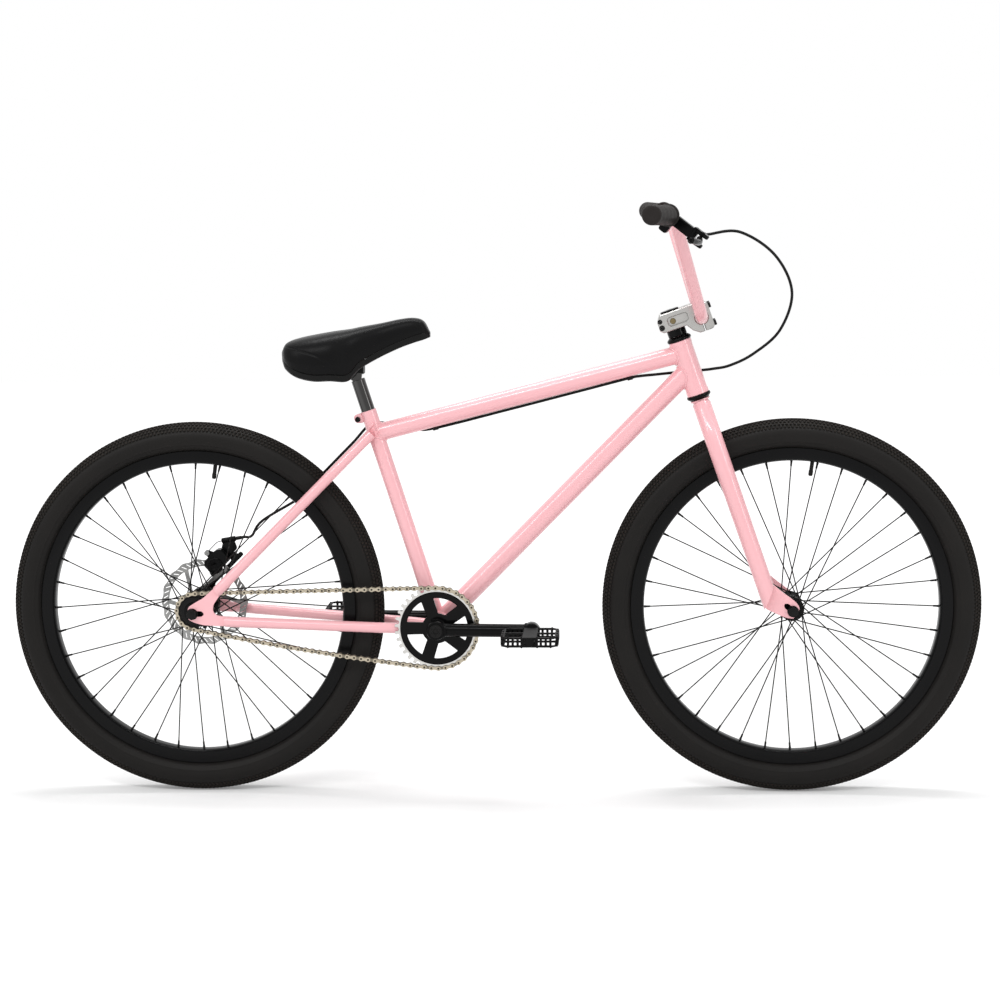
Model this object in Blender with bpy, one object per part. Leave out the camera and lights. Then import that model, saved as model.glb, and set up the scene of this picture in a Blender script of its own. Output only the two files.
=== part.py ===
"""A 26 inch BMX cruiser: steel frame and fork, single speed drive, rear disc brake.

Metres. +X is forward, +Y is the rider's left, +Z is up. The origin is on the ground between the axles.
The bicycle stands upright with its front wheel straight, and its right crank points forward.
"""

import math

import bmesh
import bpy
from mathutils import Matrix, Vector

X = Vector((1, 0, 0))
Y = Vector((0, 1, 0))
Z = Vector((0, 0, 1))

# Gaps between pieces that touch, or that turn or slide on each other.
GAP = 0.0003
RUNNING_GAP = 0.0005

# Wheels.
WHEELBASE = 1.066
TYRE_RADIUS = 0.337
TYRE_WIDTH = 0.057
TYRE_WALL = 0.003
TREAD_WIDTH = 0.024
TYRE_SIDE_ANGLES = (math.radians(85), math.radians(130))
# The hollow's corners on one side, outwards and sideways, as shares of half the tyre's width.
TYRE_INSIDE = ((-0.51, 0.70), (0.685, 0.575))
BEAD_WIDTH = 0.0075
TYRE_HEIGHT = 0.0575
BEAD_SEAT_RADIUS = TYRE_RADIUS - TYRE_HEIGHT
RIM_DEPTH = 0.0175
RIM_INNER_RADIUS = BEAD_SEAT_RADIUS - RIM_DEPTH
RIM_WIDTH = 0.032
RIM_FLANGE_HEIGHT = 0.006
RIM_WALL = 0.003
SPOKES_PER_SIDE = 18
SPOKE_DIAMETER = 0.002
SPOKE_CROSSINGS = 3
VALVE_DIAMETER = 0.008
VALVE_LENGTH = 0.030
VALVE_ANGLE = math.radians(82)
INNER_TUBE_CLEARANCE = 0.0095
RIM_V_DEPTH = 0.004
SPOKE_HOLE_INSET = 0.003
SPOKE_RIM_OFFSET = 0.004
SPOKE_SIDES = 3
WHEEL_STEPS = 24

# Hubs and axles.
FRONT_HUB_WIDTH = 0.100
REAR_HUB_WIDTH = 0.135
FRONT_FLANGE_RADIUS = 0.021
REAR_FLANGE_RADIUS = 0.029
FLANGE_THICKNESS = 0.0035
FRONT_FLANGE_SPREAD = 0.035
REAR_RIGHT_FLANGE = 0.029
REAR_LEFT_FLANGE = 0.033
HUB_BARREL_RADIUS = 0.0155
AXLE_DIAMETER = 0.0095
AXLE_NUT_RADIUS = 0.0095
AXLE_NUT_HEIGHT = 0.0085
AXLE_STICK_OUT = 0.002
CONE_RADIUS = 0.0085
CONE_LENGTH = 0.010
HUB_END_RADIUS = 0.0125
FREEWHEEL_SEAT_RADIUS = 0.0174
HUB_STEPS = 12
AXLE_STEPS = 8

# Steering.
HEAD_ANGLE = math.radians(71)
FORK_OFFSET = 0.032
CROWN_CLEARANCE = 0.023
FORK_CROWN_BOTTOM = TYRE_RADIUS + CROWN_CLEARANCE
HEAD_TUBE_ABOVE_CROWN = 0.054
HEAD_TUBE_FROM_AXLE = FORK_CROWN_BOTTOM + HEAD_TUBE_ABOVE_CROWN
HEAD_TUBE_LENGTH = 0.100
HEAD_TUBE_DIAMETER = 0.039
HEAD_TUBE_BORE = 0.034
CUP_INSERT = 0.008
CUP_DIAMETER = 0.0435
CUP_HEIGHT = 0.009
STEERER_DIAMETER = 0.0286
STEERER_WALL = 0.0025
STEERER_BELOW_STEM_TOP = 0.0025
RACE_RADIUS = 0.0175
RACE_HEIGHT = 0.0032
SPACER_DIAMETER = 0.0335
SPACER_HEIGHT = 0.0135
STEM_STACK = 0.032
STEM_WIDTH = 0.050
STEM_REACH = 0.049
STEM_REAR_WALL = 0.0127
STEM_CLAMP_HALF_HEIGHT = 0.0244
STEM_SLIT = 0.002
FACEPLATE_DEPTH = 0.018
TOP_CAP_HEIGHT = 0.003
TOP_CAP_PLUG = 0.012
STEM_BOTTOM = HEAD_TUBE_FROM_AXLE + HEAD_TUBE_LENGTH + CUP_HEIGHT + SPACER_HEIGHT
STEM_TOP = STEM_BOTTOM + STEM_STACK
BAR_CLAMP_HEIGHT = STEM_BOTTOM + 0.0045

# Fork legs.
LEG_DIAMETER_TOP = 0.0325
LEG_DIAMETER_BOTTOM = 0.0295
LEG_WALL = 0.0016
LEG_SPREAD = 0.0585
LEG_PLUG_LENGTH = 0.070
FORK_PLATE_THICKNESS = 0.005
FORK_SLOT_ANGLE = math.radians(40.6)
LEG_FOOT_HEIGHT = 0.010
# Heights above the crown's underside along the steering axis, and distances out from it.
FORK_SHOULDER = ((0.035, 0.012), (0.015, 0.025), (-0.015, 0.042), (-0.050, 0.050))
# The slanting end of a leg, as two points in height and distance ahead of the steering axis.
LEG_FOOT_CUT = ((0.0214, -0.0137), (0.055, 0.0149))

# Frame tubes.
REAR_CENTRE = 0.4351
BOTTOM_BRACKET_DROP = 0.031
SEAT_ANGLE = math.radians(72.6)
SEAT_TUBE_LENGTH = 0.405
SEAT_TUBE_DIAMETER = 0.0286
SEAT_TUBE_WALL = 0.0014
SEAT_TUBE_STEPS = 24
TOP_TUBE_DIAMETER = 0.0318
DOWN_TUBE_DIAMETER = 0.035
TUBE_WALL = 0.0012
TOP_TUBE_ON_HEAD = 0.0765
DOWN_TUBE_ON_HEAD = 0.046
TOP_TUBE_ON_SEAT = 0.362
SHELL_DIAMETER = 0.045
SHELL_BORE = 0.0412
SHELL_WIDTH = 0.068
STAY_DIAMETER = 0.019
STAY_WALL = 0.0012
MITRE_REACH = 0.030
PLUG_LENGTH = 0.006
TUBE_SIDES = 10
ROUND_SIDES = 14
BEARING_DEPTH = 0.009
BEARING_FLANGE = 0.0015
CLAMP_EAR_HEIGHT = 0.0188
CLAMP_EAR_SPREAD = 0.0155
CLAMP_SLOT = 0.002
CLAMP_SLOT_DEPTH = 0.030
CLAMP_BOLT_BEHIND = 0.0216
CLAMP_BOLT_DIAMETER = 0.0055
DROPOUT_THICKNESS = 0.005
DROPOUT_LOWER_ARM = 0.066
DROPOUT_UPPER_ARM = 0.046
DROPOUT_ARM_HALF_WIDTH = 0.0057
SEATSTAY_BELOW_AXLE = 0.005
SEATSTAY_ON_SEAT = 0.3677
# Shares of the seatstay's length, and how far out from the mid plane the stay is there.
SEATSTAY_PATH = (
    (0.2626, 0.0615),
    (0.503, 0.048),
    (0.70, 0.0435),
    (0.788, 0.04),
    (0.941, 0.024),
    (1.0, 0.017),
)
# The same for the chainstay, by distance ahead of the rear axle and then behind the crank axis.
CHAINSTAY_BESIDE_WHEEL = ((0.060, 0.070), (0.300, 0.0425), (0.322, 0.0405))
CHAINSTAY_BESIDE_CRANK = ((0.0845, 0.0355), (0.0595, 0.032), (0.0125, 0.022))
CHAINSTAY_BELOW_AXLE = 0.014
CHAINSTAY_BELOW_CRANK = 0.0055
CHAINSTAY_SQUASH = 0.92

# Drive.
CHAIN_PITCH = 0.0127
CHAINRING_TEETH = 36
FREEWHEEL_TEETH = 16
CHAIN_LINE = 0.046
CHAIN_PLATE_HEIGHT = 0.0082
CHAIN_WIDTH = 0.0088
CHAIN_SLOT = 0.0044
CHAIN_RUNG = 0.0055
CHAIN_STRIDE = 4
CHAIN_MOST_SAG = 0.06
CHAIN_STRAIGHT = math.radians(3)
PATH_STEPS = 240
TOOTH_THICKNESS = 0.0026
TOOTH_ROOT = 0.0058
TOOTH_ABOVE_PITCH = 0.0032
FREEWHEEL_BODY = 0.016
CHAINRING_DISC_THICKNESS = 0.0055
WINDOW_OUTSIDE = 0.055
WINDOW_INSIDE = 0.027
CHAINRING_DISC_RADIUS = 0.0645
CHAINRING_WINDOWS = 5
SPINDLE_DIAMETER = 0.019
SPINDLE_SIDES = 10
SPINDLE_BOLT = 0.004
BOLT_HEAD_RADIUS = 0.0115
SPACER_RADIUS = 0.0125
CRANK_LENGTH = 0.170
CRANK_TUBE_DIAMETER = 0.0235
CRANK_BOSS_INSIDE = 0.051
CRANK_BOSS_WIDTH = 0.023
CRANK_BOSS_RADIUS = 0.017
PEDAL_BOSS_INSIDE = 0.060
PEDAL_BOSS_RADIUS = 0.015
PEDAL_AXLE_DIAMETER = 0.010
PEDAL_LENGTH = 0.100
PEDAL_WIDTH = 0.092
PEDAL_THICKNESS = 0.020
PEDAL_GAP_FROM_CRANK = 0.004
PEDAL_RIM_WIDTH = 0.010
PEDAL_CAP = 0.006

# Handlebar and controls.
BAR_DIAMETER = 0.0222
BAR_WALL = 0.002
BAR_RISE = 0.187
BAR_LEAN = math.radians(73.9)
BAR_BACKSWEEP = math.radians(12)
BAR_UPSWEEP = math.radians(1)
BAR_FLAT = 0.058
BAR_HALF_WIDTH = 0.358
BAR_STRAIGHT_END = 0.180
BAR_TOP_CORNER = BAR_HALF_WIDTH - BAR_STRAIGHT_END
BAR_BEND_RADIUS = 0.050
BAR_BEND_STEPS = 3
CROSSBAR_DIAMETER = 0.0159
CROSSBAR_HEIGHT = 0.105
GRIP_LENGTH = 0.138
GRIP_DIAMETER = 0.033
GRIP_TIP = 0.004
GRIP_FLANGE = 0.003
LEVER_DROP = math.radians(37)
LEVER_FROM_GRIP = 0.002
LEVER_CLAMP_WIDTH = 0.014
LEVER_CLAMP_RADIUS = 0.0155
LEVER_ARM = 0.012
LEVER_PIVOT_AHEAD = 0.064
LEVER_PIN = 0.004
LEVER_YOKE = ((-0.0095, 0.0095), (0.049, 0.075), (-0.0125, 0.0125))
LEVER_SLOT = ((-0.0065, 0.030), (0.0535, 0.090), (-0.0053, 0.0053))
LEVER_EAR = ((-0.006, 0.006), (-0.002, 0.014), (-0.028, -0.012))
LEVER_BLADE_DIAMETER = 0.009
LEVER_BARREL = (-0.028, 0.0615, 0.007)
LEVER_BARREL_DIAMETER = 0.009
# Distances outwards along the bar and ahead of it.
LEVER_BLADE_PATH = (
    (-0.0015, 0.064),
    (0.016, 0.068),
    (0.040, 0.0725),
    (0.066, 0.071),
    (0.086, 0.067),
    (0.092, 0.067),
)

# Saddle and its post.
POST_DIAMETER = 0.0254
POST_WALL = 0.002
POST_SHOWN = 0.058
POST_INSERTED = 0.150
POST_TOP_WALL = 0.012
COVER_STEPS = 12
DRUM_ABOVE_POST = 0.009
DRUM_RADIUS = 0.0115
DRUM_HALF_WIDTH = 0.012
CRADLE = ((-0.0145, 0.0145), (-0.0145, 0.0145), (0.0015, 0.017))
POST_NOTCH = ((-0.018, 0.022), (-0.0148, 0.0148), (-0.030, 0.0018))
SADDLE_BASE_THICKNESS = 0.012
SADDLE_BASE_SHARE = 0.4
# Distance ahead of the drum, half width, and the heights of the underside and of the top.
SADDLE_STATIONS = (
    (-0.128, 0.030, 0.026, 0.047),
    (-0.120, 0.050, 0.013, 0.059),
    (-0.100, 0.064, 0.000, 0.066),
    (-0.070, 0.071, -0.007, 0.072),
    (-0.040, 0.069, -0.007, 0.077),
    (-0.010, 0.058, -0.008, 0.081),
    (0.010, 0.050, 0.012, 0.085),
    (0.045, 0.036, 0.032, 0.091),
    (0.080, 0.028, 0.048, 0.098),
    (0.105, 0.024, 0.057, 0.100),
    (0.122, 0.019, 0.062, 0.094),
    (0.133, 0.009, 0.066, 0.075),
)

# Brake.
ROTOR_RADIUS = 0.080
ROTOR_THICKNESS = 0.0018
ROTOR_FROM_DROPOUT = 0.0153
ROTOR_PLANE = REAR_HUB_WIDTH / 2 - ROTOR_FROM_DROPOUT
ROTOR_RING_WIDTH = 0.014
ROTOR_ARMS = 6
ROTOR_HUB_RADIUS = 0.027
ROTOR_SPIGOT_RADIUS = 0.0205
ROTOR_BOSS_RADIUS = 0.0245
ROTOR_BOSS_LENGTH = 0.007
PAD_RUNNING_GAP = 0.0012
PAD_THICKNESS = 0.004
PAD_RADIUS = 0.0085
PAD_PLACE = (0.0647, 0.0326)
# The caliper is drawn along the seatstay and square to it, from the rear axle.
CALIPER_PIVOT = (0.0716, 0.0361)
CALIPER_DEPTH = (0.0385, 0.0619)
CALIPER_OUTLINE = (
    (0.050, 0.025),
    (0.055, 0.0205),
    (0.089, 0.0205),
    (0.094, 0.026),
    (0.094, 0.046),
    (0.086, 0.052),
    (0.057, 0.052),
    (0.050, 0.046),
)
CALIPER_BORE_FROM = 0.0585
BRACKET_DEPTH = (0.0622, 0.0672)
BRACKET_OUTLINE = (
    (0.014, 0.002),
    (0.030, 0.001),
    (0.034, 0.0095),
    (0.112, 0.0095),
    (0.112, 0.018),
    (0.104, 0.018),
    (0.102, 0.032),
    (0.090, 0.032),
    (0.088, 0.018),
    (0.056, 0.018),
    (0.054, 0.032),
    (0.042, 0.032),
    (0.040, 0.018),
    (0.022, 0.018),
    (0.014, 0.012),
)
# The cable's anchor, as distances ahead of the rear axle and above it.
ANCHOR_EAR = ((0.028, 0.084), (0.048, 0.084), (0.062, 0.098), (0.056, 0.114), (0.036, 0.112), (0.032, 0.096))
ANCHOR_EAR_DEPTH = (0.0569, 0.0619)
ANCHOR_BARREL = ((0.033, 0.1115), (0.059, 0.116))
ANCHOR_MIDDLE = 0.060
ANCHOR_DIAMETER = 0.010
ARM_DEPTH = (0.0622, 0.0662)
ARM_BOSS_RADIUS = 0.011
ARM_TIP = (0.0051, 0.0891)
ARM_TIP_RADIUS = 0.005
ARM_SHAFT_RADIUS = 0.005
ARM_SHAFT_FROM = 0.0598

# The brake cable's housing.
CABLE_DIAMETER = 0.005
CABLE_STEP = 0.015
CABLE_FROM_STAY = 0.0126
# Points of the free loop and of the fixed run: X from the rear axle, Y, and height above the ground.
CABLE_LOOP = (
    (0.9664, -0.150, 1.0045),
    (1.0282, -0.105, 0.9639),
    (1.0606, -0.060, 0.8987),
    (1.0429, -0.020, 0.8309),
    (0.9980, 0.004, 0.7880),
    (0.9575, 0.016, 0.7669),
    (0.9282, 0.0232, 0.7605),
    (0.9060, 0.0252, 0.7578),
)
CABLE_RUN = (
    (0.9057, 0.02522, 0.75776),
    (0.8820, 0.0256, 0.7556),
    (0.8573, 0.0230, 0.7540),
    (0.8250, 0.0140, 0.7517),
    (0.7980, 0.0050, 0.7499),
    (0.7806, 0.0010, 0.7470),
    (0.7000, 0.0, 0.7266),
    (0.5700, 0.0, 0.6937),
    (0.4338, 0.0040, 0.6598),
    (0.3972, 0.0172, 0.6567),
    (0.3680, 0.0235, 0.6597),
    (0.3420, 0.0262, 0.6668),
    (0.3150, 0.0262, 0.6655),
)
# Where it lies on the seatstay, as shares of the stay's length and its distance out from the mid plane.
CABLE_ON_STAY = ((0.900, 0.0290), (0.800, 0.0392), (0.700, 0.0435), (0.620, 0.0452), (0.573, 0.0465))
CABLE_TO_CALIPER = ((0.110, 0.0535, 0.4865),)

COLOURS = {
    "pink": ((0.93, 0.55, 0.58), 0.28, 0.0),
    "black_metal": ((0.02, 0.02, 0.022), 0.4, 0.6),
    "black_aluminium": ((0.022, 0.022, 0.024), 0.35, 0.6),
    "raw_aluminium": ((0.62, 0.62, 0.61), 0.38, 1.0),
    "steel": ((0.55, 0.55, 0.54), 0.3, 1.0),
    "chain_steel": ((0.50, 0.46, 0.38), 0.38, 1.0),
    "tyre_rubber": ((0.018, 0.018, 0.018), 0.75, 0.0),
    "grip_rubber": ((0.035, 0.032, 0.03), 0.8, 0.0),
    "black_plastic": ((0.02, 0.02, 0.02), 0.5, 0.0),
    "black_vinyl": ((0.02, 0.02, 0.021), 0.45, 0.0),
    "cable_black": ((0.015, 0.015, 0.015), 0.4, 0.0),
    "friction_pad": ((0.12, 0.09, 0.07), 0.8, 0.0),
}

# Places that everything else follows.
REAR_AXLE = Vector((-WHEELBASE / 2, 0, TYRE_RADIUS))
FRONT_AXLE = Vector((WHEELBASE / 2, 0, TYRE_RADIUS))
CRANK_AXIS = REAR_AXLE + Vector((REAR_CENTRE, 0, -BOTTOM_BRACKET_DROP))
UP_STEERER = Vector((-math.cos(HEAD_ANGLE), 0, math.sin(HEAD_ANGLE)))
AHEAD = Vector((math.sin(HEAD_ANGLE), 0, math.cos(HEAD_ANGLE)))
STEERER_FOOT = FRONT_AXLE - FORK_OFFSET * AHEAD
UP_SEAT_TUBE = Vector((-math.cos(SEAT_ANGLE), 0, math.sin(SEAT_ANGLE)))
UP_BAR = Vector((-math.cos(BAR_LEAN), 0, math.sin(BAR_LEAN)))


def on_steerer(height, ahead=0.0, left=0.0):
    """A point by its height along the steering axis, its distance ahead of it and to the left."""
    return STEERER_FOOT + height * UP_STEERER + ahead * AHEAD + left * Y


def on_seat_tube(height, ahead=0.0, left=0.0):
    """The same along the seat tube, measured from the crank axis."""
    across = Vector((math.sin(SEAT_ANGLE), 0, math.cos(SEAT_ANGLE)))
    return CRANK_AXIS + height * UP_SEAT_TUBE + ahead * across + left * Y


def polar(centre, radius, angle, left=0.0):
    """A point on a circle in the side view, offset to the left."""
    return centre + Vector((radius * math.cos(angle), left, radius * math.sin(angle)))


def side_point(centre, right, up, left=0.0):
    """A point offset from a centre in the side view."""
    return centre + Vector((right, left, up))


def pitch_radius(teeth):
    """The radius at which a chain's pins run on a sprocket."""
    return CHAIN_PITCH / (2 * math.sin(math.pi / teeth))


def clear_scene():
    for old in list(bpy.data.objects):
        bpy.data.objects.remove(old, do_unlink=True)


def make_materials():
    made = {}
    for name, (colour, roughness, metallic) in COLOURS.items():
        material = bpy.data.materials.new(name)
        material.use_nodes = True
        shader = material.node_tree.nodes["Principled BSDF"]
        shader.inputs["Base Color"].default_value = (*colour, 1)
        shader.inputs["Roughness"].default_value = roughness
        shader.inputs["Metallic"].default_value = metallic
        made[name] = material
    return made


def mesh_object(name, bm, material=None, smooth=True):
    """Turns a bmesh into an object, with every face pointing out."""
    bmesh.ops.recalc_face_normals(bm, faces=bm.faces)
    mesh = bpy.data.meshes.new(name)
    bm.to_mesh(mesh)
    bm.free()
    if smooth:
        mesh.shade_smooth()
        mesh.set_sharp_from_angle(angle=math.radians(35))
    piece = bpy.data.objects.new(name, mesh)
    bpy.context.scene.collection.objects.link(piece)
    if material:
        mesh.materials.append(MATERIALS[material])
    return piece


def joint_empty(name, place):
    """An empty on a joint's axis, which carries the pieces that move with it."""
    empty = bpy.data.objects.new(name, None)
    empty.location = place
    empty.empty_display_size = 0.03
    bpy.context.scene.collection.objects.link(empty)
    return empty


def attach(piece, empty):
    """Hangs a piece on an empty and moves the piece's origin there, leaving its shape where it is."""
    piece.data.transform(Matrix.Translation(-empty.location))
    piece.parent = empty
    return piece


def helper(piece):
    """Marks a cutter or a filler, which isn't a piece of the bicycle."""
    piece.hide_render = True
    piece.display_type = "WIRE"
    return piece


def combine(piece, other, operation):
    modifier = piece.modifiers.new(other.name, "BOOLEAN")
    modifier.operation = operation
    modifier.solver = "EXACT"
    modifier.object = helper(other)
    return piece


def cut(piece, *cutters):
    for cutter in cutters:
        combine(piece, cutter, "DIFFERENCE")
    return piece


def join(piece, *others):
    for other in others:
        combine(piece, other, "UNION")
    return piece


def directions_along(points):
    """The unit direction at each point of a path."""
    found = []
    for index in range(len(points)):
        ahead = points[min(index + 1, len(points) - 1)] - points[index]
        behind = points[index] - points[max(index - 1, 0)]
        step = Vector((0, 0, 0))
        if ahead.length:
            step += ahead.normalized()
        if behind.length:
            step += behind.normalized()
        found.append(step.normalized())
    return found


def smooth_path(points, steps):
    """A Catmull-Rom curve through the points, with this many steps between neighbours."""
    ends = [2 * points[0] - points[1], *points, 2 * points[-1] - points[-2]]
    path = []
    for index in range(1, len(ends) - 2):
        before, start, end, after = ends[index - 1 : index + 3]
        for step in range(steps):
            t = step / steps
            path.append(
                0.5
                * (
                    2 * start
                    + (end - before) * t
                    + (2 * before - 5 * start + 4 * end - after) * t * t
                    + (3 * start - before - 3 * end + after) * t * t * t
                )
            )
    path.append(points[-1])
    return path


def add_sweep(bm, points, radii, sides, bore_radii=None, squash=None):
    """A round tube along a path. bore_radii opens it from end to end; squash flattens its width along Y."""
    directions = directions_along(points)
    across = Y if abs(directions[0].dot(Y)) < 0.8 else Z
    rings = {"skin": [], "bore": []}
    for index, (point, direction) in enumerate(zip(points, directions)):
        across = (across - across.dot(direction) * direction).normalized()
        other = direction.cross(across)
        for kind, sizes in (("skin", radii), ("bore", bore_radii)):
            if sizes is None:
                continue
            ring = []
            for side in range(sides):
                angle = 2 * math.pi * (side + 0.5) / sides
                flat = squash[index] if squash else 1.0
                offset = math.cos(angle) * flat * across + math.sin(angle) * other
                ring.append(bm.verts.new(point + sizes[index] * offset))
            rings[kind].append(ring)
    for kind in rings:
        for ring, following in zip(rings[kind], rings[kind][1:]):
            for side in range(sides):
                after = (side + 1) % sides
                bm.faces.new((ring[side], ring[after], following[after], following[side]))
    for end in (0, -1):
        if bore_radii is None:
            bm.faces.new(rings["skin"][end])
            continue
        for side in range(sides):
            after = (side + 1) % sides
            skin, bore = rings["skin"][end], rings["bore"][end]
            bm.faces.new((skin[side], skin[after], bore[after], bore[side]))


def tube(name, points, diameter, material=None, sides=12, wall=None, end_diameter=None, squash=None):
    """A tube along a path, solid unless it is given a wall."""
    last = len(points) - 1
    end_diameter = end_diameter or diameter
    radii = [(diameter + (end_diameter - diameter) * index / last) / 2 for index in range(last + 1)]
    bores = [radius - wall for radius in radii] if wall else None
    bm = bmesh.new()
    add_sweep(bm, points, radii, sides, bores, squash)
    return mesh_object(name, bm, material)


def turned(name, profile, centre, axis, material=None, steps=24, closed=False):
    """A turned piece. The profile is (radius, distance along the axis) pairs.

    An open profile starts and ends on the axis. A closed one is the section of a ring.
    """
    axis = axis.normalized()
    across = Z if abs(axis.dot(Z)) < 0.8 else X
    across = (across - across.dot(axis) * axis).normalized()
    other = axis.cross(across)
    bm = bmesh.new()
    rings = []
    for radius, along in profile:
        if radius < 1e-9:
            rings.append([bm.verts.new(centre + along * axis)])
            continue
        ring = []
        for step in range(steps):
            angle = 2 * math.pi * step / steps
            spoke = math.cos(angle) * across + math.sin(angle) * other
            ring.append(bm.verts.new(centre + along * axis + radius * spoke))
        rings.append(ring)
    pairs = list(zip(rings, rings[1:]))
    if closed:
        pairs.append((rings[-1], rings[0]))
    for ring, following in pairs:
        for step in range(steps):
            after = (step + 1) % steps
            corners = [ring[step % len(ring)], ring[after % len(ring)]]
            corners += [following[after % len(following)], following[step % len(following)]]
            unique = list(dict.fromkeys(corners))
            bm.faces.new(unique)
    return mesh_object(name, bm, material)


def rod(name, start, end, diameter, material=None, steps=16):
    """A plain round bar between two points."""
    along = end - start
    radius = diameter / 2
    profile = [(0, 0), (radius, 0), (radius, along.length), (0, along.length)]
    return turned(name, profile, start, along, material, steps)


def ring_piece(name, centre, axis, outer, inner, start, end, material=None, steps=24):
    """A plain collar from start to end along its axis."""
    profile = [(outer, start), (outer, end), (inner, end), (inner, start)]
    return turned(name, profile, centre, axis, material, steps, closed=True)


def block(name, centre, size, material=None, turn=0.0):
    """A box of this size, turned in the side view."""
    bm = bmesh.new()
    bmesh.ops.create_cube(bm, size=1)
    bmesh.ops.scale(bm, vec=size, verts=bm.verts)
    bmesh.ops.rotate(bm, matrix=Matrix.Rotation(-turn, 3, "Y"), verts=bm.verts)
    bmesh.ops.translate(bm, vec=centre, verts=bm.verts)
    return mesh_object(name, bm, material, smooth=False)


def plate(name, outline, middle, thickness, material=None):
    """A flat plate in the side view: its outline is points, and middle is the Y of its mid plane."""
    bm = bmesh.new()
    near = [bm.verts.new((point.x, middle - thickness / 2, point.z)) for point in outline]
    face = bm.faces.new(near)
    grown = bmesh.ops.extrude_face_region(bm, geom=[face])
    moved = [item for item in grown["geom"] if isinstance(item, bmesh.types.BMVert)]
    bmesh.ops.translate(bm, vec=thickness * Y, verts=moved)
    return mesh_object(name, bm, material)


def arc(centre, radius, start, end, steps):
    """Points of an arc in the side view, with angles from +X towards +Z in degrees."""
    points = []
    for step in range(steps + 1):
        angle = math.radians(start + (end - start) * step / steps)
        points.append(side_point(centre, radius * math.cos(angle), radius * math.sin(angle)))
    return points


def flat_piece(name, outline, holes, middle, thickness, material=None):
    """A plate with openings, in the side view. Outline and holes are loops of points."""
    curve = bpy.data.curves.new(name, "CURVE")
    curve.dimensions = "2D"
    curve.fill_mode = "BOTH"
    curve.extrude = thickness / 2
    for loop in (outline, *holes):
        spline = curve.splines.new("POLY")
        spline.points.add(len(loop) - 1)
        for corner, point in zip(spline.points, loop):
            corner.co = (point.x, point.z, 0, 1)
        spline.use_cyclic_u = True
    guide = bpy.data.objects.new(name, curve)
    bpy.context.scene.collection.objects.link(guide)
    filled = bpy.data.meshes.new_from_object(guide.evaluated_get(bpy.context.evaluated_depsgraph_get()))
    bpy.data.objects.remove(guide, do_unlink=True)
    bm = bmesh.new()
    bm.from_mesh(filled)
    bmesh.ops.remove_doubles(bm, verts=bm.verts, dist=1e-6)
    bmesh.ops.rotate(bm, matrix=Matrix.Rotation(math.radians(90), 3, "X"), verts=bm.verts)
    bmesh.ops.translate(bm, vec=middle * Y, verts=bm.verts)
    return mesh_object(name, bm, material)


def loft(name, sections, material=None):
    """A body through closed sections that have the same number of points."""
    bm = bmesh.new()
    rings = [[bm.verts.new(point) for point in section] for section in sections]
    for ring, following in zip(rings, rings[1:]):
        for index in range(len(ring)):
            after = (index + 1) % len(ring)
            bm.faces.new((ring[index], ring[after], following[after], following[index]))
    bm.faces.new(rings[0])
    bm.faces.new(rings[-1])
    return mesh_object(name, bm, material)


def boxed(name, place, limits, material=None):
    """A box between three pairs of limits. place turns three distances into a point."""
    firsts, seconds, thirds = limits
    sections = []
    for first in firsts:
        loop = ((0, 0), (1, 0), (1, 1), (0, 1))
        sections.append([place(first, seconds[second], thirds[third]) for second, third in loop])
    return loft(name, sections, material)


def rounded_path(corners, bend, steps):
    """A path through the corners, with each inner corner rounded by an arc of this bend radius."""
    path = [corners[0]]
    for before, corner, after in zip(corners, corners[1:], corners[2:]):
        back = (before - corner).normalized()
        ahead = (after - corner).normalized()
        half = back.angle(ahead) / 2
        reach = bend / math.tan(half)
        centre = corner + (back + ahead).normalized() * bend / math.sin(half)
        start = corner + back * reach - centre
        end = corner + ahead * reach - centre
        turn = start.angle(end)
        for step in range(steps + 1):
            share = step / steps
            path.append(
                centre
                + (math.sin((1 - share) * turn) * start + math.sin(share * turn) * end) / math.sin(turn)
            )
    path.append(corners[-1])
    return path


# Wheels


def make_tyre(name, axle):
    """A wire beaded tyre: a round carcass that narrows to two beads between the rim's flanges."""
    half = TYRE_WIDTH / 2
    middle = TYRE_RADIUS - half
    bead_outside = RIM_WIDTH / 2 - RIM_WALL - GAP
    bead_inside = bead_outside - BEAD_WIDTH
    bead_foot = BEAD_SEAT_RADIUS + GAP
    over_flange = BEAD_SEAT_RADIUS + RIM_FLANGE_HEIGHT + GAP
    side = [(middle + half * math.cos(angle), half * math.sin(angle)) for angle in TYRE_SIDE_ANGLES]
    inner = [(middle + out * half, across * half) for out, across in TYRE_INSIDE]
    profile = [(bead_foot, -bead_outside), (over_flange, -bead_outside)]
    profile += [(radius, -along) for radius, along in reversed(side)]
    profile += [(TYRE_RADIUS, -TREAD_WIDTH / 2), (TYRE_RADIUS, TREAD_WIDTH / 2), *side]
    profile += [(over_flange, bead_outside), (bead_foot, bead_outside), (bead_foot, bead_inside)]
    profile += inner + [(radius, -along) for radius, along in reversed(inner)]
    profile += [(bead_foot, -bead_inside)]
    return turned(name, profile, axle, Y, "tyre_rubber", WHEEL_STEPS, closed=True)


def valve_direction():
    return math.cos(VALVE_ANGLE) * X + math.sin(VALVE_ANGLE) * Z


def make_inner_tube(name, axle):
    """The air tube inside the tyre, with its valve through the rim."""
    half = TYRE_WIDTH / 2
    section = half - TYRE_WALL - INNER_TUBE_CLEARANCE
    middle = TYRE_RADIUS - half
    angles = [2 * math.pi * step / 6 for step in range(6)]
    profile = [(middle + section * math.cos(angle), section * math.sin(angle)) for angle in angles]
    piece = turned(name, profile, axle, Y, "tyre_rubber", WHEEL_STEPS // 2, closed=True)
    tip = axle + (RIM_INNER_RADIUS - VALVE_LENGTH) * valve_direction()
    root = axle + middle * valve_direction()
    return join(piece, rod("fill_" + name, tip, root, VALVE_DIAMETER, None, 8))


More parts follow.
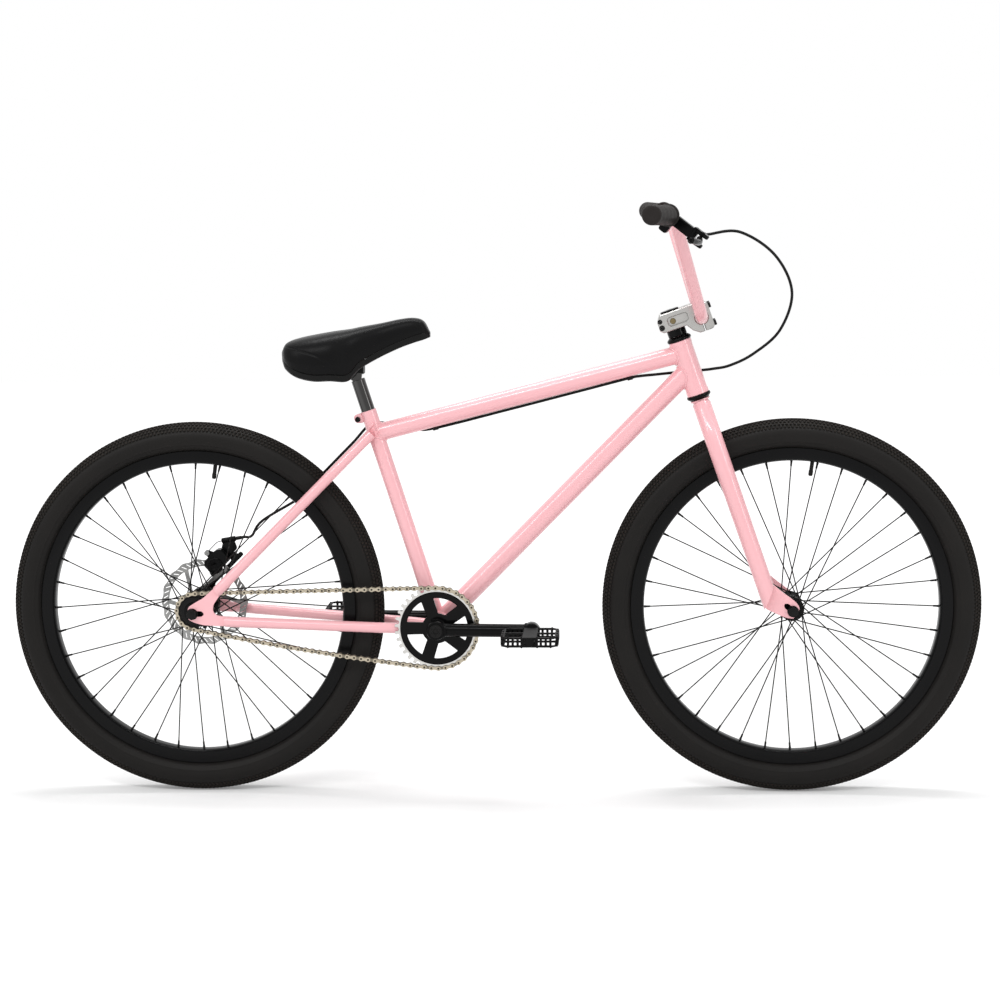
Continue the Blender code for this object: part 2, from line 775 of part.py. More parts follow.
def make_rim(name, axle):
    """A double wall rim: flanges for the tyre's beads, a shallow V towards the hub and a hollow chamber."""
    half = RIM_WIDTH / 2
    flange = BEAD_SEAT_RADIUS + RIM_FLANGE_HEIGHT
    shoulder = RIM_INNER_RADIUS + RIM_V_DEPTH
    bed = half - RIM_WALL
    profile = [(flange, -half), (shoulder, -half), (RIM_INNER_RADIUS, -half / 2)]
    profile += [(RIM_INNER_RADIUS, half / 2), (shoulder, half), (flange, half)]
    profile += [(flange, bed), (BEAD_SEAT_RADIUS, bed), (BEAD_SEAT_RADIUS, -bed), (flange, -bed)]
    piece = turned(name, profile, axle, Y, "black_aluminium", WHEEL_STEPS, closed=True)
    steps = WHEEL_STEPS // 2
    chamber_top = BEAD_SEAT_RADIUS - RIM_WALL
    chamber_foot = (shoulder + RIM_WALL / 2) / math.cos(math.pi / steps)
    chamber = ring_piece("cut_chamber_" + name, axle, Y, chamber_top, chamber_foot, -bed, bed, None, steps)
    hole_start = axle + (RIM_INNER_RADIUS - RIM_WALL) * valve_direction()
    hole_end = axle + (BEAD_SEAT_RADIUS + RIM_WALL) * valve_direction()
    hole = rod("cut_valve_" + name, hole_start, hole_end, VALVE_DIAMETER + 2 * RUNNING_GAP, None, 8)
    return cut(piece, chamber, hole)


def make_spokes(name, axle, side, flange_middle, flange_radius):
    """The spokes of one side. Half lean each way, and they touch where they cross."""
    sweep = 2 * math.pi * SPOKE_CROSSINGS / SPOKES_PER_SIDE
    hole_radius = flange_radius - SPOKE_HOLE_INSET
    rim_end = RIM_INNER_RADIUS * math.cos(math.pi / WHEEL_STEPS) - GAP
    at_flange = flange_middle + side * (FLANGE_THICKNESS / 2 + SPOKE_DIAMETER + GAP)
    at_rim = side * SPOKE_RIM_OFFSET
    half_turn = math.pi / SPOKES_PER_SIDE if side > 0 else 0
    families = []
    for family, direction in enumerate((1, -1)):
        bm = bmesh.new()
        lift = direction * SPOKE_DIAMETER / 8
        for index in range(family, SPOKES_PER_SIDE, 2):
            at_hub = 2 * math.pi * index / SPOKES_PER_SIDE + half_turn
            at_edge = at_hub + direction * sweep
            start = polar(axle, hole_radius, at_hub, at_flange + lift)
            end = polar(axle, rim_end, at_edge, at_rim + lift)
            add_sweep(bm, [start, end], [SPOKE_DIAMETER / 2] * 2, SPOKE_SIDES)
        families.append(mesh_object(name if direction > 0 else "fill_" + name, bm, "black_metal"))
    return join(families[0], families[1])


def make_hub(name, axle, flanges, flange_radius, right_end, left_end):
    """A hub shell around its axle. Each end is its outline from the tip inwards to the flange."""
    right, left = flanges
    half = FLANGE_THICKNESS / 2
    bore = AXLE_DIAMETER / 2 + RUNNING_GAP
    profile = [(bore, right_end[0][1]), *right_end, (right_end[-1][0], right - half)]
    profile += [(flange_radius, right - half), (flange_radius, right + half)]
    profile += [(HUB_BARREL_RADIUS, right + half), (HUB_BARREL_RADIUS, left - half)]
    profile += [(flange_radius, left - half), (flange_radius, left + half)]
    profile += [(left_end[-1][0], left + half), *reversed(left_end), (bore, left_end[0][1])]
    return turned(name, profile, axle, Y, "black_aluminium", HUB_STEPS, closed=True)


def make_axle(name, centre, plate_inside, plate_thickness, shell_ends):
    """A solid axle with the cones that carry the hub, and its nuts outside the dropouts."""
    radius = AXLE_DIAMETER / 2
    nut_start = plate_inside + plate_thickness + GAP
    nut_end = nut_start + AXLE_NUT_HEIGHT
    side = [(radius, nut_end + AXLE_STICK_OUT), (radius, nut_end), (AXLE_NUT_RADIUS, nut_end)]
    side += [(AXLE_NUT_RADIUS, nut_start), (radius, nut_start)]
    side += [(radius, plate_inside - GAP), (CONE_RADIUS, plate_inside - GAP)]
    right_shell, left_shell = shell_ends
    profile = [(0, -nut_end - AXLE_STICK_OUT)]
    profile += [(size, -along) for size, along in side]
    profile += [(CONE_RADIUS, right_shell - GAP), (radius, right_shell - GAP)]
    profile += [(radius, left_shell + GAP), (CONE_RADIUS, left_shell + GAP)]
    profile += list(reversed(side))
    profile += [(0, nut_end + AXLE_STICK_OUT)]
    return turned(name, profile, centre, Y, "black_metal", AXLE_STEPS)


def make_wheel(word, axle, empty, flanges, flange_radius):
    """What both wheels share: tyre, inner tube, rim and two sides of spokes."""
    attach(make_tyre(word + "_tyre", axle), empty)
    attach(make_inner_tube(word + "_inner_tube", axle), empty)
    attach(make_rim(word + "_rim", axle), empty)
    for side_word, side, flange in (("right", -1, flanges[0]), ("left", 1, flanges[1])):
        attach(make_spokes(f"{word}_spokes_{side_word}", axle, side, flange, flange_radius), empty)


def make_front_wheel(wheel_empty, steering_empty):
    flanges = (-FRONT_FLANGE_SPREAD, FRONT_FLANGE_SPREAD)
    shell = FRONT_HUB_WIDTH / 2 - CONE_LENGTH
    make_wheel("front", FRONT_AXLE, wheel_empty, flanges, FRONT_FLANGE_RADIUS)
    ends = ([(HUB_END_RADIUS, -shell)], [(HUB_END_RADIUS, shell)])
    attach(make_hub("front_hub", FRONT_AXLE, flanges, FRONT_FLANGE_RADIUS, *ends), wheel_empty)
    inside = FRONT_HUB_WIDTH / 2
    axle = make_axle("front_axle", FRONT_AXLE, inside, FORK_PLATE_THICKNESS, (-shell, shell))
    attach(axle, steering_empty)


def make_rear_wheel(wheel_empty):
    flanges = (-REAR_RIGHT_FLANGE, REAR_LEFT_FLANGE)
    shell = REAR_HUB_WIDTH / 2 - CONE_LENGTH
    rotor_face = ROTOR_PLANE - ROTOR_THICKNESS / 2 - GAP
    spigot_end = ROTOR_PLANE + ROTOR_THICKNESS / 2 + GAP
    make_wheel("rear", REAR_AXLE, wheel_empty, flanges, REAR_FLANGE_RADIUS)
    right_end = [(FREEWHEEL_SEAT_RADIUS, -shell)]
    left_end = [(HUB_END_RADIUS, shell), (HUB_END_RADIUS, spigot_end), (ROTOR_SPIGOT_RADIUS, spigot_end)]
    left_end += [(ROTOR_SPIGOT_RADIUS, rotor_face), (ROTOR_BOSS_RADIUS, rotor_face)]
    left_end += [(ROTOR_BOSS_RADIUS, rotor_face - ROTOR_BOSS_LENGTH)]
    left_end += [(HUB_BARREL_RADIUS, rotor_face - ROTOR_BOSS_LENGTH)]
    hub = make_hub("rear_hub", REAR_AXLE, flanges, REAR_FLANGE_RADIUS, right_end, left_end)
    attach(hub, wheel_empty)
    attach(make_rotor(), wheel_empty)
    make_axle("rear_axle", REAR_AXLE, REAR_HUB_WIDTH / 2, DROPOUT_THICKNESS, (-shell, shell))


def make_rotor():
    """The brake rotor: a braking ring on six leaning arms, and a hub ring on the hub's spigot."""
    ring_inside = ROTOR_RADIUS - ROTOR_RING_WIDTH
    windows = []
    for arm in range(ROTOR_ARMS):
        start = 360 / ROTOR_ARMS * arm
        outside = arc(REAR_AXLE, ring_inside, start + 4, start + 52, 3)
        inside = arc(REAR_AXLE, ROTOR_HUB_RADIUS, start + 76, start + 44, 2)
        windows.append(outside + inside)
    outline = arc(REAR_AXLE, ROTOR_RADIUS, 0, 348, 29)
    bore_radius = ROTOR_SPIGOT_RADIUS / math.cos(math.pi / HUB_STEPS) + GAP
    bore = arc(REAR_AXLE, bore_radius, 0, 360 - 360 / HUB_STEPS, HUB_STEPS - 1)
    return flat_piece("brake_rotor", outline, [*windows, bore], ROTOR_PLANE, ROTOR_THICKNESS, "steel")


# Frame


def around(name, start, end, diameter):
    """A cutter that mitres a tube where it meets another tube of this diameter."""
    along = (end - start).normalized()
    radius = (diameter / 2 + GAP) / math.cos(math.pi / TUBE_SIDES)
    return rod(name, start - MITRE_REACH * along, end + MITRE_REACH * along, 2 * radius, None, TUBE_SIDES)


def head_tube_cutter(name):
    top = HEAD_TUBE_FROM_AXLE + HEAD_TUBE_LENGTH
    return around(name, on_steerer(HEAD_TUBE_FROM_AXLE), on_steerer(top), HEAD_TUBE_DIAMETER)


def seat_tube_cutter(name):
    return around(name, CRANK_AXIS, on_seat_tube(SEAT_TUBE_LENGTH), SEAT_TUBE_DIAMETER)


def shell_cutter(name):
    half = SHELL_WIDTH / 2 * Y
    return around(name, CRANK_AXIS - half, CRANK_AXIS + half, SHELL_DIAMETER)


def closed_tube(name, path, diameter, wall, material, end_diameter=None, squash=None, plug=PLUG_LENGTH):
    """A tube that is solid for the plug's length at the first point of its path, and open at the last."""
    end_diameter = end_diameter or diameter
    shape = {"sides": TUBE_SIDES, "squash": squash}
    skin = tube(name, path, diameter, material, end_diameter=end_diameter, **shape)
    start = path[0] + plug * (path[1] - path[0]).normalized()
    end = path[-1] + PLUG_LENGTH * (path[-1] - path[-2]).normalized()
    sizes = (diameter - 2 * wall, end_diameter - 2 * wall)
    bore = tube("cut_bore_" + name, [start, *path[1:-1], end], sizes[0], end_diameter=sizes[1], **shape)
    return cut(skin, bore)


def make_head_tube():
    ends = (HEAD_TUBE_FROM_AXLE, HEAD_TUBE_FROM_AXLE + HEAD_TUBE_LENGTH)
    radii = (HEAD_TUBE_DIAMETER / 2, HEAD_TUBE_BORE / 2)
    return ring_piece("head_tube", STEERER_FOOT, UP_STEERER, *radii, *ends, "pink", ROUND_SIDES)


def make_top_tube():
    front = on_steerer(HEAD_TUBE_FROM_AXLE + TOP_TUBE_ON_HEAD)
    back = on_seat_tube(TOP_TUBE_ON_SEAT, ahead=SEAT_TUBE_DIAMETER / 4)
    piece = tube("top_tube", [front, back], TOP_TUBE_DIAMETER, "pink", ROUND_SIDES, TUBE_WALL)
    return cut(piece, head_tube_cutter("cut_head_top_tube"), seat_tube_cutter("cut_seat_top_tube"))


def make_down_tube():
    front = on_steerer(HEAD_TUBE_FROM_AXLE + DOWN_TUBE_ON_HEAD)
    piece = tube("down_tube", [front, CRANK_AXIS], DOWN_TUBE_DIAMETER, "pink", ROUND_SIDES, TUBE_WALL)
    cutters = (head_tube_cutter("cut_head_down_tube"), seat_tube_cutter("cut_seat_down_tube"))
    return cut(piece, *cutters, shell_cutter("cut_shell_down_tube"))


def make_seat_tube():
    """The seat tube with two ears at its top, a slot between them and a hole for the clamp bolt."""
    top = SEAT_TUBE_LENGTH
    above = top + MITRE_REACH
    radii = (SEAT_TUBE_DIAMETER / 2, SEAT_TUBE_DIAMETER / 2 - SEAT_TUBE_WALL)
    piece = ring_piece("seat_tube", CRANK_AXIS, UP_SEAT_TUBE, *radii, 0, top, "pink", SEAT_TUBE_STEPS)
    low = top - CLAMP_EAR_HEIGHT
    high = top - RUNNING_GAP
    root = -SEAT_TUBE_DIAMETER / 3
    tip = -CLAMP_BOLT_BEHIND - CLAMP_EAR_HEIGHT / 3
    ear = [on_seat_tube(*corner) for corner in ((low, root), (high, root), (high, tip), (low, tip))]
    ears = plate("fill_ears", ear, 0, CLAMP_EAR_SPREAD)
    core_ends = (on_seat_tube(low - MITRE_REACH), on_seat_tube(above))
    cut(ears, rod("cut_ears", *core_ends, sum(radii), None, SEAT_TUBE_STEPS))
    foot = top - CLAMP_SLOT_DEPTH
    slot_corners = ((foot, 0), (above, 0), (above, 2 * tip), (foot, 2 * tip))
    slot = plate("cut_slot", [on_seat_tube(*corner) for corner in slot_corners], 0, CLAMP_SLOT)
    centre = on_seat_tube(top - CLAMP_EAR_HEIGHT / 2, -CLAMP_BOLT_BEHIND)
    reach = CLAMP_EAR_SPREAD * Y
    hole = rod("cut_bolt_hole", centre - reach, centre + reach, CLAMP_BOLT_DIAMETER + 2 * GAP, None, 10)
    join(piece, ears)
    return cut(piece, slot, hole, shell_cutter("cut_shell_seat_tube"))


def make_seat_clamp_bolt():
    """A socket head bolt across the ears, with its nut on the left."""
    head = CLAMP_BOLT_DIAMETER * 0.9
    radius = CLAMP_BOLT_DIAMETER / 2 - GAP
    face = CLAMP_EAR_SPREAD / 2 + GAP
    tip = face + CLAMP_BOLT_DIAMETER
    profile = [(0, -tip), (head, -tip), (head, -face), (radius, -face)]
    profile += [(radius, face), (head, face), (head, tip), (0, tip)]
    centre = on_seat_tube(SEAT_TUBE_LENGTH - CLAMP_EAR_HEIGHT / 2, -CLAMP_BOLT_BEHIND)
    return turned("seat_clamp_bolt", profile, centre, Y, "black_metal", 10)


def make_bottom_bracket():
    """The shell with a sealed bearing in each end. Each bearing has a flange outside the shell."""
    half = SHELL_WIDTH / 2
    shell = (SHELL_DIAMETER / 2, SHELL_BORE / 2)
    ring_piece("bottom_bracket_shell", CRANK_AXIS, Y, *shell, -half, half, "pink", ROUND_SIDES)
    seat = SHELL_BORE / 2 * math.cos(math.pi / ROUND_SIDES) - GAP
    bore = SPINDLE_DIAMETER / 2 + RUNNING_GAP
    face = half + GAP
    inside = half - BEARING_DEPTH
    for word, side in (("right", -1), ("left", 1)):
        profile = [(bore, face + BEARING_FLANGE), (SHELL_DIAMETER / 2, face + BEARING_FLANGE)]
        profile += [(SHELL_DIAMETER / 2, face), (seat, face), (seat, inside), (bore, inside)]
        name = word + "_bb_bearing"
        turned(name, profile, CRANK_AXIS, side * Y, "black_metal", HUB_STEPS, closed=True)


def rear_plate_outline():
    """A dropout with two arms and a slot that opens to the rear, as distances from the axle."""
    slot = AXLE_DIAMETER / 2 + GAP
    outline = [(-0.009, slot), (0.017, slot), (0.0215, 0), (0.017, -slot), (-0.009, -slot)]
    outline += [(-0.006, -0.011), (0.004, -0.016), (0.020, -0.0205)]
    outline += [(DROPOUT_LOWER_ARM, -0.0225), (DROPOUT_LOWER_ARM, -0.0055)]
    outline += [(0.044, -0.003), (0.037, 0.004), (0.038, 0.016)]
    arm = DROPOUT_UPPER_ARM
    half = DROPOUT_ARM_HALF_WIDTH
    outline.append((arm + half, arm - SEATSTAY_BELOW_AXLE - half))
    outline.append((arm - half, arm - SEATSTAY_BELOW_AXLE + half))
    outline += [(0.020, 0.0284), (0.005, 0.020), (-0.006, 0.013)]
    return [side_point(REAR_AXLE, *corner) for corner in outline]


def make_chainstay(word, side):
    """A stay that curves round the tyre and the chainring, with the dropout plate at its rear end."""
    places = [(REAR_AXLE.x + ahead, out) for ahead, out in CHAINSTAY_BESIDE_WHEEL]
    places += [(CRANK_AXIS.x - behind, out) for behind, out in CHAINSTAY_BESIDE_CRANK]
    start = (places[0][0], REAR_AXLE.z - CHAINSTAY_BELOW_AXLE)
    end = (places[-1][0], CRANK_AXIS.z - CHAINSTAY_BELOW_CRANK)
    path = []
    for place, out in places:
        share = (place - start[0]) / (end[0] - start[0])
        path.append(Vector((place, side * out, start[1] + share * (end[1] - start[1]))))
    squash = [1.0, 1.0, 1.0, CHAINSTAY_SQUASH, CHAINSTAY_SQUASH, 1.0]
    stay = closed_tube(word + "_chainstay", path, STAY_DIAMETER, STAY_WALL, "pink", squash=squash)
    middle = side * (REAR_HUB_WIDTH / 2 + DROPOUT_THICKNESS / 2)
    join(stay, plate(f"fill_{word}_dropout", rear_plate_outline(), middle, DROPOUT_THICKNESS))
    return cut(stay, shell_cutter(f"cut_shell_{word}_chainstay"))


def seatstay_line():
    """Where the seatstays' shared line starts in the side view, and where it meets the seat tube."""
    return REAR_AXLE - SEATSTAY_BELOW_AXLE * Z, on_seat_tube(SEATSTAY_ON_SEAT)


def on_seatstay(share, out):
    foot, top = seatstay_line()
    return foot + share * (top - foot) + out * Y


def make_seatstay(word, side):
    """A stay from the dropout's upper arm to the side of the seat tube, under the top tube."""
    name = word + "_seatstay"
    foot, top = seatstay_line()
    start = math.hypot(DROPOUT_UPPER_ARM, DROPOUT_UPPER_ARM) + GAP
    out = side * (REAR_HUB_WIDTH + DROPOUT_THICKNESS) / 2
    path = [on_seatstay(along / (top - foot).length, out) for along in (start, start + 2 * PLUG_LENGTH)]
    path += [on_seatstay(share, side * out) for share, out in SEATSTAY_PATH]
    stay = closed_tube(name, path, STAY_DIAMETER, STAY_WALL, "pink")
    front = on_steerer(HEAD_TUBE_FROM_AXLE + TOP_TUBE_ON_HEAD)
    back = on_seat_tube(TOP_TUBE_ON_SEAT)
    top_tube = around(f"cut_top_tube_{name}", front, back, TOP_TUBE_DIAMETER)
    return cut(stay, seat_tube_cutter(f"cut_seat_{name}"), top_tube)


# Headset and fork


def make_headset():
    """Two cups pressed into the head tube, and the spacer under the stem."""
    bottom = HEAD_TUBE_FROM_AXLE
    top = bottom + HEAD_TUBE_LENGTH
    lip = CUP_DIAMETER / 2
    seat = HEAD_TUBE_BORE / 2 * math.cos(math.pi / ROUND_SIDES) - GAP
    bore = STEERER_DIAMETER / 2 + RUNNING_GAP
    for name, face, away in (("lower_headset_cup", bottom, -1), ("upper_headset_cup", top, 1)):
        profile = [(lip, GAP), (lip, CUP_HEIGHT), (bore, CUP_HEIGHT), (bore, -CUP_INSERT)]
        profile += [(seat, -CUP_INSERT), (seat, GAP)]
        shape = (profile, on_steerer(face), away * UP_STEERER)
        turned(name, *shape, "black_aluminium", ROUND_SIDES, closed=True)


def make_headset_spacer(empty):
    start = HEAD_TUBE_FROM_AXLE + HEAD_TUBE_LENGTH + CUP_HEIGHT + GAP
    radii = (SPACER_DIAMETER / 2, STEERER_DIAMETER / 2 + RUNNING_GAP)
    ends = (start, start + SPACER_HEIGHT - 2 * GAP)
    line = (STEERER_FOOT, UP_STEERER)
    piece = ring_piece("headset_spacer", *line, *radii, *ends, "black_aluminium", ROUND_SIDES)
    return attach(piece, empty)


def make_fork_steerer(empty):
    """The steerer tube with the crown race that the lower bearing sits on."""
    radius = STEERER_DIAMETER / 2
    bore = radius - STEERER_WALL
    race_top = HEAD_TUBE_FROM_AXLE - CUP_HEIGHT - GAP
    race_foot = race_top - RACE_HEIGHT
    profile = [(radius, FORK_CROWN_BOTTOM), (radius, race_foot), (RACE_RADIUS, race_foot)]
    profile += [(RACE_RADIUS, race_top), (radius, race_top), (radius, STEM_TOP - STEERER_BELOW_STEM_TOP)]
    profile += [(bore, STEM_TOP - STEERER_BELOW_STEM_TOP), (bore, FORK_CROWN_BOTTOM)]
    piece = turned("fork_steerer", profile, STEERER_FOOT, UP_STEERER, "pink", TUBE_SIDES, closed=True)
    return attach(piece, empty)


def fork_plate_outline():
    """A dropout whose slot opens downwards and forwards, as distances from the front axle."""
    slot = AXLE_DIAMETER / 2 + GAP
    along = Vector((math.cos(FORK_SLOT_ANGLE), 0, -math.sin(FORK_SLOT_ANGLE)))
    up = Vector((math.sin(FORK_SLOT_ANGLE), 0, math.cos(FORK_SLOT_ANGLE)))
    corners = [(-0.040, 0.046), (-0.0345, 0.0475), (-0.0202, 0.0357), (0.0054, 0.0164), (0.012, 0.0065)]
    outline = [side_point(FRONT_AXLE, *corner) for corner in corners]
    outline += [FRONT_AXLE + 0.0085 * along + slot * up, FRONT_AXLE - 0.0155 * along + slot * up]
    outline += [FRONT_AXLE - 0.0205 * along, FRONT_AXLE - 0.0155 * along - slot * up]
    outline += [FRONT_AXLE + 0.0075 * along - slot * up]
    lower = ((0.0015, -0.0134), (-0.0085, -0.0125), (-0.0202, -0.0086), (-0.048, 0.0045), (-0.048, 0.016))
    return outline + [side_point(FRONT_AXLE, *corner) for corner in lower]


def make_fork_leg(word, side, empty):
    """A tapered leg that curves out from the steerer. Its slanting foot holds the dropout plate."""
    name = word + "_fork_leg"
    path = [on_steerer(LEG_FOOT_HEIGHT, 0, side * LEG_SPREAD)]
    path += [on_steerer(FORK_CROWN_BOTTOM + up, 0, side * out) for up, out in reversed(FORK_SHOULDER)]
    sizes = {"diameter": LEG_DIAMETER_BOTTOM, "end_diameter": LEG_DIAMETER_TOP, "wall": LEG_WALL}
    leg = closed_tube(name, path, material="pink", plug=LEG_PLUG_LENGTH, **sizes)
    (low, behind), (high, ahead) = LEG_FOOT_CUT
    slope = (high - low) / (ahead - behind)
    reach = 2 * LEG_DIAMETER_TOP
    corners = [(low - reach * slope, behind - reach), (high + reach * slope, ahead + reach)]
    corners += [(low - reach * slope - reach, ahead + reach)]
    points = [on_steerer(*corner) for corner in corners]
    foot = plate("cut_foot_" + name, points, side * LEG_SPREAD, reach)
    middle = side * (FRONT_HUB_WIDTH / 2 + FORK_PLATE_THICKNESS / 2)
    dropout = plate("fill_" + name, fork_plate_outline(), middle, FORK_PLATE_THICKNESS)
    steerer = (on_steerer(FORK_CROWN_BOTTOM), on_steerer(STEM_TOP))
    crown = around("cut_steerer_" + name, *steerer, STEERER_DIAMETER)
    centre = on_steerer(FORK_CROWN_BOTTOM + FORK_SHOULDER[0][0], 0, side * (GAP - reach) / 2)
    other_half = block("cut_half_" + name, centre, [reach] * 3)
    cut(leg, foot)
    join(leg, dropout)
    return attach(cut(leg, crown, other_half), empty)


# Drive


def sprocket_root(teeth):
    """The radius between a sprocket's teeth, just clear of the chain."""
    return pitch_radius(teeth) * math.cos(math.pi / teeth) - CHAIN_PLATE_HEIGHT / 2 - GAP


def toothed_outline(centre, teeth, first_angle):
    """The outline of a sprocket. Each tooth stands between two rollers and tapers to a point."""
    root = sprocket_root(teeth)
    tip = pitch_radius(teeth) + TOOTH_ABOVE_PITCH
    corners = [(root, -TOOTH_ROOT / 2), (tip, 0), (root, TOOTH_ROOT / 2)]
    outline = []
    for tooth in range(teeth):
        angle = first_angle + 2 * math.pi * tooth / teeth
        outline += [polar(centre, radius, angle + aside / radius) for radius, aside in corners]
    return outline


def chain_path(sag):
    """The closed loop of the chain's pins in the side view, as many points, with the lower run sagging."""
    front_radius = pitch_radius(CHAINRING_TEETH)
    rear_radius = pitch_radius(FREEWHEEL_TEETH)
    across = CRANK_AXIS - REAR_AXLE
    tilt = math.atan2(across.z, across.x)
    lean = math.asin((front_radius - rear_radius) / across.length)
    top = math.pi / 2 + tilt + lean
    bottom = -math.pi / 2 + tilt - lean
    turn = (bottom - top) / PATH_STEPS
    path = [polar(CRANK_AXIS, front_radius, top + turn * step) for step in range(PATH_STEPS)]
    start = polar(CRANK_AXIS, front_radius, bottom)
    end = polar(REAR_AXLE, rear_radius, bottom)
    for step in range(PATH_STEPS):
        share = step / PATH_STEPS
        path.append(start + share * (end - start) - 4 * sag * share * (1 - share) * Z)
    wrap = 2 * math.pi - (top - bottom)
    turn = wrap / PATH_STEPS
    path += [polar(REAR_AXLE, rear_radius, bottom - turn * step) for step in range(PATH_STEPS)]
    start = polar(REAR_AXLE, rear_radius, top)
    along = (path[0] - start) / PATH_STEPS
    path += [start + along * step for step in range(PATH_STEPS + 1)]
    return path


def pins_along(path, count):
    """Pins one pitch apart along the path, and how much of the path is left after the last one."""
    pins = [path[0]]
    index = 1
    while len(pins) <= count and index < len(path):
        if (path[index] - pins[-1]).length < CHAIN_PITCH:
            index += 1
            continue
        near, far = path[index - 1], path[index]
        low, high = 0.0, 1.0
        for _ in range(24):
            middle = (low + high) / 2
            if (near + middle * (far - near) - pins[-1]).length < CHAIN_PITCH:
                low = middle
            else:
                high = middle
        pins.append(near + high * (far - near))
    missing = count + 1 - len(pins)
    rest = [pins[-1], *(path[index:] or path[-1:])]
    left = sum((after - before).length for before, after in zip(rest, rest[1:]))
    return pins[:count], left - missing * CHAIN_PITCH


def chain_pins():
    """The pins of the shortest chain that fits. Its slack hangs in the lower run."""
    taut = chain_path(0)
    length = sum((after - before).length for before, after in zip(taut, taut[1:]))
    count = math.ceil(length / CHAIN_PITCH)
    if pins_along(taut, count - 1)[1] < 0:
        count -= 1
    low, high = 0.0, CHAIN_MOST_SAG
    for _ in range(30):
        middle = (low + high) / 2
        if pins_along(chain_path(middle), count)[1] < 0:
            low = middle
        else:
            high = middle
    return pins_along(chain_path(high), count)[0]


def tooth_angle(centre, wrapped):
    """The angle of the tooth that stands between the two middle pins of those on a sprocket."""
    middle = len(wrapped) // 2
    between = wrapped[middle - 1] + wrapped[middle] - 2 * centre
    return math.atan2(between.z, between.x)


def make_chain(pins):
    """The chain as a ladder: two side strips joined by rollers, with a hole for each tooth.

    Where it wraps a sprocket it has a roller at every pin, and in its straight runs at every fourth pin.
    """
    bm = bmesh.new()
    last = len(pins) - 1
    steps = [pin - pins[index - 1] for index, pin in enumerate(pins)]
    bends = [steps[index - last].angle(steps[index]) for index in range(last + 1)]
    near_bend = [max(bends[index - 1], bends[index], bends[index - last]) for index in range(last + 1)]
    kept = [index % CHAIN_STRIDE == 0 or near_bend[index] > CHAIN_STRAIGHT for index in range(last + 1)]
    pins = [pin for pin, stays in zip(pins, kept) if stays]
    half_height = CHAIN_PLATE_HEIGHT / 2
    levels = [-CHAIN_WIDTH / 2, -CHAIN_SLOT / 2, CHAIN_SLOT / 2, CHAIN_WIDTH / 2]
    sections = []
    for index, pin in enumerate(pins):
        ahead = (pins[(index + 1) % len(pins)] - pin).normalized()
        behind = (pin - pins[index - 1]).normalized()
        for direction, sign in ((behind, -1), (ahead, 1)):
            up = Vector((-direction.z, 0, direction.x))
            place = pin + sign * CHAIN_RUNG / 2 * direction - CHAIN_LINE * Y
            section = {}
            for edge in (-1, 1):
                for level, left in enumerate(levels):
                    section[edge, level] = bm.verts.new(place + edge * half_height * up + left * Y)
            sections.append(section)
    for index, section in enumerate(sections):
        following = sections[(index + 1) % len(sections)]
        on_roller = index % 2 == 0
        for level in (0, 3):
            corners = (section[-1, level], section[1, level], following[1, level], following[-1, level])
            bm.faces.new(corners)
        for edge in (-1, 1):
            for level in (0, 1, 2):
                if level == 1 and not on_roller:
                    continue
                corners = (section[edge, level], section[edge, level + 1])
                bm.faces.new((*corners, following[edge, level + 1], following[edge, level]))
        bm.faces.new((section[-1, 1], section[1, 1], section[1, 2], section[-1, 2]))
        if not on_roller:
            for level in (1, 2):
                corners = (section[-1, level], section[1, level], following[1, level], following[-1, level])
                bm.faces.new(corners)
    return mesh_object("chain", bm, "chain_steel")


def make_freewheel(pins, empty):
    """A sprocket that turns on the hub's right end, with the wider body that holds its ratchet."""
    wrapped = [pin for pin in pins if pin.x < REAR_AXLE.x]
    outline = toothed_outline(REAR_AXLE, FREEWHEEL_TEETH, tooth_angle(REAR_AXLE, wrapped))
    root = sprocket_root(FREEWHEEL_TEETH)
    hole = (FREEWHEEL_SEAT_RADIUS + RUNNING_GAP) / math.cos(math.pi / HUB_STEPS)
    bore = arc(REAR_AXLE, hole, 0, 360 - 360 / HUB_STEPS, HUB_STEPS - 1)
    sprocket = flat_piece("freewheel", outline, [bore], -CHAIN_LINE, TOOTH_THICKNESS, "black_metal")
    ends = (-CHAIN_LINE - FREEWHEEL_BODY / 2, -CHAIN_LINE + FREEWHEEL_BODY / 2)
    body = ring_piece("fill_freewheel", REAR_AXLE, Y, root, hole, *ends, None, HUB_STEPS)
    return attach(join(sprocket, body), empty)


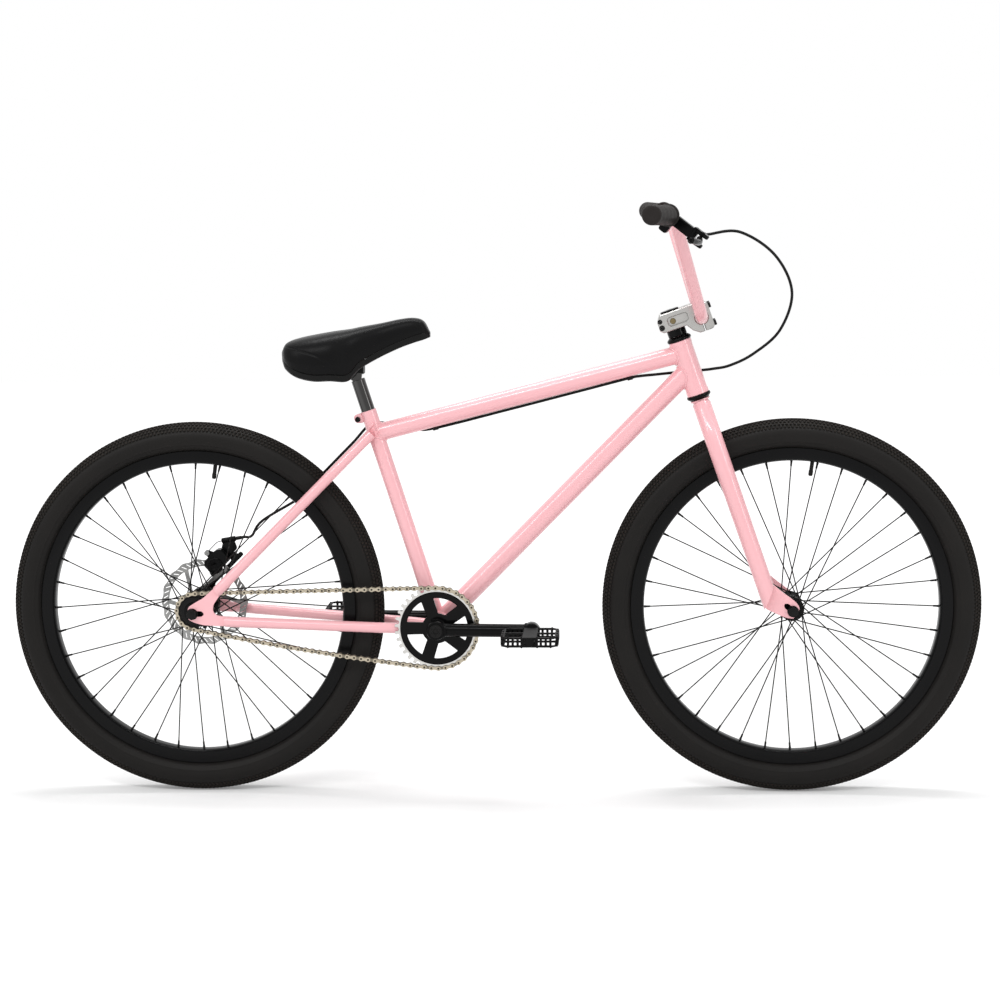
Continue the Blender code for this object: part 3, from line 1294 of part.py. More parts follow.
def make_chainring(pins, empty):
    """A steel toothed ring round a black disc with round cornered windows, on the crank's right boss."""
    wrapped = [pin for pin in pins if pin.x > CRANK_AXIS.x]
    outline = toothed_outline(CRANK_AXIS, CHAINRING_TEETH, tooth_angle(CRANK_AXIS, wrapped))
    hole = SPINDLE_DIAMETER / 2 / math.cos(math.pi / SPINDLE_SIDES) + GAP
    bore = arc(CRANK_AXIS, hole, 0, 360 - 360 / SPINDLE_SIDES, SPINDLE_SIDES - 1)
    inner_edge = arc(CRANK_AXIS, CHAINRING_DISC_RADIUS - TOOTH_THICKNESS, 0, 340, 17)
    ring = flat_piece("chainring", outline, [inner_edge], -CHAIN_LINE, TOOTH_THICKNESS, "black_metal")
    windows = []
    for window in range(CHAINRING_WINDOWS):
        middle = 360 / CHAINRING_WINDOWS * window
        outside = arc(CRANK_AXIS, WINDOW_OUTSIDE, middle - 23, middle + 23, 3)
        inside = arc(CRANK_AXIS, WINDOW_INSIDE, middle + 14, middle - 14, 1)
        windows.append(outside + inside)
    edge = arc(CRANK_AXIS, CHAINRING_DISC_RADIUS, 0, 340, 17)
    disc = flat_piece("fill_chainring_disc", edge, [*windows, bore], -CHAIN_LINE, CHAINRING_DISC_THICKNESS)
    start = CRANK_BOSS_INSIDE - GAP
    end = CHAIN_LINE
    collar_radii = (CRANK_BOSS_RADIUS, hole)
    collar = ring_piece("fill_chainring_collar", CRANK_AXIS, -Y, *collar_radii, end, start, None, 12)
    return attach(join(ring, disc, collar), empty)


def make_crank_spindle(empty):
    """The spindle with its spacers outside the bearings and a bolt head at each end."""
    radius = SPINDLE_DIAMETER / 2
    spacer_start = SHELL_WIDTH / 2 + 2 * GAP + BEARING_FLANGE
    tip = CRANK_BOSS_INSIDE + CRANK_BOSS_WIDTH
    right_spacer_end = CHAIN_LINE - CHAINRING_DISC_THICKNESS / 2 - GAP
    left_spacer_end = CRANK_BOSS_INSIDE - GAP
    head = BOLT_HEAD_RADIUS
    profile = [(0, -tip - SPINDLE_BOLT), (head, -tip - SPINDLE_BOLT), (head, -tip - GAP)]
    profile += [(radius, -tip - GAP), (radius, -right_spacer_end)]
    profile += [(SPACER_RADIUS, -right_spacer_end), (SPACER_RADIUS, -spacer_start), (radius, -spacer_start)]
    profile += [(radius, spacer_start), (SPACER_RADIUS, spacer_start), (SPACER_RADIUS, left_spacer_end)]
    profile += [(radius, left_spacer_end), (radius, tip + GAP)]
    profile += [(head, tip + GAP), (head, tip + SPINDLE_BOLT), (0, tip + SPINDLE_BOLT)]
    piece = turned("crank_spindle", profile, CRANK_AXIS, Y, "black_metal", SPINDLE_SIDES)
    return attach(piece, empty)


def pedal_centre(side, forward):
    """A pedal axle's point in the crank's outer face."""
    out = PEDAL_BOSS_INSIDE + CRANK_BOSS_WIDTH
    return CRANK_AXIS + Vector((forward * CRANK_LENGTH, side * out, 0))


def make_crank_arm(word, side, forward, empty):
    """A round steel arm between the spindle's boss and the pedal's boss, which stands further out."""
    name = word + "_crank_arm"
    inner = side * (CRANK_BOSS_INSIDE + CRANK_BOSS_WIDTH / 2)
    outer = side * (PEDAL_BOSS_INSIDE + CRANK_BOSS_WIDTH / 2)
    start = CRANK_AXIS + inner * Y
    end = CRANK_AXIS + Vector((forward * CRANK_LENGTH, outer, 0))
    arm = tube(name, [start, end], CRANK_TUBE_DIAMETER, "black_metal", TUBE_SIDES)
    half = CRANK_BOSS_WIDTH / 2 * Y
    bosses = []
    for boss, place, radius in (("spindle", start, CRANK_BOSS_RADIUS), ("pedal", end, PEDAL_BOSS_RADIUS)):
        bosses.append(rod(f"fill_{boss}_boss_{name}", place - half, place + half, 2 * radius, None, 12))
    join(arm, *bosses)
    holes = []
    for hole, place, diameter, sides in (
        ("spindle", start, SPINDLE_DIAMETER, SPINDLE_SIDES),
        ("pedal", end, PEDAL_AXLE_DIAMETER, AXLE_STEPS),
    ):
        size = diameter / math.cos(math.pi / sides) + 2 * GAP
        holes.append(rod(f"cut_{hole}_{name}", place - 2 * half, place + 2 * half, size, None, sides))
    return attach(cut(arm, *holes), empty)


def make_pedal_axle(word, side, forward, empty):
    """A pedal's axle, screwed into the crank, with the shoulder against the crank and the end cap's nut."""
    radius = PEDAL_AXLE_DIAMETER / 2
    start = -CRANK_BOSS_WIDTH + PEDAL_AXLE_DIAMETER / 4
    shoulder = PEDAL_GAP_FROM_CRANK
    end = shoulder + PEDAL_WIDTH - PEDAL_CAP
    profile = [(0, start), (radius, start), (radius, GAP), (1.5 * radius, GAP)]
    profile += [(1.5 * radius, shoulder - GAP), (radius, shoulder - GAP), (radius, end), (0, end)]
    place = pedal_centre(side, forward)
    return attach(turned(word + "_pedal_axle", profile, place, side * Y, "steel", AXLE_STEPS), empty)


def make_pedal(word, side, forward, empty):
    """A platform: a core round the axle, and a rim joined to it by ribs, with open windows between them."""
    start = PEDAL_GAP_FROM_CRANK
    centre = pedal_centre(side, forward) + side * (start + PEDAL_WIDTH / 2) * Y
    name = word + "_pedal"
    body = block(name, centre, (PEDAL_LENGTH, PEDAL_WIDTH, PEDAL_THICKNESS), "black_plastic")
    core = PEDAL_THICKNESS / 2 + PEDAL_RIM_WIDTH / 4
    length = PEDAL_LENGTH / 2 - core - PEDAL_RIM_WIDTH
    width = (PEDAL_WIDTH - 3 * PEDAL_RIM_WIDTH) / 2
    windows = []
    for row in (-1, 1):
        for column in (-1, 1):
            offset = Vector((row * (core + length / 2), column * (width + PEDAL_RIM_WIDTH) / 2, 0))
            window = f"cut_window_{row}_{column}_{name}"
            windows.append(block(window, centre + offset, (length, width, 2 * PEDAL_THICKNESS)))
    mouth = pedal_centre(side, forward)
    size = 2 * (PEDAL_AXLE_DIAMETER / 2 + RUNNING_GAP) / math.cos(math.pi / AXLE_STEPS)
    depth = start + PEDAL_WIDTH - PEDAL_CAP + RUNNING_GAP
    bore = rod("cut_bore_" + name, mouth, mouth + side * depth * Y, size, None, AXLE_STEPS)
    return attach(cut(body, *windows, bore), empty)


# Stem, handlebar and grips


def stem_plate(name, corners, width, material=None):
    """A block whose side view is given as distances up the steerer and ahead of it."""
    return plate(name, [on_steerer(*corner) for corner in corners], 0, width, material)


def bar_hole(name):
    """The clamp's bore for the handlebar."""
    size = (BAR_DIAMETER / 2 + GAP) / math.cos(math.pi / TUBE_SIDES) * 2
    centre = on_steerer(BAR_CLAMP_HEIGHT, STEM_REACH)
    return rod(name, centre - STEM_WIDTH * Y, centre + STEM_WIDTH * Y, size, None, ROUND_SIDES)


def make_stem(empty):
    """The stem's body with its split rear clamp, its faceplate and the cap on the steerer."""
    clamp = BAR_CLAMP_HEIGHT
    half = STEM_CLAMP_HALF_HEIGHT
    split = STEM_REACH - GAP
    back = STEERER_DIAMETER / 2 + STEM_REAR_WALL
    corners = [(STEM_TOP, split), (STEM_TOP, -back + 0.007), (STEM_TOP - 0.012, -back)]
    corners += [(STEM_BOTTOM + 0.004, -back), (STEM_BOTTOM, -back + 0.005)]
    corners += [(STEM_BOTTOM, STEERER_DIAMETER / 2 + 0.004), (clamp - half + 0.006, split - 0.015)]
    corners += [(clamp - half, split - 0.008), (clamp - half, split)]
    body = stem_plate("stem_body", corners, STEM_WIDTH, "raw_aluminium")
    size = 2 * (STEERER_DIAMETER / 2 + GAP) / math.cos(math.pi / TUBE_SIDES)
    ends = (on_steerer(STEM_BOTTOM - STEM_STACK), on_steerer(STEM_TOP + STEM_STACK))
    steerer = rod("cut_steerer_stem", *ends, size, None, ROUND_SIDES)
    low, high = STEM_BOTTOM - GAP, STEM_TOP + GAP
    slit = stem_plate("cut_stem_slit", [(low, 0), (high, 0), (high, -2 * back), (low, -2 * back)], STEM_SLIT)
    attach(cut(body, steerer, bar_hole("cut_bar_stem_body"), slit), empty)

    start = STEM_REACH + STEM_SLIT / 2
    front = STEM_REACH + FACEPLATE_DEPTH
    corners = [(clamp + half, start), (clamp + half, front - 0.006), (clamp + half - 0.008, front)]
    corners += [(clamp - half + 0.008, front), (clamp - half, front - 0.006), (clamp - half, start)]
    face = stem_plate("stem_faceplate", corners, STEM_WIDTH, "raw_aluminium")
    attach(cut(face, bar_hole("cut_bar_stem_faceplate")), empty)

    bolt = STEERER_DIAMETER / 2 - STEERER_WALL - 2 * GAP
    cap = STEERER_DIAMETER / 2 + STEERER_WALL
    bottom = STEM_TOP + GAP
    profile = [(0, bottom - TOP_CAP_PLUG), (bolt, bottom - TOP_CAP_PLUG), (bolt, bottom), (cap, bottom)]
    profile += [(cap, bottom + TOP_CAP_HEIGHT), (0, bottom + TOP_CAP_HEIGHT)]
    attach(turned("stem_top_cap", profile, STEERER_FOOT, UP_STEERER, "black_aluminium", ROUND_SIDES), empty)


def bar_corners(side):
    """The handlebar's corners on one side: at the clamp, at the top of the rise and at the tip."""
    centre = on_steerer(BAR_CLAMP_HEIGHT, STEM_REACH)
    top = centre + BAR_RISE * UP_BAR + side * BAR_TOP_CORNER * Y
    outwards = Vector((-math.tan(BAR_BACKSWEEP), side, math.tan(BAR_UPSWEEP)))
    return [centre + side * BAR_FLAT * Y, top, top + BAR_STRAIGHT_END * outwards]


def on_grip(side, from_tip):
    """A point on the bar's straight end, by its distance from the tip, and the direction to the tip."""
    top, tip = bar_corners(side)[1:]
    outwards = (tip - top).normalized()
    return tip - from_tip * outwards, outwards


def make_handlebar(empty):
    """A high rise bar bent from one tube, with a crossbar welded between its risers."""
    left, right = bar_corners(1), bar_corners(-1)
    ends = rounded_path([*reversed(right), *left], BAR_BEND_RADIUS, BAR_BEND_STEPS)
    bar = tube("handlebar", ends, BAR_DIAMETER, "pink", TUBE_SIDES, BAR_WALL)
    share = CROSSBAR_HEIGHT / BAR_RISE
    feet = [corners[0] + share * (corners[1] - corners[0]) for corners in (right, left)]
    inset = BAR_DIAMETER / 4 * Y
    crossbar = rod("fill_crossbar", feet[0] + inset, feet[1] - inset, CROSSBAR_DIAMETER, None, TUBE_SIDES)
    return attach(join(bar, crossbar), empty)


def make_grip(word, side, empty):
    """A rubber sleeve over the bar's end, with a closed tip and a thin flange at its inner end."""
    tip, outwards = on_grip(side, 0)
    inside = (BAR_DIAMETER / 2 + GAP) / math.cos(math.pi / TUBE_SIDES)
    outside = GRIP_DIAMETER / 2
    flange = outside + GRIP_FLANGE
    profile = [(0, GRIP_TIP), (outside - GRIP_FLANGE, GRIP_TIP), (outside, 0)]
    profile += [(outside, -GRIP_LENGTH + GRIP_FLANGE), (flange, -GRIP_LENGTH + GRIP_FLANGE)]
    profile += [(flange, -GRIP_LENGTH), (inside, -GRIP_LENGTH), (inside, GAP), (0, GAP)]
    piece = turned(word + "_grip", profile, tip, outwards, "grip_rubber", ROUND_SIDES)
    return attach(piece, empty)


# Brake lever


def lever_frame():
    """The lever's place on the right end of the bar, and its three directions.

    They are outwards along the bar, forwards and down to the blade, and square to both.
    """
    place, outwards = on_grip(-1, GRIP_LENGTH + LEVER_FROM_GRIP + LEVER_CLAMP_WIDTH / 2)
    forwards = Vector((math.cos(LEVER_DROP), 0, -math.sin(LEVER_DROP)))
    forwards = (forwards - forwards.dot(outwards) * outwards).normalized()
    return place, outwards, forwards, outwards.cross(forwards)


def at_lever(out, ahead, over=0.0):
    place, outwards, forwards, square = lever_frame()
    return place + out * outwards + ahead * forwards + over * square


def make_lever_bracket(empty):
    """A clamp round the bar, an arm to the yoke that holds the blade's pin, and the cable's barrel."""
    half = LEVER_CLAMP_WIDTH / 2
    ends = (at_lever(-half, 0), at_lever(half, 0))
    clamp = rod("brake_lever_bracket", *ends, 2 * LEVER_CLAMP_RADIUS, "black_aluminium", TUBE_SIDES)
    yoke_back, yoke_front = LEVER_YOKE[1]
    arm_ends = (at_lever(0, BAR_DIAMETER / 2), at_lever(0, yoke_back + GAP))
    arm = rod("fill_lever_arm", *arm_ends, LEVER_ARM, None, 8)
    yoke = boxed("fill_lever_yoke", at_lever, LEVER_YOKE)
    ear = boxed("fill_lever_ear", at_lever, LEVER_EAR)
    inward, barrel_ahead, barrel_over = LEVER_BARREL
    barrel_start = at_lever(LEVER_YOKE[0][0] + GAP, barrel_ahead, barrel_over)
    barrel_end = at_lever(inward, barrel_ahead, barrel_over)
    barrel = rod("fill_lever_barrel", barrel_start, barrel_end, LEVER_BARREL_DIAMETER, None, 10)
    join(clamp, arm, yoke, ear, barrel)
    hole = (BAR_DIAMETER / 2 + GAP) / math.cos(math.pi / TUBE_SIDES)
    bar = rod("cut_bar_lever", at_lever(-2 * half, 0), at_lever(2 * half, 0), 2 * hole, None, ROUND_SIDES)
    slot = boxed("cut_lever_slot", at_lever, LEVER_SLOT)
    pin = lever_pin("cut_lever_pin", LEVER_PIN + 2 * RUNNING_GAP, yoke_front)
    return attach(cut(clamp, bar, slot, pin), empty)


def lever_pin(name, diameter, half_length):
    """The blade's pin, through both sides of the yoke."""
    ends = (at_lever(0, LEVER_PIVOT_AHEAD, -half_length), at_lever(0, LEVER_PIVOT_AHEAD, half_length))
    return rod(name, *ends, diameter, None, 8)


def make_lever_blade(empty):
    """A curved blade for two fingers, with the pin that it turns on."""
    path = smooth_path([at_lever(out, ahead) for out, ahead in LEVER_BLADE_PATH], 2)
    blade = tube("brake_lever_blade", path, LEVER_BLADE_DIAMETER, "black_aluminium", 8)
    pin = lever_pin("fill_lever_pin", LEVER_PIN, LEVER_YOKE[2][1])
    return attach(join(blade, pin), empty)


# Seatpost and saddle


def on_saddle(ahead, left, up):
    """A point by its distances from the drum that the saddle tilts on."""
    drum = on_seat_tube(SEAT_TUBE_LENGTH + POST_SHOWN + DRUM_ABOVE_POST)
    return drum + Vector((ahead, left, up))


def make_seatpost(empty):
    """The seatpost, open at its foot, with a drum across its top."""
    top = SEAT_TUBE_LENGTH + POST_SHOWN
    foot = SEAT_TUBE_LENGTH - POST_INSERTED
    radius = POST_DIAMETER / 2
    bore = radius - POST_WALL
    profile = [(0, top), (radius, top), (radius, foot), (bore, foot), (bore, top - POST_TOP_WALL)]
    profile += [(0, top - POST_TOP_WALL)]
    post = turned("seatpost", profile, CRANK_AXIS, UP_SEAT_TUBE, "black_aluminium", ROUND_SIDES)
    half = DRUM_HALF_WIDTH
    drum = rod("fill_drum", on_saddle(0, -half, 0), on_saddle(0, half, 0), 2 * DRUM_RADIUS, None, 12)
    return attach(join(post, drum), empty)


def base_top(bottom, top):
    """The height of the saddle base's upper side at a station."""
    return bottom + min(SADDLE_BASE_THICKNESS, SADDLE_BASE_SHARE * (top - bottom))


def make_saddle_base(empty):
    """The saddle's shell: narrower at its underside, with a cradle over the post's drum."""
    sections = []
    for ahead, half, bottom, top in SADDLE_STATIONS:
        upper = base_top(bottom, top)
        middle = (bottom + upper) / 2
        corners = ((0.93, upper), (0.93, middle), (0.84, bottom))
        sides = [(share * half, up) for share, up in corners]
        sides += [(-left, up) for left, up in reversed(sides)]
        sections.append([on_saddle(ahead, left, up) for left, up in sides])
    base = loft("saddle_base", sections, "black_plastic")
    join(base, boxed("fill_cradle", on_saddle, CRADLE))
    notch = boxed("cut_post_notch", on_saddle, POST_NOTCH)
    radius = (DRUM_RADIUS + GAP) / math.cos(math.pi / 12)
    half = DRUM_HALF_WIDTH + GAP
    drum = rod("cut_drum", on_saddle(0, -half, 0), on_saddle(0, half, 0), 2 * radius, None, 12)
    return attach(cut(base, notch, drum), empty)


def make_saddle_cover(empty):
    """The padded cover: a crowned top, full sides and an edge drawn in over the base."""
    sections = []
    for ahead, half, bottom, top in SADDLE_STATIONS:
        foot = base_top(bottom, top) + GAP
        widest = foot + 0.25 * (top - foot)
        section = [on_saddle(ahead, -0.95 * half, foot), on_saddle(ahead, 0.95 * half, foot)]
        for step in range(COVER_STEPS + 1):
            angle = math.pi * step / COVER_STEPS
            left = half * math.copysign(abs(math.cos(angle)) ** 0.55, math.cos(angle))
            up = widest + (top - widest) * math.sin(angle) ** 0.75
            section.append(on_saddle(ahead, left, up))
        sections.append(section)
    cover = loft("saddle_cover", sections, "black_vinyl")
    limits = [(low - GAP, high + GAP) for low, high in CRADLE]
    return attach(cut(cover, boxed("cut_cradle", on_saddle, limits)), empty)


# Brake caliper


def on_caliper(along, across, left=0.0):
    """A point by its distances from the rear axle along the seatstay and square to it."""
    share = math.sqrt(0.5)
    return REAR_AXLE + Vector((share * (along - across), left, share * (along + across)))


def thick_plate(name, outline, depth, material=None):
    """A plate between two depths."""
    return plate(name, outline, sum(depth) / 2, depth[1] - depth[0], material)


def make_caliper_bracket():
    """A bracket on the dropout's inner face, with two ears that hold the caliper."""
    outline = [on_caliper(*corner) for corner in BRACKET_OUTLINE]
    return thick_plate("caliper_bracket", outline, BRACKET_DEPTH, "black_aluminium")


def pad_place(left):
    return on_caliper(*PAD_PLACE, left)


def make_caliper_body():
    """The caliper over the rotor's edge, with a pocket for the moving pad and the cable's anchor."""
    outline = [on_caliper(*corner) for corner in CALIPER_OUTLINE]
    body = thick_plate("caliper_body", outline, CALIPER_DEPTH, "black_aluminium")
    ear_outline = [side_point(REAR_AXLE, *corner) for corner in ANCHOR_EAR]
    ear = thick_plate("fill_anchor_ear", ear_outline, ANCHOR_EAR_DEPTH)
    barrel_ends = [side_point(REAR_AXLE, *corner, ANCHOR_MIDDLE) for corner in ANCHOR_BARREL]
    barrel = rod("fill_anchor_barrel", *barrel_ends, ANCHOR_DIAMETER, None, 10)
    inside = ROTOR_PLANE - ROTOR_THICKNESS / 2 - PAD_RUNNING_GAP
    outside = ROTOR_PLANE + ROTOR_THICKNESS / 2 + PAD_RUNNING_GAP - GAP
    slot_ends = (REAR_AXLE + inside * Y, REAR_AXLE + outside * Y)
    slot = rod("cut_rotor_slot", *slot_ends, 2 * ROTOR_RADIUS + 6 * RUNNING_GAP, None, 2 * WHEEL_STEPS)
    pad_back = outside + PAD_THICKNESS + 4 * GAP
    pocket_ends = (pad_place(inside + GAP), pad_place(pad_back))
    pocket = rod("cut_pad_pocket", *pocket_ends, 2 * PAD_RADIUS + 4 * GAP, None, AXLE_STEPS)
    shaft_ends = (on_caliper(*CALIPER_PIVOT, CALIPER_BORE_FROM), on_caliper(*CALIPER_PIVOT, 2 * ARM_DEPTH[1]))
    shaft = rod("cut_shaft", *shaft_ends, 2 * ARM_SHAFT_RADIUS + 2 * RUNNING_GAP, None, AXLE_STEPS)
    join(body, ear, barrel)
    return cut(body, slot, pocket, shaft)


def make_brake_pad(empty):
    """The moving pad, which the arm pushes towards the rotor."""
    face = ROTOR_PLANE + ROTOR_THICKNESS / 2 + PAD_RUNNING_GAP
    ends = (pad_place(face), pad_place(face + PAD_THICKNESS))
    return attach(rod("brake_pad", *ends, 2 * PAD_RADIUS, "friction_pad", AXLE_STEPS), empty)


def make_caliper_arm(empty):
    """The arm that the cable pulls, on a shaft into the caliper."""
    centre = on_caliper(*CALIPER_PIVOT)
    tip = side_point(REAR_AXLE, *ARM_TIP)
    towards = math.degrees(math.atan2(tip.z - centre.z, tip.x - centre.x))
    lean = math.degrees(math.asin((ARM_BOSS_RADIUS - ARM_TIP_RADIUS) / (tip - centre).length))
    outline = arc(centre, ARM_BOSS_RADIUS, towards + 90 - lean, towards + 270 + lean, 8)
    outline += arc(tip, ARM_TIP_RADIUS, towards - 90 + lean, towards + 90 - lean, 4)
    arm = thick_plate("caliper_arm", outline, ARM_DEPTH, "black_aluminium")
    shaft_ends = (on_caliper(*CALIPER_PIVOT, ARM_SHAFT_FROM), on_caliper(*CALIPER_PIVOT, ARM_DEPTH[1] - GAP))
    shaft = rod("fill_shaft", *shaft_ends, 2 * ARM_SHAFT_RADIUS, None, AXLE_STEPS)
    return attach(join(arm, shaft), empty)


# Brake cable


def even_path(points, spacing):
    """Evenly spaced points of the smooth curve through some points."""
    fine = smooth_path(points, 24)
    lengths = [0.0]
    for before, after in zip(fine, fine[1:]):
        lengths.append(lengths[-1] + (after - before).length)
    count = math.ceil(lengths[-1] / spacing)
    path = [fine[0]]
    place = 1
    for step in range(1, count):
        wanted = lengths[-1] * step / count
        while lengths[place] < wanted:
            place += 1
        share = (wanted - lengths[place - 1]) / (lengths[place] - lengths[place - 1])
        path.append(fine[place - 1].lerp(fine[place], share))
    return [*path, fine[-1]]


def make_cable(name, points):
    """A length of the brake cable's housing."""
    curve = bpy.data.curves.new(name, "CURVE")
    curve.dimensions = "3D"
    curve.bevel_depth = CABLE_DIAMETER / 2
    curve.bevel_resolution = 2
    curve.use_fill_caps = True
    curve.render_resolution_u = 0
    path = even_path(points, CABLE_STEP)
    spline = curve.splines.new("POLY")
    spline.points.add(len(path) - 1)
    for corner, point in zip(spline.points, path):
        corner.co = (*point, 1)
    curve.materials.append(MATERIALS["cable_black"])
    piece = bpy.data.objects.new(name, curve)
    bpy.context.scene.collection.objects.link(piece)
    return piece


def cable_point(from_rear_axle, left, height):
    return Vector((REAR_AXLE.x + from_rear_axle, left, height))


def make_cable_loop(empty):
    """The free part of the cable, from the lever's barrel in front of the bars to the head tube."""
    inward, ahead, over = LEVER_BARREL
    start = [at_lever(inward - GAP, ahead, over), at_lever(inward - 3 * CABLE_STEP, ahead, over)]
    points = start + [cable_point(*point) for point in CABLE_LOOP]
    return attach(make_cable("brake_cable_loop", points), empty)


def make_rear_cable():
    """The fixed part: under the top tube, round the seat tube and along the left seatstay to the caliper."""
    foot, top = seatstay_line()
    along = (top - foot).normalized()
    above = Vector((-along.z, 0, along.x)) * CABLE_FROM_STAY
    path = [cable_point(*point) for point in CABLE_RUN]
    path += [on_seatstay(share, out) + above for share, out in CABLE_ON_STAY]
    path += [cable_point(*point) for point in CABLE_TO_CALIPER]
    far, near = [side_point(REAR_AXLE, *corner, ANCHOR_MIDDLE) for corner in ANCHOR_BARREL]
    out_of_barrel = (near - far).normalized()
    path += [near + (reach + GAP) * out_of_barrel for reach in (2 * CABLE_STEP, CABLE_STEP, 0)]
    return make_cable("rear_brake_cable", path)


clear_scene()
MATERIALS = make_materials()

steering = joint_empty("steering_axis", on_steerer(HEAD_TUBE_FROM_AXLE))
front_wheel = joint_empty("front_wheel_axis", FRONT_AXLE)
rear_wheel = joint_empty("rear_wheel_axis", REAR_AXLE)
freewheel = joint_empty("freewheel_axis", REAR_AXLE)
crank = joint_empty("crank_axis", CRANK_AXIS)
right_pedal = joint_empty("right_pedal_axis", pedal_centre(-1, 1))
left_pedal = joint_empty("left_pedal_axis", pedal_centre(1, -1))
lever = joint_empty("brake_lever_axis", at_lever(0, LEVER_PIVOT_AHEAD))
caliper = joint_empty("caliper_arm_axis", on_caliper(*CALIPER_PIVOT, ARM_DEPTH[0]))
pad = joint_empty("brake_pad_axis", pad_place(ROTOR_PLANE))
post = joint_empty("seatpost_axis", on_seat_tube(SEAT_TUBE_LENGTH))
saddle = joint_empty("saddle_axis", on_saddle(0, 0, 0))

make_head_tube()
make_top_tube()
make_down_tube()
make_seat_tube()
make_seat_clamp_bolt()
make_bottom_bracket()
for word, side in (("right", -1), ("left", 1)):
    make_chainstay(word, side)
    make_seatstay(word, side)
    make_fork_leg(word, side, steering)
    make_grip(word, side, steering)
make_headset()
make_headset_spacer(steering)
make_fork_steerer(steering)
make_stem(steering)
make_handlebar(steering)
make_lever_bracket(steering)
make_lever_blade(lever)

make_front_wheel(front_wheel, steering)
make_rear_wheel(rear_wheel)

pins = chain_pins()
make_chain(pins)
make_freewheel(pins, freewheel)
make_chainring(pins, crank)
make_crank_spindle(crank)
for word, side, forward, pedal in (("right", -1, 1, right_pedal), ("left", 1, -1, left_pedal)):
    make_crank_arm(word, side, forward, crank)
    make_pedal_axle(word, side, forward, crank)
    make_pedal(word, side, forward, pedal)

make_seatpost(post)
make_saddle_base(saddle)
make_saddle_cover(saddle)

make_caliper_bracket()
make_caliper_body()
make_brake_pad(pad)
make_caliper_arm(caliper)
make_cable_loop(steering)
make_rear_cable()
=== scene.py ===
"""The looks of a 26 inch BMX cruiser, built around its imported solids.

Metres. +X is forward, +Y is the rider's left, +Z is up, and the origin is on the ground between the wheels.
"""

import math

import bmesh
import bpy
import numpy as np
from mathutils import Matrix, Vector
from mathutils.geometry import tessellate_polygon


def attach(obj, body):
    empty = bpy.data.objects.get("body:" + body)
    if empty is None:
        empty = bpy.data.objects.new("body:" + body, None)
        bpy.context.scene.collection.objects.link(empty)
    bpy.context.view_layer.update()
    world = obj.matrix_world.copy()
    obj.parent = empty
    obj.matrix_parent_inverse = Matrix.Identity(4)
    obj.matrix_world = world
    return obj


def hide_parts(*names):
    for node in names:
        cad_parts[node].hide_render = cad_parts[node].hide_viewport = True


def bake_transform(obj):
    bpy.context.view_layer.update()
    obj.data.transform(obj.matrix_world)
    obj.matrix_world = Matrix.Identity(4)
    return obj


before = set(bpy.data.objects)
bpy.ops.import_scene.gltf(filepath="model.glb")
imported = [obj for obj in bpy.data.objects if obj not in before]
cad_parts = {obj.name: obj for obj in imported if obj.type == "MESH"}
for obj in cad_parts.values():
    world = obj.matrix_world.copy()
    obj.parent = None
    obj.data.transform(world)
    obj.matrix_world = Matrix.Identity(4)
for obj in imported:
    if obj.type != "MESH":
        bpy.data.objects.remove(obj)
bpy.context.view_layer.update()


# The camera stands at the rider's right, level with the stem and 4 m away, and looks a little down and
# to the rear. Its long lens gives the flat side view of a catalogue picture.

CAMERA_PLACE = (0.2415, -4.0371, 1.0791)
CAMERA_YAW = 0.05612
CAMERA_PITCH = 0.13496
CAMERA_ROLL = -0.01181
CAMERA_LENS = 82.15


def camera_axes(yaw, pitch, roll):
    """The camera's right, up and backward directions, from its turn to the left, its dip and its roll."""
    level = math.cos(pitch)
    ahead = Vector((-math.sin(yaw) * level, math.cos(yaw) * level, -math.sin(pitch)))
    right = ahead.cross(Vector((0, 0, 1))).normalized()
    up = right.cross(ahead)
    tilted = right * math.cos(roll) + up * math.sin(roll)
    return tilted, up * math.cos(roll) - right * math.sin(roll), -ahead


camera = bpy.data.objects.new("camera", bpy.data.cameras.new("camera"))
camera.data.lens = CAMERA_LENS
turn = Matrix(camera_axes(CAMERA_YAW, CAMERA_PITCH, CAMERA_ROLL)).transposed().to_4x4()
camera.matrix_world = Matrix.Translation(CAMERA_PLACE) @ turn
bpy.context.scene.collection.objects.link(camera)
bpy.context.scene.camera = camera


# The studio is a white floor under a white sky, and the camera and the glossy surfaces see both as plain
# white. The floor glows more with its distance from the middle, so that it ends in white and still keeps the
# tyres' soft shadows. Four soft lamps model the tubes.

SKY_LIGHT = 0.60
FLOOR_HALF = 9
FLOOR_COLOUR = (0.80, 0.80, 0.80, 1)
FLOOR_GLOW = (0.17, 0.62)
GLOW_REACH = (1.2, 3.2)
LAMP_TARGET = Vector((0, 0, 0.5))
LAMPS = (
    ("key_lamp", (-0.9, -2.8, 3.3), (2.8, 0.4), 52),
    ("rear_lamp", (-3.3, -2.4, 2.9), (0.5, 2.2), 30),
    ("side_lamp", (2.6, -1.8, 1.9), (0.5, 2.2), 20),
    ("top_lamp", (0.1, 0.5, 3.6), (3.0, 0.7), 74),
)


def with_inputs(node, values):
    """The node, once the inputs that the dictionary names have its values."""
    for name, value in values.items():
        node.inputs[name].default_value = value
    return node


def seen_directly(nodes, links):
    """1 for the rays from the camera, a mirror or a glass, and 0 for the rays that light other surfaces."""
    path = nodes.new("ShaderNodeLightPath")
    seen = path.outputs["Is Camera Ray"]
    for ray in ("Is Glossy Ray", "Is Transmission Ray"):
        larger = nodes.new("ShaderNodeMath")
        larger.operation = "MAXIMUM"
        links.new(seen, larger.inputs[0])
        links.new(path.outputs[ray], larger.inputs[1])
        seen = larger.outputs[0]
    return seen


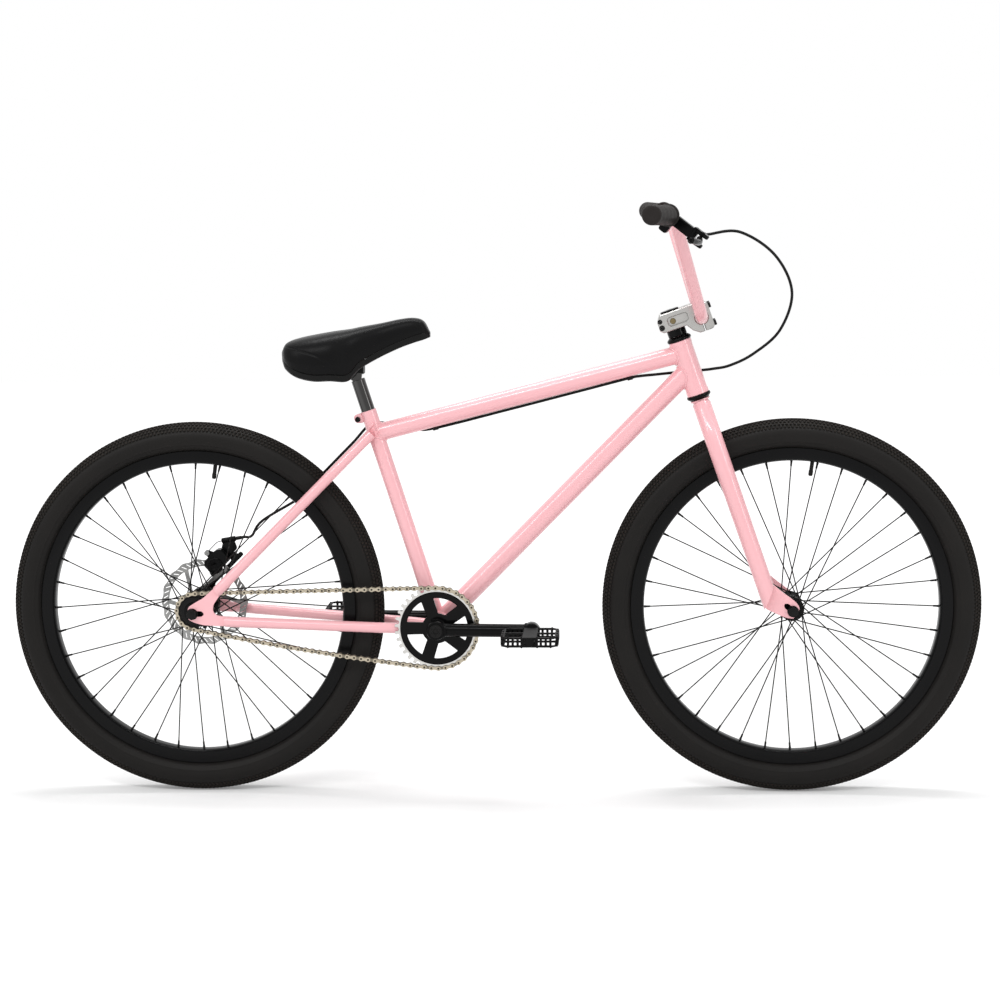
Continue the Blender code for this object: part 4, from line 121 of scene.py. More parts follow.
world = bpy.data.worlds.new("white_sky")
world.use_nodes = True
bpy.context.scene.world = world
nodes, links = world.node_tree.nodes, world.node_tree.links
nodes.clear()
lighting = with_inputs(nodes.new("ShaderNodeBackground"), {"Color": (1, 1, 1, 1), "Strength": SKY_LIGHT})
shown = with_inputs(nodes.new("ShaderNodeBackground"), {"Color": (1, 1, 1, 1)})
either = nodes.new("ShaderNodeMixShader")
links.new(seen_directly(nodes, links), either.inputs["Fac"])
links.new(lighting.outputs[0], either.inputs[1])
links.new(shown.outputs[0], either.inputs[2])
links.new(either.outputs[0], nodes.new("ShaderNodeOutputWorld").inputs["Surface"])

floor_mesh = bpy.data.meshes.new("floor")
floor_corners = [(x * FLOOR_HALF, y * FLOOR_HALF, 0) for x, y in ((-1, -1), (1, -1), (1, 1), (-1, 1))]
floor_mesh.from_pydata(floor_corners, [], [(0, 1, 2, 3)])
floor = bpy.data.objects.new("floor", floor_mesh)
bpy.context.scene.collection.objects.link(floor)
white_floor = bpy.data.materials.new("white_floor")
white_floor.use_nodes = True
nodes, links = white_floor.node_tree.nodes, white_floor.node_tree.links
nodes.clear()
matt = with_inputs(nodes.new("ShaderNodeBsdfDiffuse"), {"Color": FLOOR_COLOUR})
glow = nodes.new("ShaderNodeEmission")
together = nodes.new("ShaderNodeAddShader")
strength = nodes.new("ShaderNodeMath")
strength.operation = "MULTIPLY"
place = nodes.new("ShaderNodeTexCoord")
distance = nodes.new("ShaderNodeVectorMath")
distance.operation = "LENGTH"
fade = nodes.new("ShaderNodeMapRange")
fade.inputs["From Min"].default_value, fade.inputs["From Max"].default_value = GLOW_REACH
fade.inputs["To Min"].default_value, fade.inputs["To Max"].default_value = FLOOR_GLOW
links.new(place.outputs["Object"], distance.inputs[0])
links.new(distance.outputs["Value"], fade.inputs["Value"])
links.new(seen_directly(nodes, links), strength.inputs[0])
links.new(fade.outputs["Result"], strength.inputs[1])
links.new(strength.outputs[0], glow.inputs["Strength"])
links.new(matt.outputs[0], together.inputs[0])
links.new(glow.outputs[0], together.inputs[1])
links.new(together.outputs[0], nodes.new("ShaderNodeOutputMaterial").inputs["Surface"])
floor_mesh.materials.append(white_floor)

for name, place, (width, depth), power in LAMPS:
    lamp = bpy.data.lights.new(name, "AREA")
    lamp.shape = "RECTANGLE"
    lamp.size, lamp.size_y = width, depth
    lamp.energy = power
    holder = bpy.data.objects.new(name, lamp)
    holder.location = place
    holder.rotation_euler = (LAMP_TARGET - Vector(place)).to_track_quat("-Z", "Y").to_euler()
    bpy.context.scene.collection.objects.link(holder)

bpy.context.scene.view_settings.view_transform = "Standard"


# The frame's front triangle is four round steel tubes, mitred, welded with fine rippled beads and sprayed
# in a pale pink with a clear gloss coat. The head tube carries the steering at 71 degrees.

WHEELBASE = 1.066
TYRE_RADIUS = 0.337
CRANK_AHEAD = 0.4351
CRANK_DROP = 0.031
FORK_OFFSET = 0.032
REAR_AXLE = np.array((-WHEELBASE / 2, 0, TYRE_RADIUS))
FRONT_AXLE = np.array((WHEELBASE / 2, 0, TYRE_RADIUS))
CRANK_AXIS = REAR_AXLE + (CRANK_AHEAD, 0, -CRANK_DROP)
X, Y, Z = np.eye(3)
HEAD_ANGLE = math.radians(71)
UP_STEERER = np.array((-math.cos(HEAD_ANGLE), 0, math.sin(HEAD_ANGLE)))
AHEAD = np.array((math.sin(HEAD_ANGLE), 0, math.cos(HEAD_ANGLE)))
STEERER_FOOT = FRONT_AXLE - FORK_OFFSET * AHEAD
SEAT_ANGLE = math.radians(72.6)
UP_SEAT_TUBE = np.array((-math.cos(SEAT_ANGLE), 0, math.sin(SEAT_ANGLE)))
BEHIND_SEAT_TUBE = -np.array((math.sin(SEAT_ANGLE), 0, math.cos(SEAT_ANGLE)))
HEAD_TUBE_FOOT = 0.414
HEAD_TUBE_TOP = 0.514
HEAD_TUBE_RADIUS = 0.0195
HEAD_TUBE_BORE = 0.017
HEAD_TUBE_LIP = 0.0006
SEAT_TUBE_RADIUS = 0.0143
TOP_TUBE_RADIUS = 0.0159
DOWN_TUBE_RADIUS = 0.0175
SHELL_RADIUS = 0.0225
SHELL_BORE = 0.0206
SHELL_HALF = 0.034
WELD = 0.0022
WELD_RIPPLE = 0.12


def on_steerer(height, ahead=0.0, left=0.0):
    """A point by its distance up the steerer's axis, ahead of it and to its left."""
    return STEERER_FOOT + height * UP_STEERER + ahead * AHEAD + left * Y


def on_seat_tube(height, behind=0.0, left=0.0):
    """A point by its distance up the seat tube's axis from the cranks', behind it and to its left."""
    return CRANK_AXIS + height * UP_SEAT_TUBE + behind * BEHIND_SEAT_TUBE + left * Y


def unit(vectors):
    """Vectors divided by their lengths."""
    return vectors / np.linalg.norm(vectors, axis=-1, keepdims=True)


def square_to(vectors, axis):
    """What is left of vectors once their share along a unit axis is taken off."""
    return vectors - np.multiply.outer(vectors @ axis, axis)


def lattice(points, close_rows=False):
    """Corners and quads of a grid of points. Each row is a closed loop."""
    rows, columns = points.shape[:2]
    index = np.arange(rows * columns).reshape(rows, columns)
    index = np.hstack([index, index[:, :1]])
    if close_rows:
        index = np.vstack([index, index[:1]])
    quads = np.stack([index[:-1, :-1], index[:-1, 1:], index[1:, 1:], index[1:, :-1]], -1)
    return points.reshape(-1, 3), quads.reshape(-1, 4).tolist()


def eased(profile, ease):
    """A profile whose inner corners are cut back by a small chamfer, at most a third of the shorter edge."""
    profile = np.asarray(profile, float)
    edge = np.linalg.norm(np.diff(profile, axis=0), axis=1)
    reach = np.minimum(ease, np.minimum(edge[:-1], edge[1:]) / 3)[:, None]
    corner = profile[1:-1]
    before = corner + reach * unit(profile[:-2] - corner)
    after = corner + reach * unit(profile[2:] - corner)
    inner = np.stack([before, after], 1).reshape(-1, 2)
    return np.vstack([profile[:1], inner, profile[-1:]])


def band(inner, outer, low, high):
    """A ring's section: a rectangle between two radii and two distances along the axis."""
    return [(inner, low), (outer, low), (outer, high), (inner, high)]


def turned(profile, centre, axis, steps=72, closed=False):
    """A profile of (radius, distance along the axis) pairs, carried round the axis."""
    profile = np.asarray(profile, float)
    axis = unit(np.asarray(axis, float))
    across = unit(np.cross(axis, Y if abs(axis[1]) < 0.8 else X))
    angle = np.linspace(0, 2 * math.pi, steps, endpoint=False)[:, None]
    spokes = np.cos(angle) * across + np.sin(angle) * np.cross(axis, across)
    along = np.asarray(centre) + profile[:, 1, None] * axis
    return lattice(along[:, None] + profile[:, 0, None, None] * spokes, closed)


def closed_ends(rings):
    """Rings of points with both ends closed, by one more ring at each end that lies all at its middle."""
    middles = [np.repeat(ring.mean(0)[None, None], rings.shape[1], 1) for ring in (rings[0], rings[-1])]
    return np.concatenate([middles[0], rings, middles[1]])


def straight_tube(start_ring, end_ring):
    """A tube between two rings of points, closed at both ends."""
    shares = np.linspace(0, 1, 9)[:, None, None]
    return lattice(closed_ends(start_ring + shares * (end_ring - start_ring)))


def mitre(start, direction, radius, other, other_direction, other_radius, root, across=Y):
    """Where the straight lines along a round tube's side enter another tube (root -1) or leave it (root 1).

    Each line is followed until its distance from the other tube's axis equals that tube's radius, which is
    the root of a quadratic equation. The lines' outward directions come with the points.
    """
    direction, other_direction = unit(direction), unit(other_direction)
    angle = np.linspace(0, 2 * math.pi, 96, endpoint=False)[:, None]
    first = unit(square_to(across, direction))
    outwards = np.cos(angle) * first + np.sin(angle) * np.cross(direction, first)
    offset = square_to(start + radius * outwards - other, other_direction)
    step = square_to(direction, other_direction)
    square, half = step @ step, offset @ step
    inside = np.maximum(half**2 - square * ((offset**2).sum(1) - other_radius**2), 0)
    distance = (-half + root * np.sqrt(inside)) / square
    return start + radius * outwards + distance[:, None] * direction, outwards


def bead(seam, other, other_direction):
    """A weld along a mitre. Its section is a small circle, and its size ripples along the seam."""
    line, outwards = seam
    away = unit(square_to(line - other, unit(other_direction)))
    side = unit(away - (away * outwards).sum(1)[:, None] * outwards)
    around = np.linspace(0, 2 * math.pi, 8, endpoint=False)[None, :, None]
    size = WELD * (1 + WELD_RIPPLE * np.sin(np.arange(len(line)) * 2 * math.pi / 3))[:, None, None]
    section = np.cos(around) * outwards[:, None] + np.sin(around) * side[:, None]
    return lattice(line[:, None] + size * section, close_rows=True)


def welded(name, parts, sharp=35):
    """One mesh from several parts. Doubles merge, so seams and poles close, and faces point outwards."""
    corners, faces, start = [], [], 0
    for points, part_faces in parts:
        corners.append(points)
        faces += [[start + corner for corner in face] for face in part_faces]
        start += len(points)
    mesh = bpy.data.meshes.new(name)
    mesh.from_pydata(np.concatenate(corners).tolist(), [], faces)
    work = bmesh.new()
    work.from_mesh(mesh)
    bmesh.ops.remove_doubles(work, verts=work.verts, dist=1e-6)
    bmesh.ops.dissolve_degenerate(work, edges=work.edges, dist=1e-7)
    bmesh.ops.recalc_face_normals(work, faces=work.faces)
    work.to_mesh(mesh)
    work.free()
    mesh.shade_smooth()
    mesh.set_sharp_from_angle(angle=math.radians(sharp))
    piece = bpy.data.objects.new(name, mesh)
    bpy.context.scene.collection.objects.link(piece)
    return piece


def fitted(name, parts, body, material, slot, *replaced, sharp=35):
    """A piece with its finish, its body and the solids that it stands for. One that is given no body here is
    left unattached."""
    piece = welded(name, parts, sharp)
    piece.data.materials.append(material)
    if body:
        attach(piece, body)
    if replaced:
        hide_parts(*replaced)
    return piece


def dressed(name, parts, body, material, slot, sharp=35):
    """The piece that stands for the solid of that name."""
    return fitted(name + "_look", parts, body, material, slot, name, sharp=sharp)


def finish(
    name, light, dark, patches, roughness, grain, bump, metallic=0.0, coat=0.0, mirror=0.5, stretch=(1, 1, 1)
):
    """A surface whose colour and roughness drift in soft patches, with a fine grain in relief."""
    material = bpy.data.materials.new(name)
    material.use_nodes = True
    nodes, links = material.node_tree.nodes, material.node_tree.links
    shader = with_inputs(nodes["Principled BSDF"], {"Metallic": metallic, "Specular IOR Level": mirror})
    with_inputs(shader, {"Coat Weight": coat, "Coat Roughness": 0.09})
    place = nodes.new("ShaderNodeTexCoord")
    mapping = with_inputs(nodes.new("ShaderNodeMapping"), {"Scale": stretch})
    drift = with_inputs(nodes.new("ShaderNodeTexNoise"), {"Scale": patches, "Detail": 5})
    fine = with_inputs(nodes.new("ShaderNodeTexNoise"), {"Scale": grain, "Detail": 3})
    colour = nodes.new("ShaderNodeMix")
    colour.data_type = "RGBA"
    with_inputs(colour, {"A": (*dark, 1), "B": (*light, 1)})
    shine = with_inputs(nodes.new("ShaderNodeMapRange"), {"To Min": roughness[0], "To Max": roughness[1]})
    relief = with_inputs(nodes.new("ShaderNodeBump"), {"Strength": bump, "Distance": 0.001})
    links.new(place.outputs["Object"], mapping.inputs["Vector"])
    links.new(mapping.outputs[0], drift.inputs["Vector"])
    links.new(mapping.outputs[0], fine.inputs["Vector"])
    links.new(drift.outputs["Fac"], colour.inputs["Factor"])
    links.new(colour.outputs["Result"], shader.inputs["Base Color"])
    links.new(drift.outputs["Fac"], shine.inputs["Value"])
    links.new(shine.outputs["Result"], shader.inputs["Roughness"])
    links.new(fine.outputs["Fac"], relief.inputs["Height"])
    links.new(relief.outputs[0], shader.inputs["Normal"])
    return material


pink_paint = finish(
    "pink_paint", (0.89, 0.47, 0.50), (0.84, 0.43, 0.46), 9, (0.20, 0.28), 220, 0.008, coat=0.5
)


def painted(name, parts, body="frame"):
    """A welded steel piece in the pink paint."""
    dressed(name, parts, body, pink_paint, "pink_paint")


TOP_TUBE_FRONT = on_steerer(HEAD_TUBE_FOOT + 0.0765)
TOP_TUBE_BACK = on_seat_tube(0.362)
DOWN_TUBE_FRONT = on_steerer(HEAD_TUBE_FOOT + 0.046)
HEAD_LINE = (STEERER_FOOT, UP_STEERER)
SEAT_LINE = (CRANK_AXIS, UP_SEAT_TUBE)
SHELL_LINE = (CRANK_AXIS, Y)

lip = HEAD_TUBE_RADIUS + HEAD_TUBE_LIP
profile = [(HEAD_TUBE_BORE, HEAD_TUBE_FOOT), (lip, HEAD_TUBE_FOOT), (lip, HEAD_TUBE_FOOT + 0.007)]
profile += [(HEAD_TUBE_RADIUS, HEAD_TUBE_FOOT + 0.009), (HEAD_TUBE_RADIUS, HEAD_TUBE_TOP - 0.009)]
profile += [(lip, HEAD_TUBE_TOP - 0.007), (lip, HEAD_TUBE_TOP), (HEAD_TUBE_BORE, HEAD_TUBE_TOP)]
painted("head_tube", [turned(eased(profile, 0.0006), STEERER_FOOT, UP_STEERER, closed=True)])


def main_tube(name, front, back, radius, back_line, back_radius):
    """A tube from the head tube to another tube, mitred and welded at both ends."""
    front_seam = mitre(front, back - front, radius, *HEAD_LINE, HEAD_TUBE_RADIUS, 1)
    back_seam = mitre(front, back - front, radius, *back_line, back_radius, -1)
    beads = [bead(front_seam, *HEAD_LINE), bead(back_seam, *back_line)]
    painted(name, [straight_tube(front_seam[0], back_seam[0]), *beads])


main_tube("top_tube", TOP_TUBE_FRONT, TOP_TUBE_BACK, TOP_TUBE_RADIUS, SEAT_LINE, SEAT_TUBE_RADIUS)
main_tube("down_tube", DOWN_TUBE_FRONT, CRANK_AXIS, DOWN_TUBE_RADIUS, SHELL_LINE, SHELL_RADIUS)

profile = eased(band(SHELL_BORE, SHELL_RADIUS, -SHELL_HALF, SHELL_HALF), 0.0008)
painted("bottom_bracket_shell", [turned(profile, CRANK_AXIS, Y, closed=True)])


# The seat tube's top is split at the rear between two ears. A black socket bolt passes through both ears
# and pulls them together, so that the tube grips the seatpost.

SEAT_TUBE_FOOT = 0.0172
SEAT_TUBE_TOP = 0.405
SEAT_TUBE_BORE = 0.0129
CLAMP_EAR_HEIGHT = 0.0188
CLAMP_EAR_HALF = 0.00775
CLAMP_SLOT_HALF = 0.001
CLAMP_BOLT_BEHIND = 0.0216
CLAMP_BOLT_RADIUS = 0.0025
POLE = 0.0001


def slab(outlines, place, low, high, ease=0.0006):
    """A flat plate between two depths. The first outline is its edge, and the others are its holes.

    Each edge is drawn in at both faces by a small chamfer, square to the mean of its two neighbours.
    """
    points, faces, caps, rings = [], [], [], []
    for number, outline in enumerate(outlines):
        outline = np.asarray(outline, float)
        area = (outline[:, 0] * np.roll(outline[:, 1], -1) - outline[:, 1] * np.roll(outline[:, 0], -1)).sum()
        if (area > 0) == (number > 0):
            outline = outline[::-1]
        edges = unit(np.roll(outline, -1, 0) - outline)
        mean = unit(edges + np.roll(edges, 1, 0))
        inset = outline + ease * np.stack([-mean[:, 1], mean[:, 0]], -1)
        levels = ((inset, low), (outline, low + ease), (outline, high - ease), (inset, high))
        start = len(points)
        for shape, depth in levels:
            points += [place(u, v, depth) for u, v in shape]
        count = len(outline)
        for level in range(3):
            for corner in range(count):
                after = (corner + 1) % count
                base = start + level * count
                faces.append([base + corner, base + after, base + count + after, base + count + corner])
        caps.append([Vector((u, v, 0)) for u, v in inset])
        rings.append((start, count))
    lower = [start + corner for start, count in rings for corner in range(count)]
    upper = [start + 3 * count + corner for start, count in rings for corner in range(count)]
    for triangle in tessellate_polygon(caps):
        faces.append([lower[corner] for corner in reversed(triangle)])
        faces.append([upper[corner] for corner in triangle])
    return np.array(points, float), faces


def rounded(outline, radius, steps=4):
    """An outline whose corners are parabolas. Each touches its two edges at the same distance from the
    corner, at most 45 percent of the shorter edge."""
    outline = np.asarray(outline, float)
    before, after = np.roll(outline, 1, 0), np.roll(outline, -1, 0)
    near = np.minimum(np.linalg.norm(before - outline, axis=1), np.linalg.norm(after - outline, axis=1))
    reach = np.minimum(radius, 0.45 * near)[:, None]
    start = outline + reach * unit(before - outline)
    end = outline + reach * unit(after - outline)
    share = np.linspace(0, 1, steps + 1)[None, :, None]
    bend = (1 - share) ** 2 * start[:, None] + 2 * share * (1 - share) * outline[:, None]
    return (bend + share**2 * end[:, None]).reshape(-1, outline.shape[1])


profile = band(SEAT_TUBE_BORE, SEAT_TUBE_RADIUS, SEAT_TUBE_FOOT, SEAT_TUBE_TOP)
parts = [turned(profile, CRANK_AXIS, UP_SEAT_TUBE, closed=True)]
seam = mitre(*SEAT_LINE, SEAT_TUBE_RADIUS, *SHELL_LINE, SHELL_RADIUS, 1)
parts.append(bead(seam, *SHELL_LINE))
ear_foot, ear_top = SEAT_TUBE_TOP - CLAMP_EAR_HEIGHT, SEAT_TUBE_TOP - 0.0005
ear = [(ear_foot, 0.0125), (ear_top, 0.0125), (ear_top, 0.0278), (ear_foot + 0.004, 0.0278)]
for side in (-1, 1):
    depths = sorted((side * CLAMP_SLOT_HALF, side * CLAMP_EAR_HALF))
    parts.append(slab([rounded(ear, 0.006)], on_seat_tube, *depths))
painted("seat_tube", parts)

black_steel = finish(
    "black_steel", (0.006, 0.0056, 0.0054), (0.003, 0.003, 0.003), 30, (0.22, 0.34), 600, 0.05, mirror=0.14
)


def socket_bolt(centre, axis, head_radius, head_height, socket_radius, steps=36):
    """A round bolt head with a six sided socket. Both rings of the socket turn at 60 degree steps.

    Its section starts at a pole, the small ring that every solid turned section here has at its axis.
    """
    mouth = socket_radius * 1.1
    rim = [(POLE, 0), (head_radius, 0), (head_radius, head_height), (mouth, head_height)]
    depth = head_height * 0.35
    socket = [(mouth, 0), (socket_radius, -0.0002), (socket_radius, -depth), (0, -depth)]
    face = centre + head_height * unit(axis)
    return [turned(eased(rim, 0.0005), centre, axis, steps), turned(socket, face, axis, 6)]


clamp_bolt = on_seat_tube(SEAT_TUBE_TOP - CLAMP_EAR_HEIGHT / 2, CLAMP_BOLT_BEHIND)
shank = [(POLE, -0.013), (0.0045, -0.013), (0.0045, -0.008), (CLAMP_BOLT_RADIUS, -0.008)]
shank += [(CLAMP_BOLT_RADIUS, 0.008), (POLE, 0.008)]
parts = [turned(eased(shank, 0.0004), clamp_bolt, -Y, 36)]
parts += socket_bolt(clamp_bolt - 0.0078 * Y, -Y, 0.0048, 0.0055, 0.0022)
dressed("seat_clamp_bolt", parts, "frame", black_steel, "steel")


# Two pairs of thin stays hold the rear wheel. Each chainstay bends round the tyre and carries a flat dropout
# plate, and each seatstay curves in to the seat tube under the clamp.

SIDES = (("right", -1), ("left", 1))
STAY_RADIUS = 0.0095
DROPOUT_DEPTHS = (0.0675, 0.0725)
AXLE_RADIUS = 0.00475
CHAINSTAY_OUTS = ((0.060, 0.070), (0.300, 0.0425), (0.322, 0.0405), (0.3506, 0.0355), (0.3756, 0.032))
CHAINSTAY_END = (0.4156, 0.0235)
CHAINSTAY_FOOT_DROP = 0.014
CHAINSTAY_TOP_DROP = 0.0055
FLATTENED = (0.2, 0.32, 0.38, 0.42)
SEATSTAY_START = (0.065, 0.070)
SEATSTAY_OUTS = (
    (0.2626, 0.0615), (0.503, 0.048), (0.70, 0.0435), (0.788, 0.04), (0.941, 0.024), (0.985, 0.019)
)
SEATSTAY_FOOT = REAR_AXLE - 0.005 * Z
SEATSTAY_LINE = on_seat_tube(0.3677) - SEATSTAY_FOOT


def rings_along(path, radii, across, sides, squash=1.0):
    """Round sections square to a path, whose first corners point across. A section's first width is its
    radius times its squash."""
    path = np.asarray(path, float)
    radii = np.broadcast_to(np.asarray(radii, float), len(path))
    along = unit(np.gradient(path, axis=0))
    first = unit(across - (along @ across)[:, None] * along)
    angle = np.linspace(0, 2 * math.pi, sides, endpoint=False)[:, None]
    flat = np.broadcast_to(np.asarray(squash, float), len(path))[:, None, None]
    ring = flat * np.cos(angle) * first[:, None] + np.sin(angle) * np.cross(along, first)[:, None]
    return path[:, None] + radii[:, None, None] * ring


def pipe(path, radii, across, sides, squash=1.0):
    """A round tube or wire along a path, closed at both ends."""
    return lattice(closed_ends(rings_along(path, radii, across, sides, squash)))


def flowing(points, steps):
    """A smooth curve through points. Each stretch is the cubic whose slope at a point is half the step
    between that point's two neighbours."""
    points = np.asarray(points, float)
    ends = np.vstack([2 * points[0] - points[1], points, 2 * points[-1] - points[-2]])
    before, start, end, after = ends[:-3], ends[1:-2], ends[2:-1], ends[3:]
    t = np.linspace(0, 1, steps, endpoint=False)[:, None, None]
    curve = 2 * start + (end - before) * t + (2 * before - 5 * start + 4 * end - after) * t**2
    curve = 0.5 * (curve + (3 * start - before - 3 * end + after) * t**3)
    return np.vstack([curve.transpose(1, 0, 2).reshape(-1, 3), points[-1:]])


def beside(centre, outwards):
    """A function that places a point by its distances ahead of a centre, above it and out to one side."""

    def place(ahead, up, out):
        return centre + ahead * X + up * Z + out * outwards

    return place


beside_rear_axle = beside(REAR_AXLE, Y)


def dropout_outline():
    """The rear dropout, as distances ahead of the axle and above it. Its slot opens to the rear."""
    slot = AXLE_RADIUS + 0.0003
    mouth = [(-0.009, slot), (0.017, slot), (0.0215, 0), (0.017, -slot), (-0.009, -slot)]
    lower = [(-0.006, -0.011), (0.004, -0.016), (0.020, -0.0205), (0.066, -0.0225), (0.066, -0.0055)]
    upper = [(0.044, -0.003), (0.037, 0.004), (0.038, 0.016), (0.0517, 0.0353), (0.0403, 0.0467)]
    return rounded(mouth + lower + upper + [(0.020, 0.0284), (0.005, 0.020), (-0.006, 0.013)], 0.005)


def stay(line, foot_share, other_line, other_radius, flats=(1, 1, 1, 1)):
    """A stay along a smooth curve, narrowed at its foot and welded to another tube at its end.

    Its width is pressed in by the shares in flats, at four distances ahead of the rear axle.
    """
    path = flowing(line, 8)
    flat = np.interp(path[:, 0] - REAR_AXLE[0], FLATTENED, flats)
    path = np.vstack([path[0] - 0.004 * unit(path[1] - path[0]), path])
    radii = np.full(len(path), STAY_RADIUS)
    radii[0] *= foot_share
    seam = mitre(path[-1], path[-1] - path[-2], STAY_RADIUS, *other_line, other_radius, -1)
    return [pipe(path, radii, Y, 28, np.append(1, flat)), bead(seam, *other_line)]


foot_height, top_height = REAR_AXLE[2] - CHAINSTAY_FOOT_DROP, CRANK_AXIS[2] - CHAINSTAY_TOP_DROP
rise = (top_height - foot_height) / (CHAINSTAY_END[0] - CHAINSTAY_OUTS[0][0])
for word, side in SIDES:
    line = []
    for ahead, out in (*CHAINSTAY_OUTS, CHAINSTAY_END):
        up = rise * (ahead - CHAINSTAY_OUTS[0][0]) - CHAINSTAY_FOOT_DROP
        line.append(beside_rear_axle(ahead, up, side * out))
    parts = stay(line, 0.82, SHELL_LINE, SHELL_RADIUS, (1, 0.92, 0.92, 1))
    depths = sorted(side * depth for depth in DROPOUT_DEPTHS)
    parts.append(slab([dropout_outline()], beside_rear_axle, *depths))
    painted(word + "_chainstay", parts)

    reach, out = SEATSTAY_START
    line = [SEATSTAY_FOOT + reach * unit(SEATSTAY_LINE) + side * out * Y]
    line += [SEATSTAY_FOOT + share * SEATSTAY_LINE + side * out * Y for share, out in SEATSTAY_OUTS]
    painted(word + "_seatstay", stay(line, 0.8, SEAT_LINE, SEAT_TUBE_RADIUS))


# The headset is a pair of glossy black aluminium cups, pressed into the ends of the head tube. A black
# spacer stands over the upper cup and carries the stem.

CUP_RADIUS = 0.02175
CUP_BORE = 0.0148
CUP_HEIGHT = 0.009
SPACER_RADIUS = 0.01675
SPACER_BORE = 0.0146
SPACER_HEIGHT = 0.0135
STEM_FOOT = HEAD_TUBE_TOP + CUP_HEIGHT + SPACER_HEIGHT

gloss_black = finish(
    "gloss_black", (0.003, 0.003, 0.0032), (0.002, 0.002, 0.002), 12, (0.06, 0.10), 300, 0.02, mirror=0.09
)
for name, face, away in (("lower_headset_cup", HEAD_TUBE_FOOT, -1), ("upper_headset_cup", HEAD_TUBE_TOP, 1)):
    cup = [(CUP_BORE, -0.007), (0.0165, -0.007), (0.0165, 0.0003), (CUP_RADIUS - 0.0006, 0.0003)]
    cup += [(CUP_RADIUS, 0.0016), (CUP_RADIUS, 0.0042), (CUP_RADIUS - 0.0012, 0.0058)]
    cup += [(SPACER_RADIUS + 0.0012, CUP_HEIGHT - 0.0011), (SPACER_RADIUS, CUP_HEIGHT)]
    cup += [(CUP_BORE, CUP_HEIGHT)]
    ring = turned(eased(cup, 0.0004), on_steerer(face), away * UP_STEERER, closed=True)
    dressed(name, [ring], "frame", gloss_black, "black_aluminium")
profile = band(SPACER_BORE, SPACER_RADIUS, HEAD_TUBE_TOP + CUP_HEIGHT + 0.0003, STEM_FOOT - 0.0003)
spacer = turned(eased(profile, 0.0007), STEERER_FOOT, UP_STEERER, closed=True)
dressed("headset_spacer", [spacer], "steering", gloss_black, "black_aluminium")


# The fork is welded from a steerer and two tapered round legs, which spread from the crown and end in a
# slanting face. A flat plate with an open slot leaves each foot and takes the axle. All of it is pink.

STEERER_RADIUS = 0.0143
STEERER_BORE = STEERER_RADIUS - 0.0025
CROWN_FOOT = 0.360
RACE_RADIUS = 0.0175
RACE_FOOT = HEAD_TUBE_FOOT - CUP_HEIGHT - 0.0035
LEG_RADII = (0.01475, 0.01625)
LEG_SPREAD = 0.0585
LEG_SHOULDER = ((0.392, 0.0125), (0.385, 0.0185), (0.375, 0.025), (0.345, 0.042), (0.310, 0.050))
FOOT_REAR, FOOT_FRONT = (0.0214, -0.0137), (0.055, 0.0149)
FORK_PLATE_DEPTHS = (0.050, 0.055)
SLOT_ANGLE = math.radians(40.6)
STEERER_TOP = STEM_FOOT + 0.0295
LEG_SIDES = 40

tube = [(STEERER_BORE, CROWN_FOOT), (STEERER_RADIUS, CROWN_FOOT), (STEERER_RADIUS, RACE_FOOT)]
tube += [(RACE_RADIUS, RACE_FOOT + 0.0004), (RACE_RADIUS, RACE_FOOT + 0.0032)]
tube += [(STEERER_RADIUS, RACE_FOOT + 0.0032), (STEERER_RADIUS, STEERER_TOP), (STEERER_BORE, STEERER_TOP)]
painted("fork_steerer", [turned(eased(tube, 0.0004), STEERER_FOOT, UP_STEERER, closed=True)], "steering")

beside_front_axle = beside(FRONT_AXLE, Y)


def fork_plate_outline():
    """The front dropout, as distances from the axle. Its slot opens downwards and forwards."""
    slot = AXLE_RADIUS + 0.0003
    along = np.array((math.cos(SLOT_ANGLE), -math.sin(SLOT_ANGLE)))
    across = np.array((math.sin(SLOT_ANGLE), math.cos(SLOT_ANGLE)))
    upper = [(-0.040, 0.046), (-0.0345, 0.0475), (-0.0202, 0.0357), (0.0054, 0.0164), (0.012, 0.0065)]
    mouth = [0.0085 * along + slot * across, -0.0155 * along + slot * across, -0.0205 * along]
    mouth += [-0.0155 * along - slot * across, 0.0075 * along - slot * across]
    lower = [(0.0015, -0.0134), (-0.0085, -0.0125), (-0.0202, -0.0086), (-0.048, 0.0045), (-0.048, 0.016)]
    return rounded(np.array(upper + [tuple(corner) for corner in mouth] + lower), 0.004)


for word, side in SIDES:
    path = flowing([on_steerer(height, 0, side * out) for height, out in LEG_SHOULDER], 6)
    foot = on_steerer(0.07, 0, side * (LEG_SPREAD - 0.0017))
    path = np.vstack([path[:1], path, np.linspace(path[-1], foot, 10)[1:]])
    path[0] = path[1] + 0.006 * unit(path[1] - path[2])
    radii = np.interp((path - STEERER_FOOT) @ UP_STEERER, (0.01, 0.375), LEG_RADII)
    radii[0] *= 0.72
    rings = rings_along(path, radii, AHEAD, LEG_SIDES)
    last = rings[-1] - STEERER_FOOT
    slope = (FOOT_FRONT[0] - FOOT_REAR[0]) / (FOOT_FRONT[1] - FOOT_REAR[1])
    drop = last @ UP_STEERER - (FOOT_REAR[0] + (last @ AHEAD - FOOT_REAR[1]) * slope)
    end = rings[-1] - drop[:, None] * UP_STEERER
    parts = [lattice(closed_ends(np.concatenate([rings, end[None]])))]
    depths = sorted(side * depth for depth in FORK_PLATE_DEPTHS)
    parts.append(slab([fork_plate_outline()], beside_front_axle, *depths))
    painted(word + "_fork_leg", parts, "steering")


# The stem is a polished block of raw aluminium, bored for the steerer and slit down its back. A faceplate
# with four black bolts holds the bar, two more pinch the steerer, and a black cap closes the top.

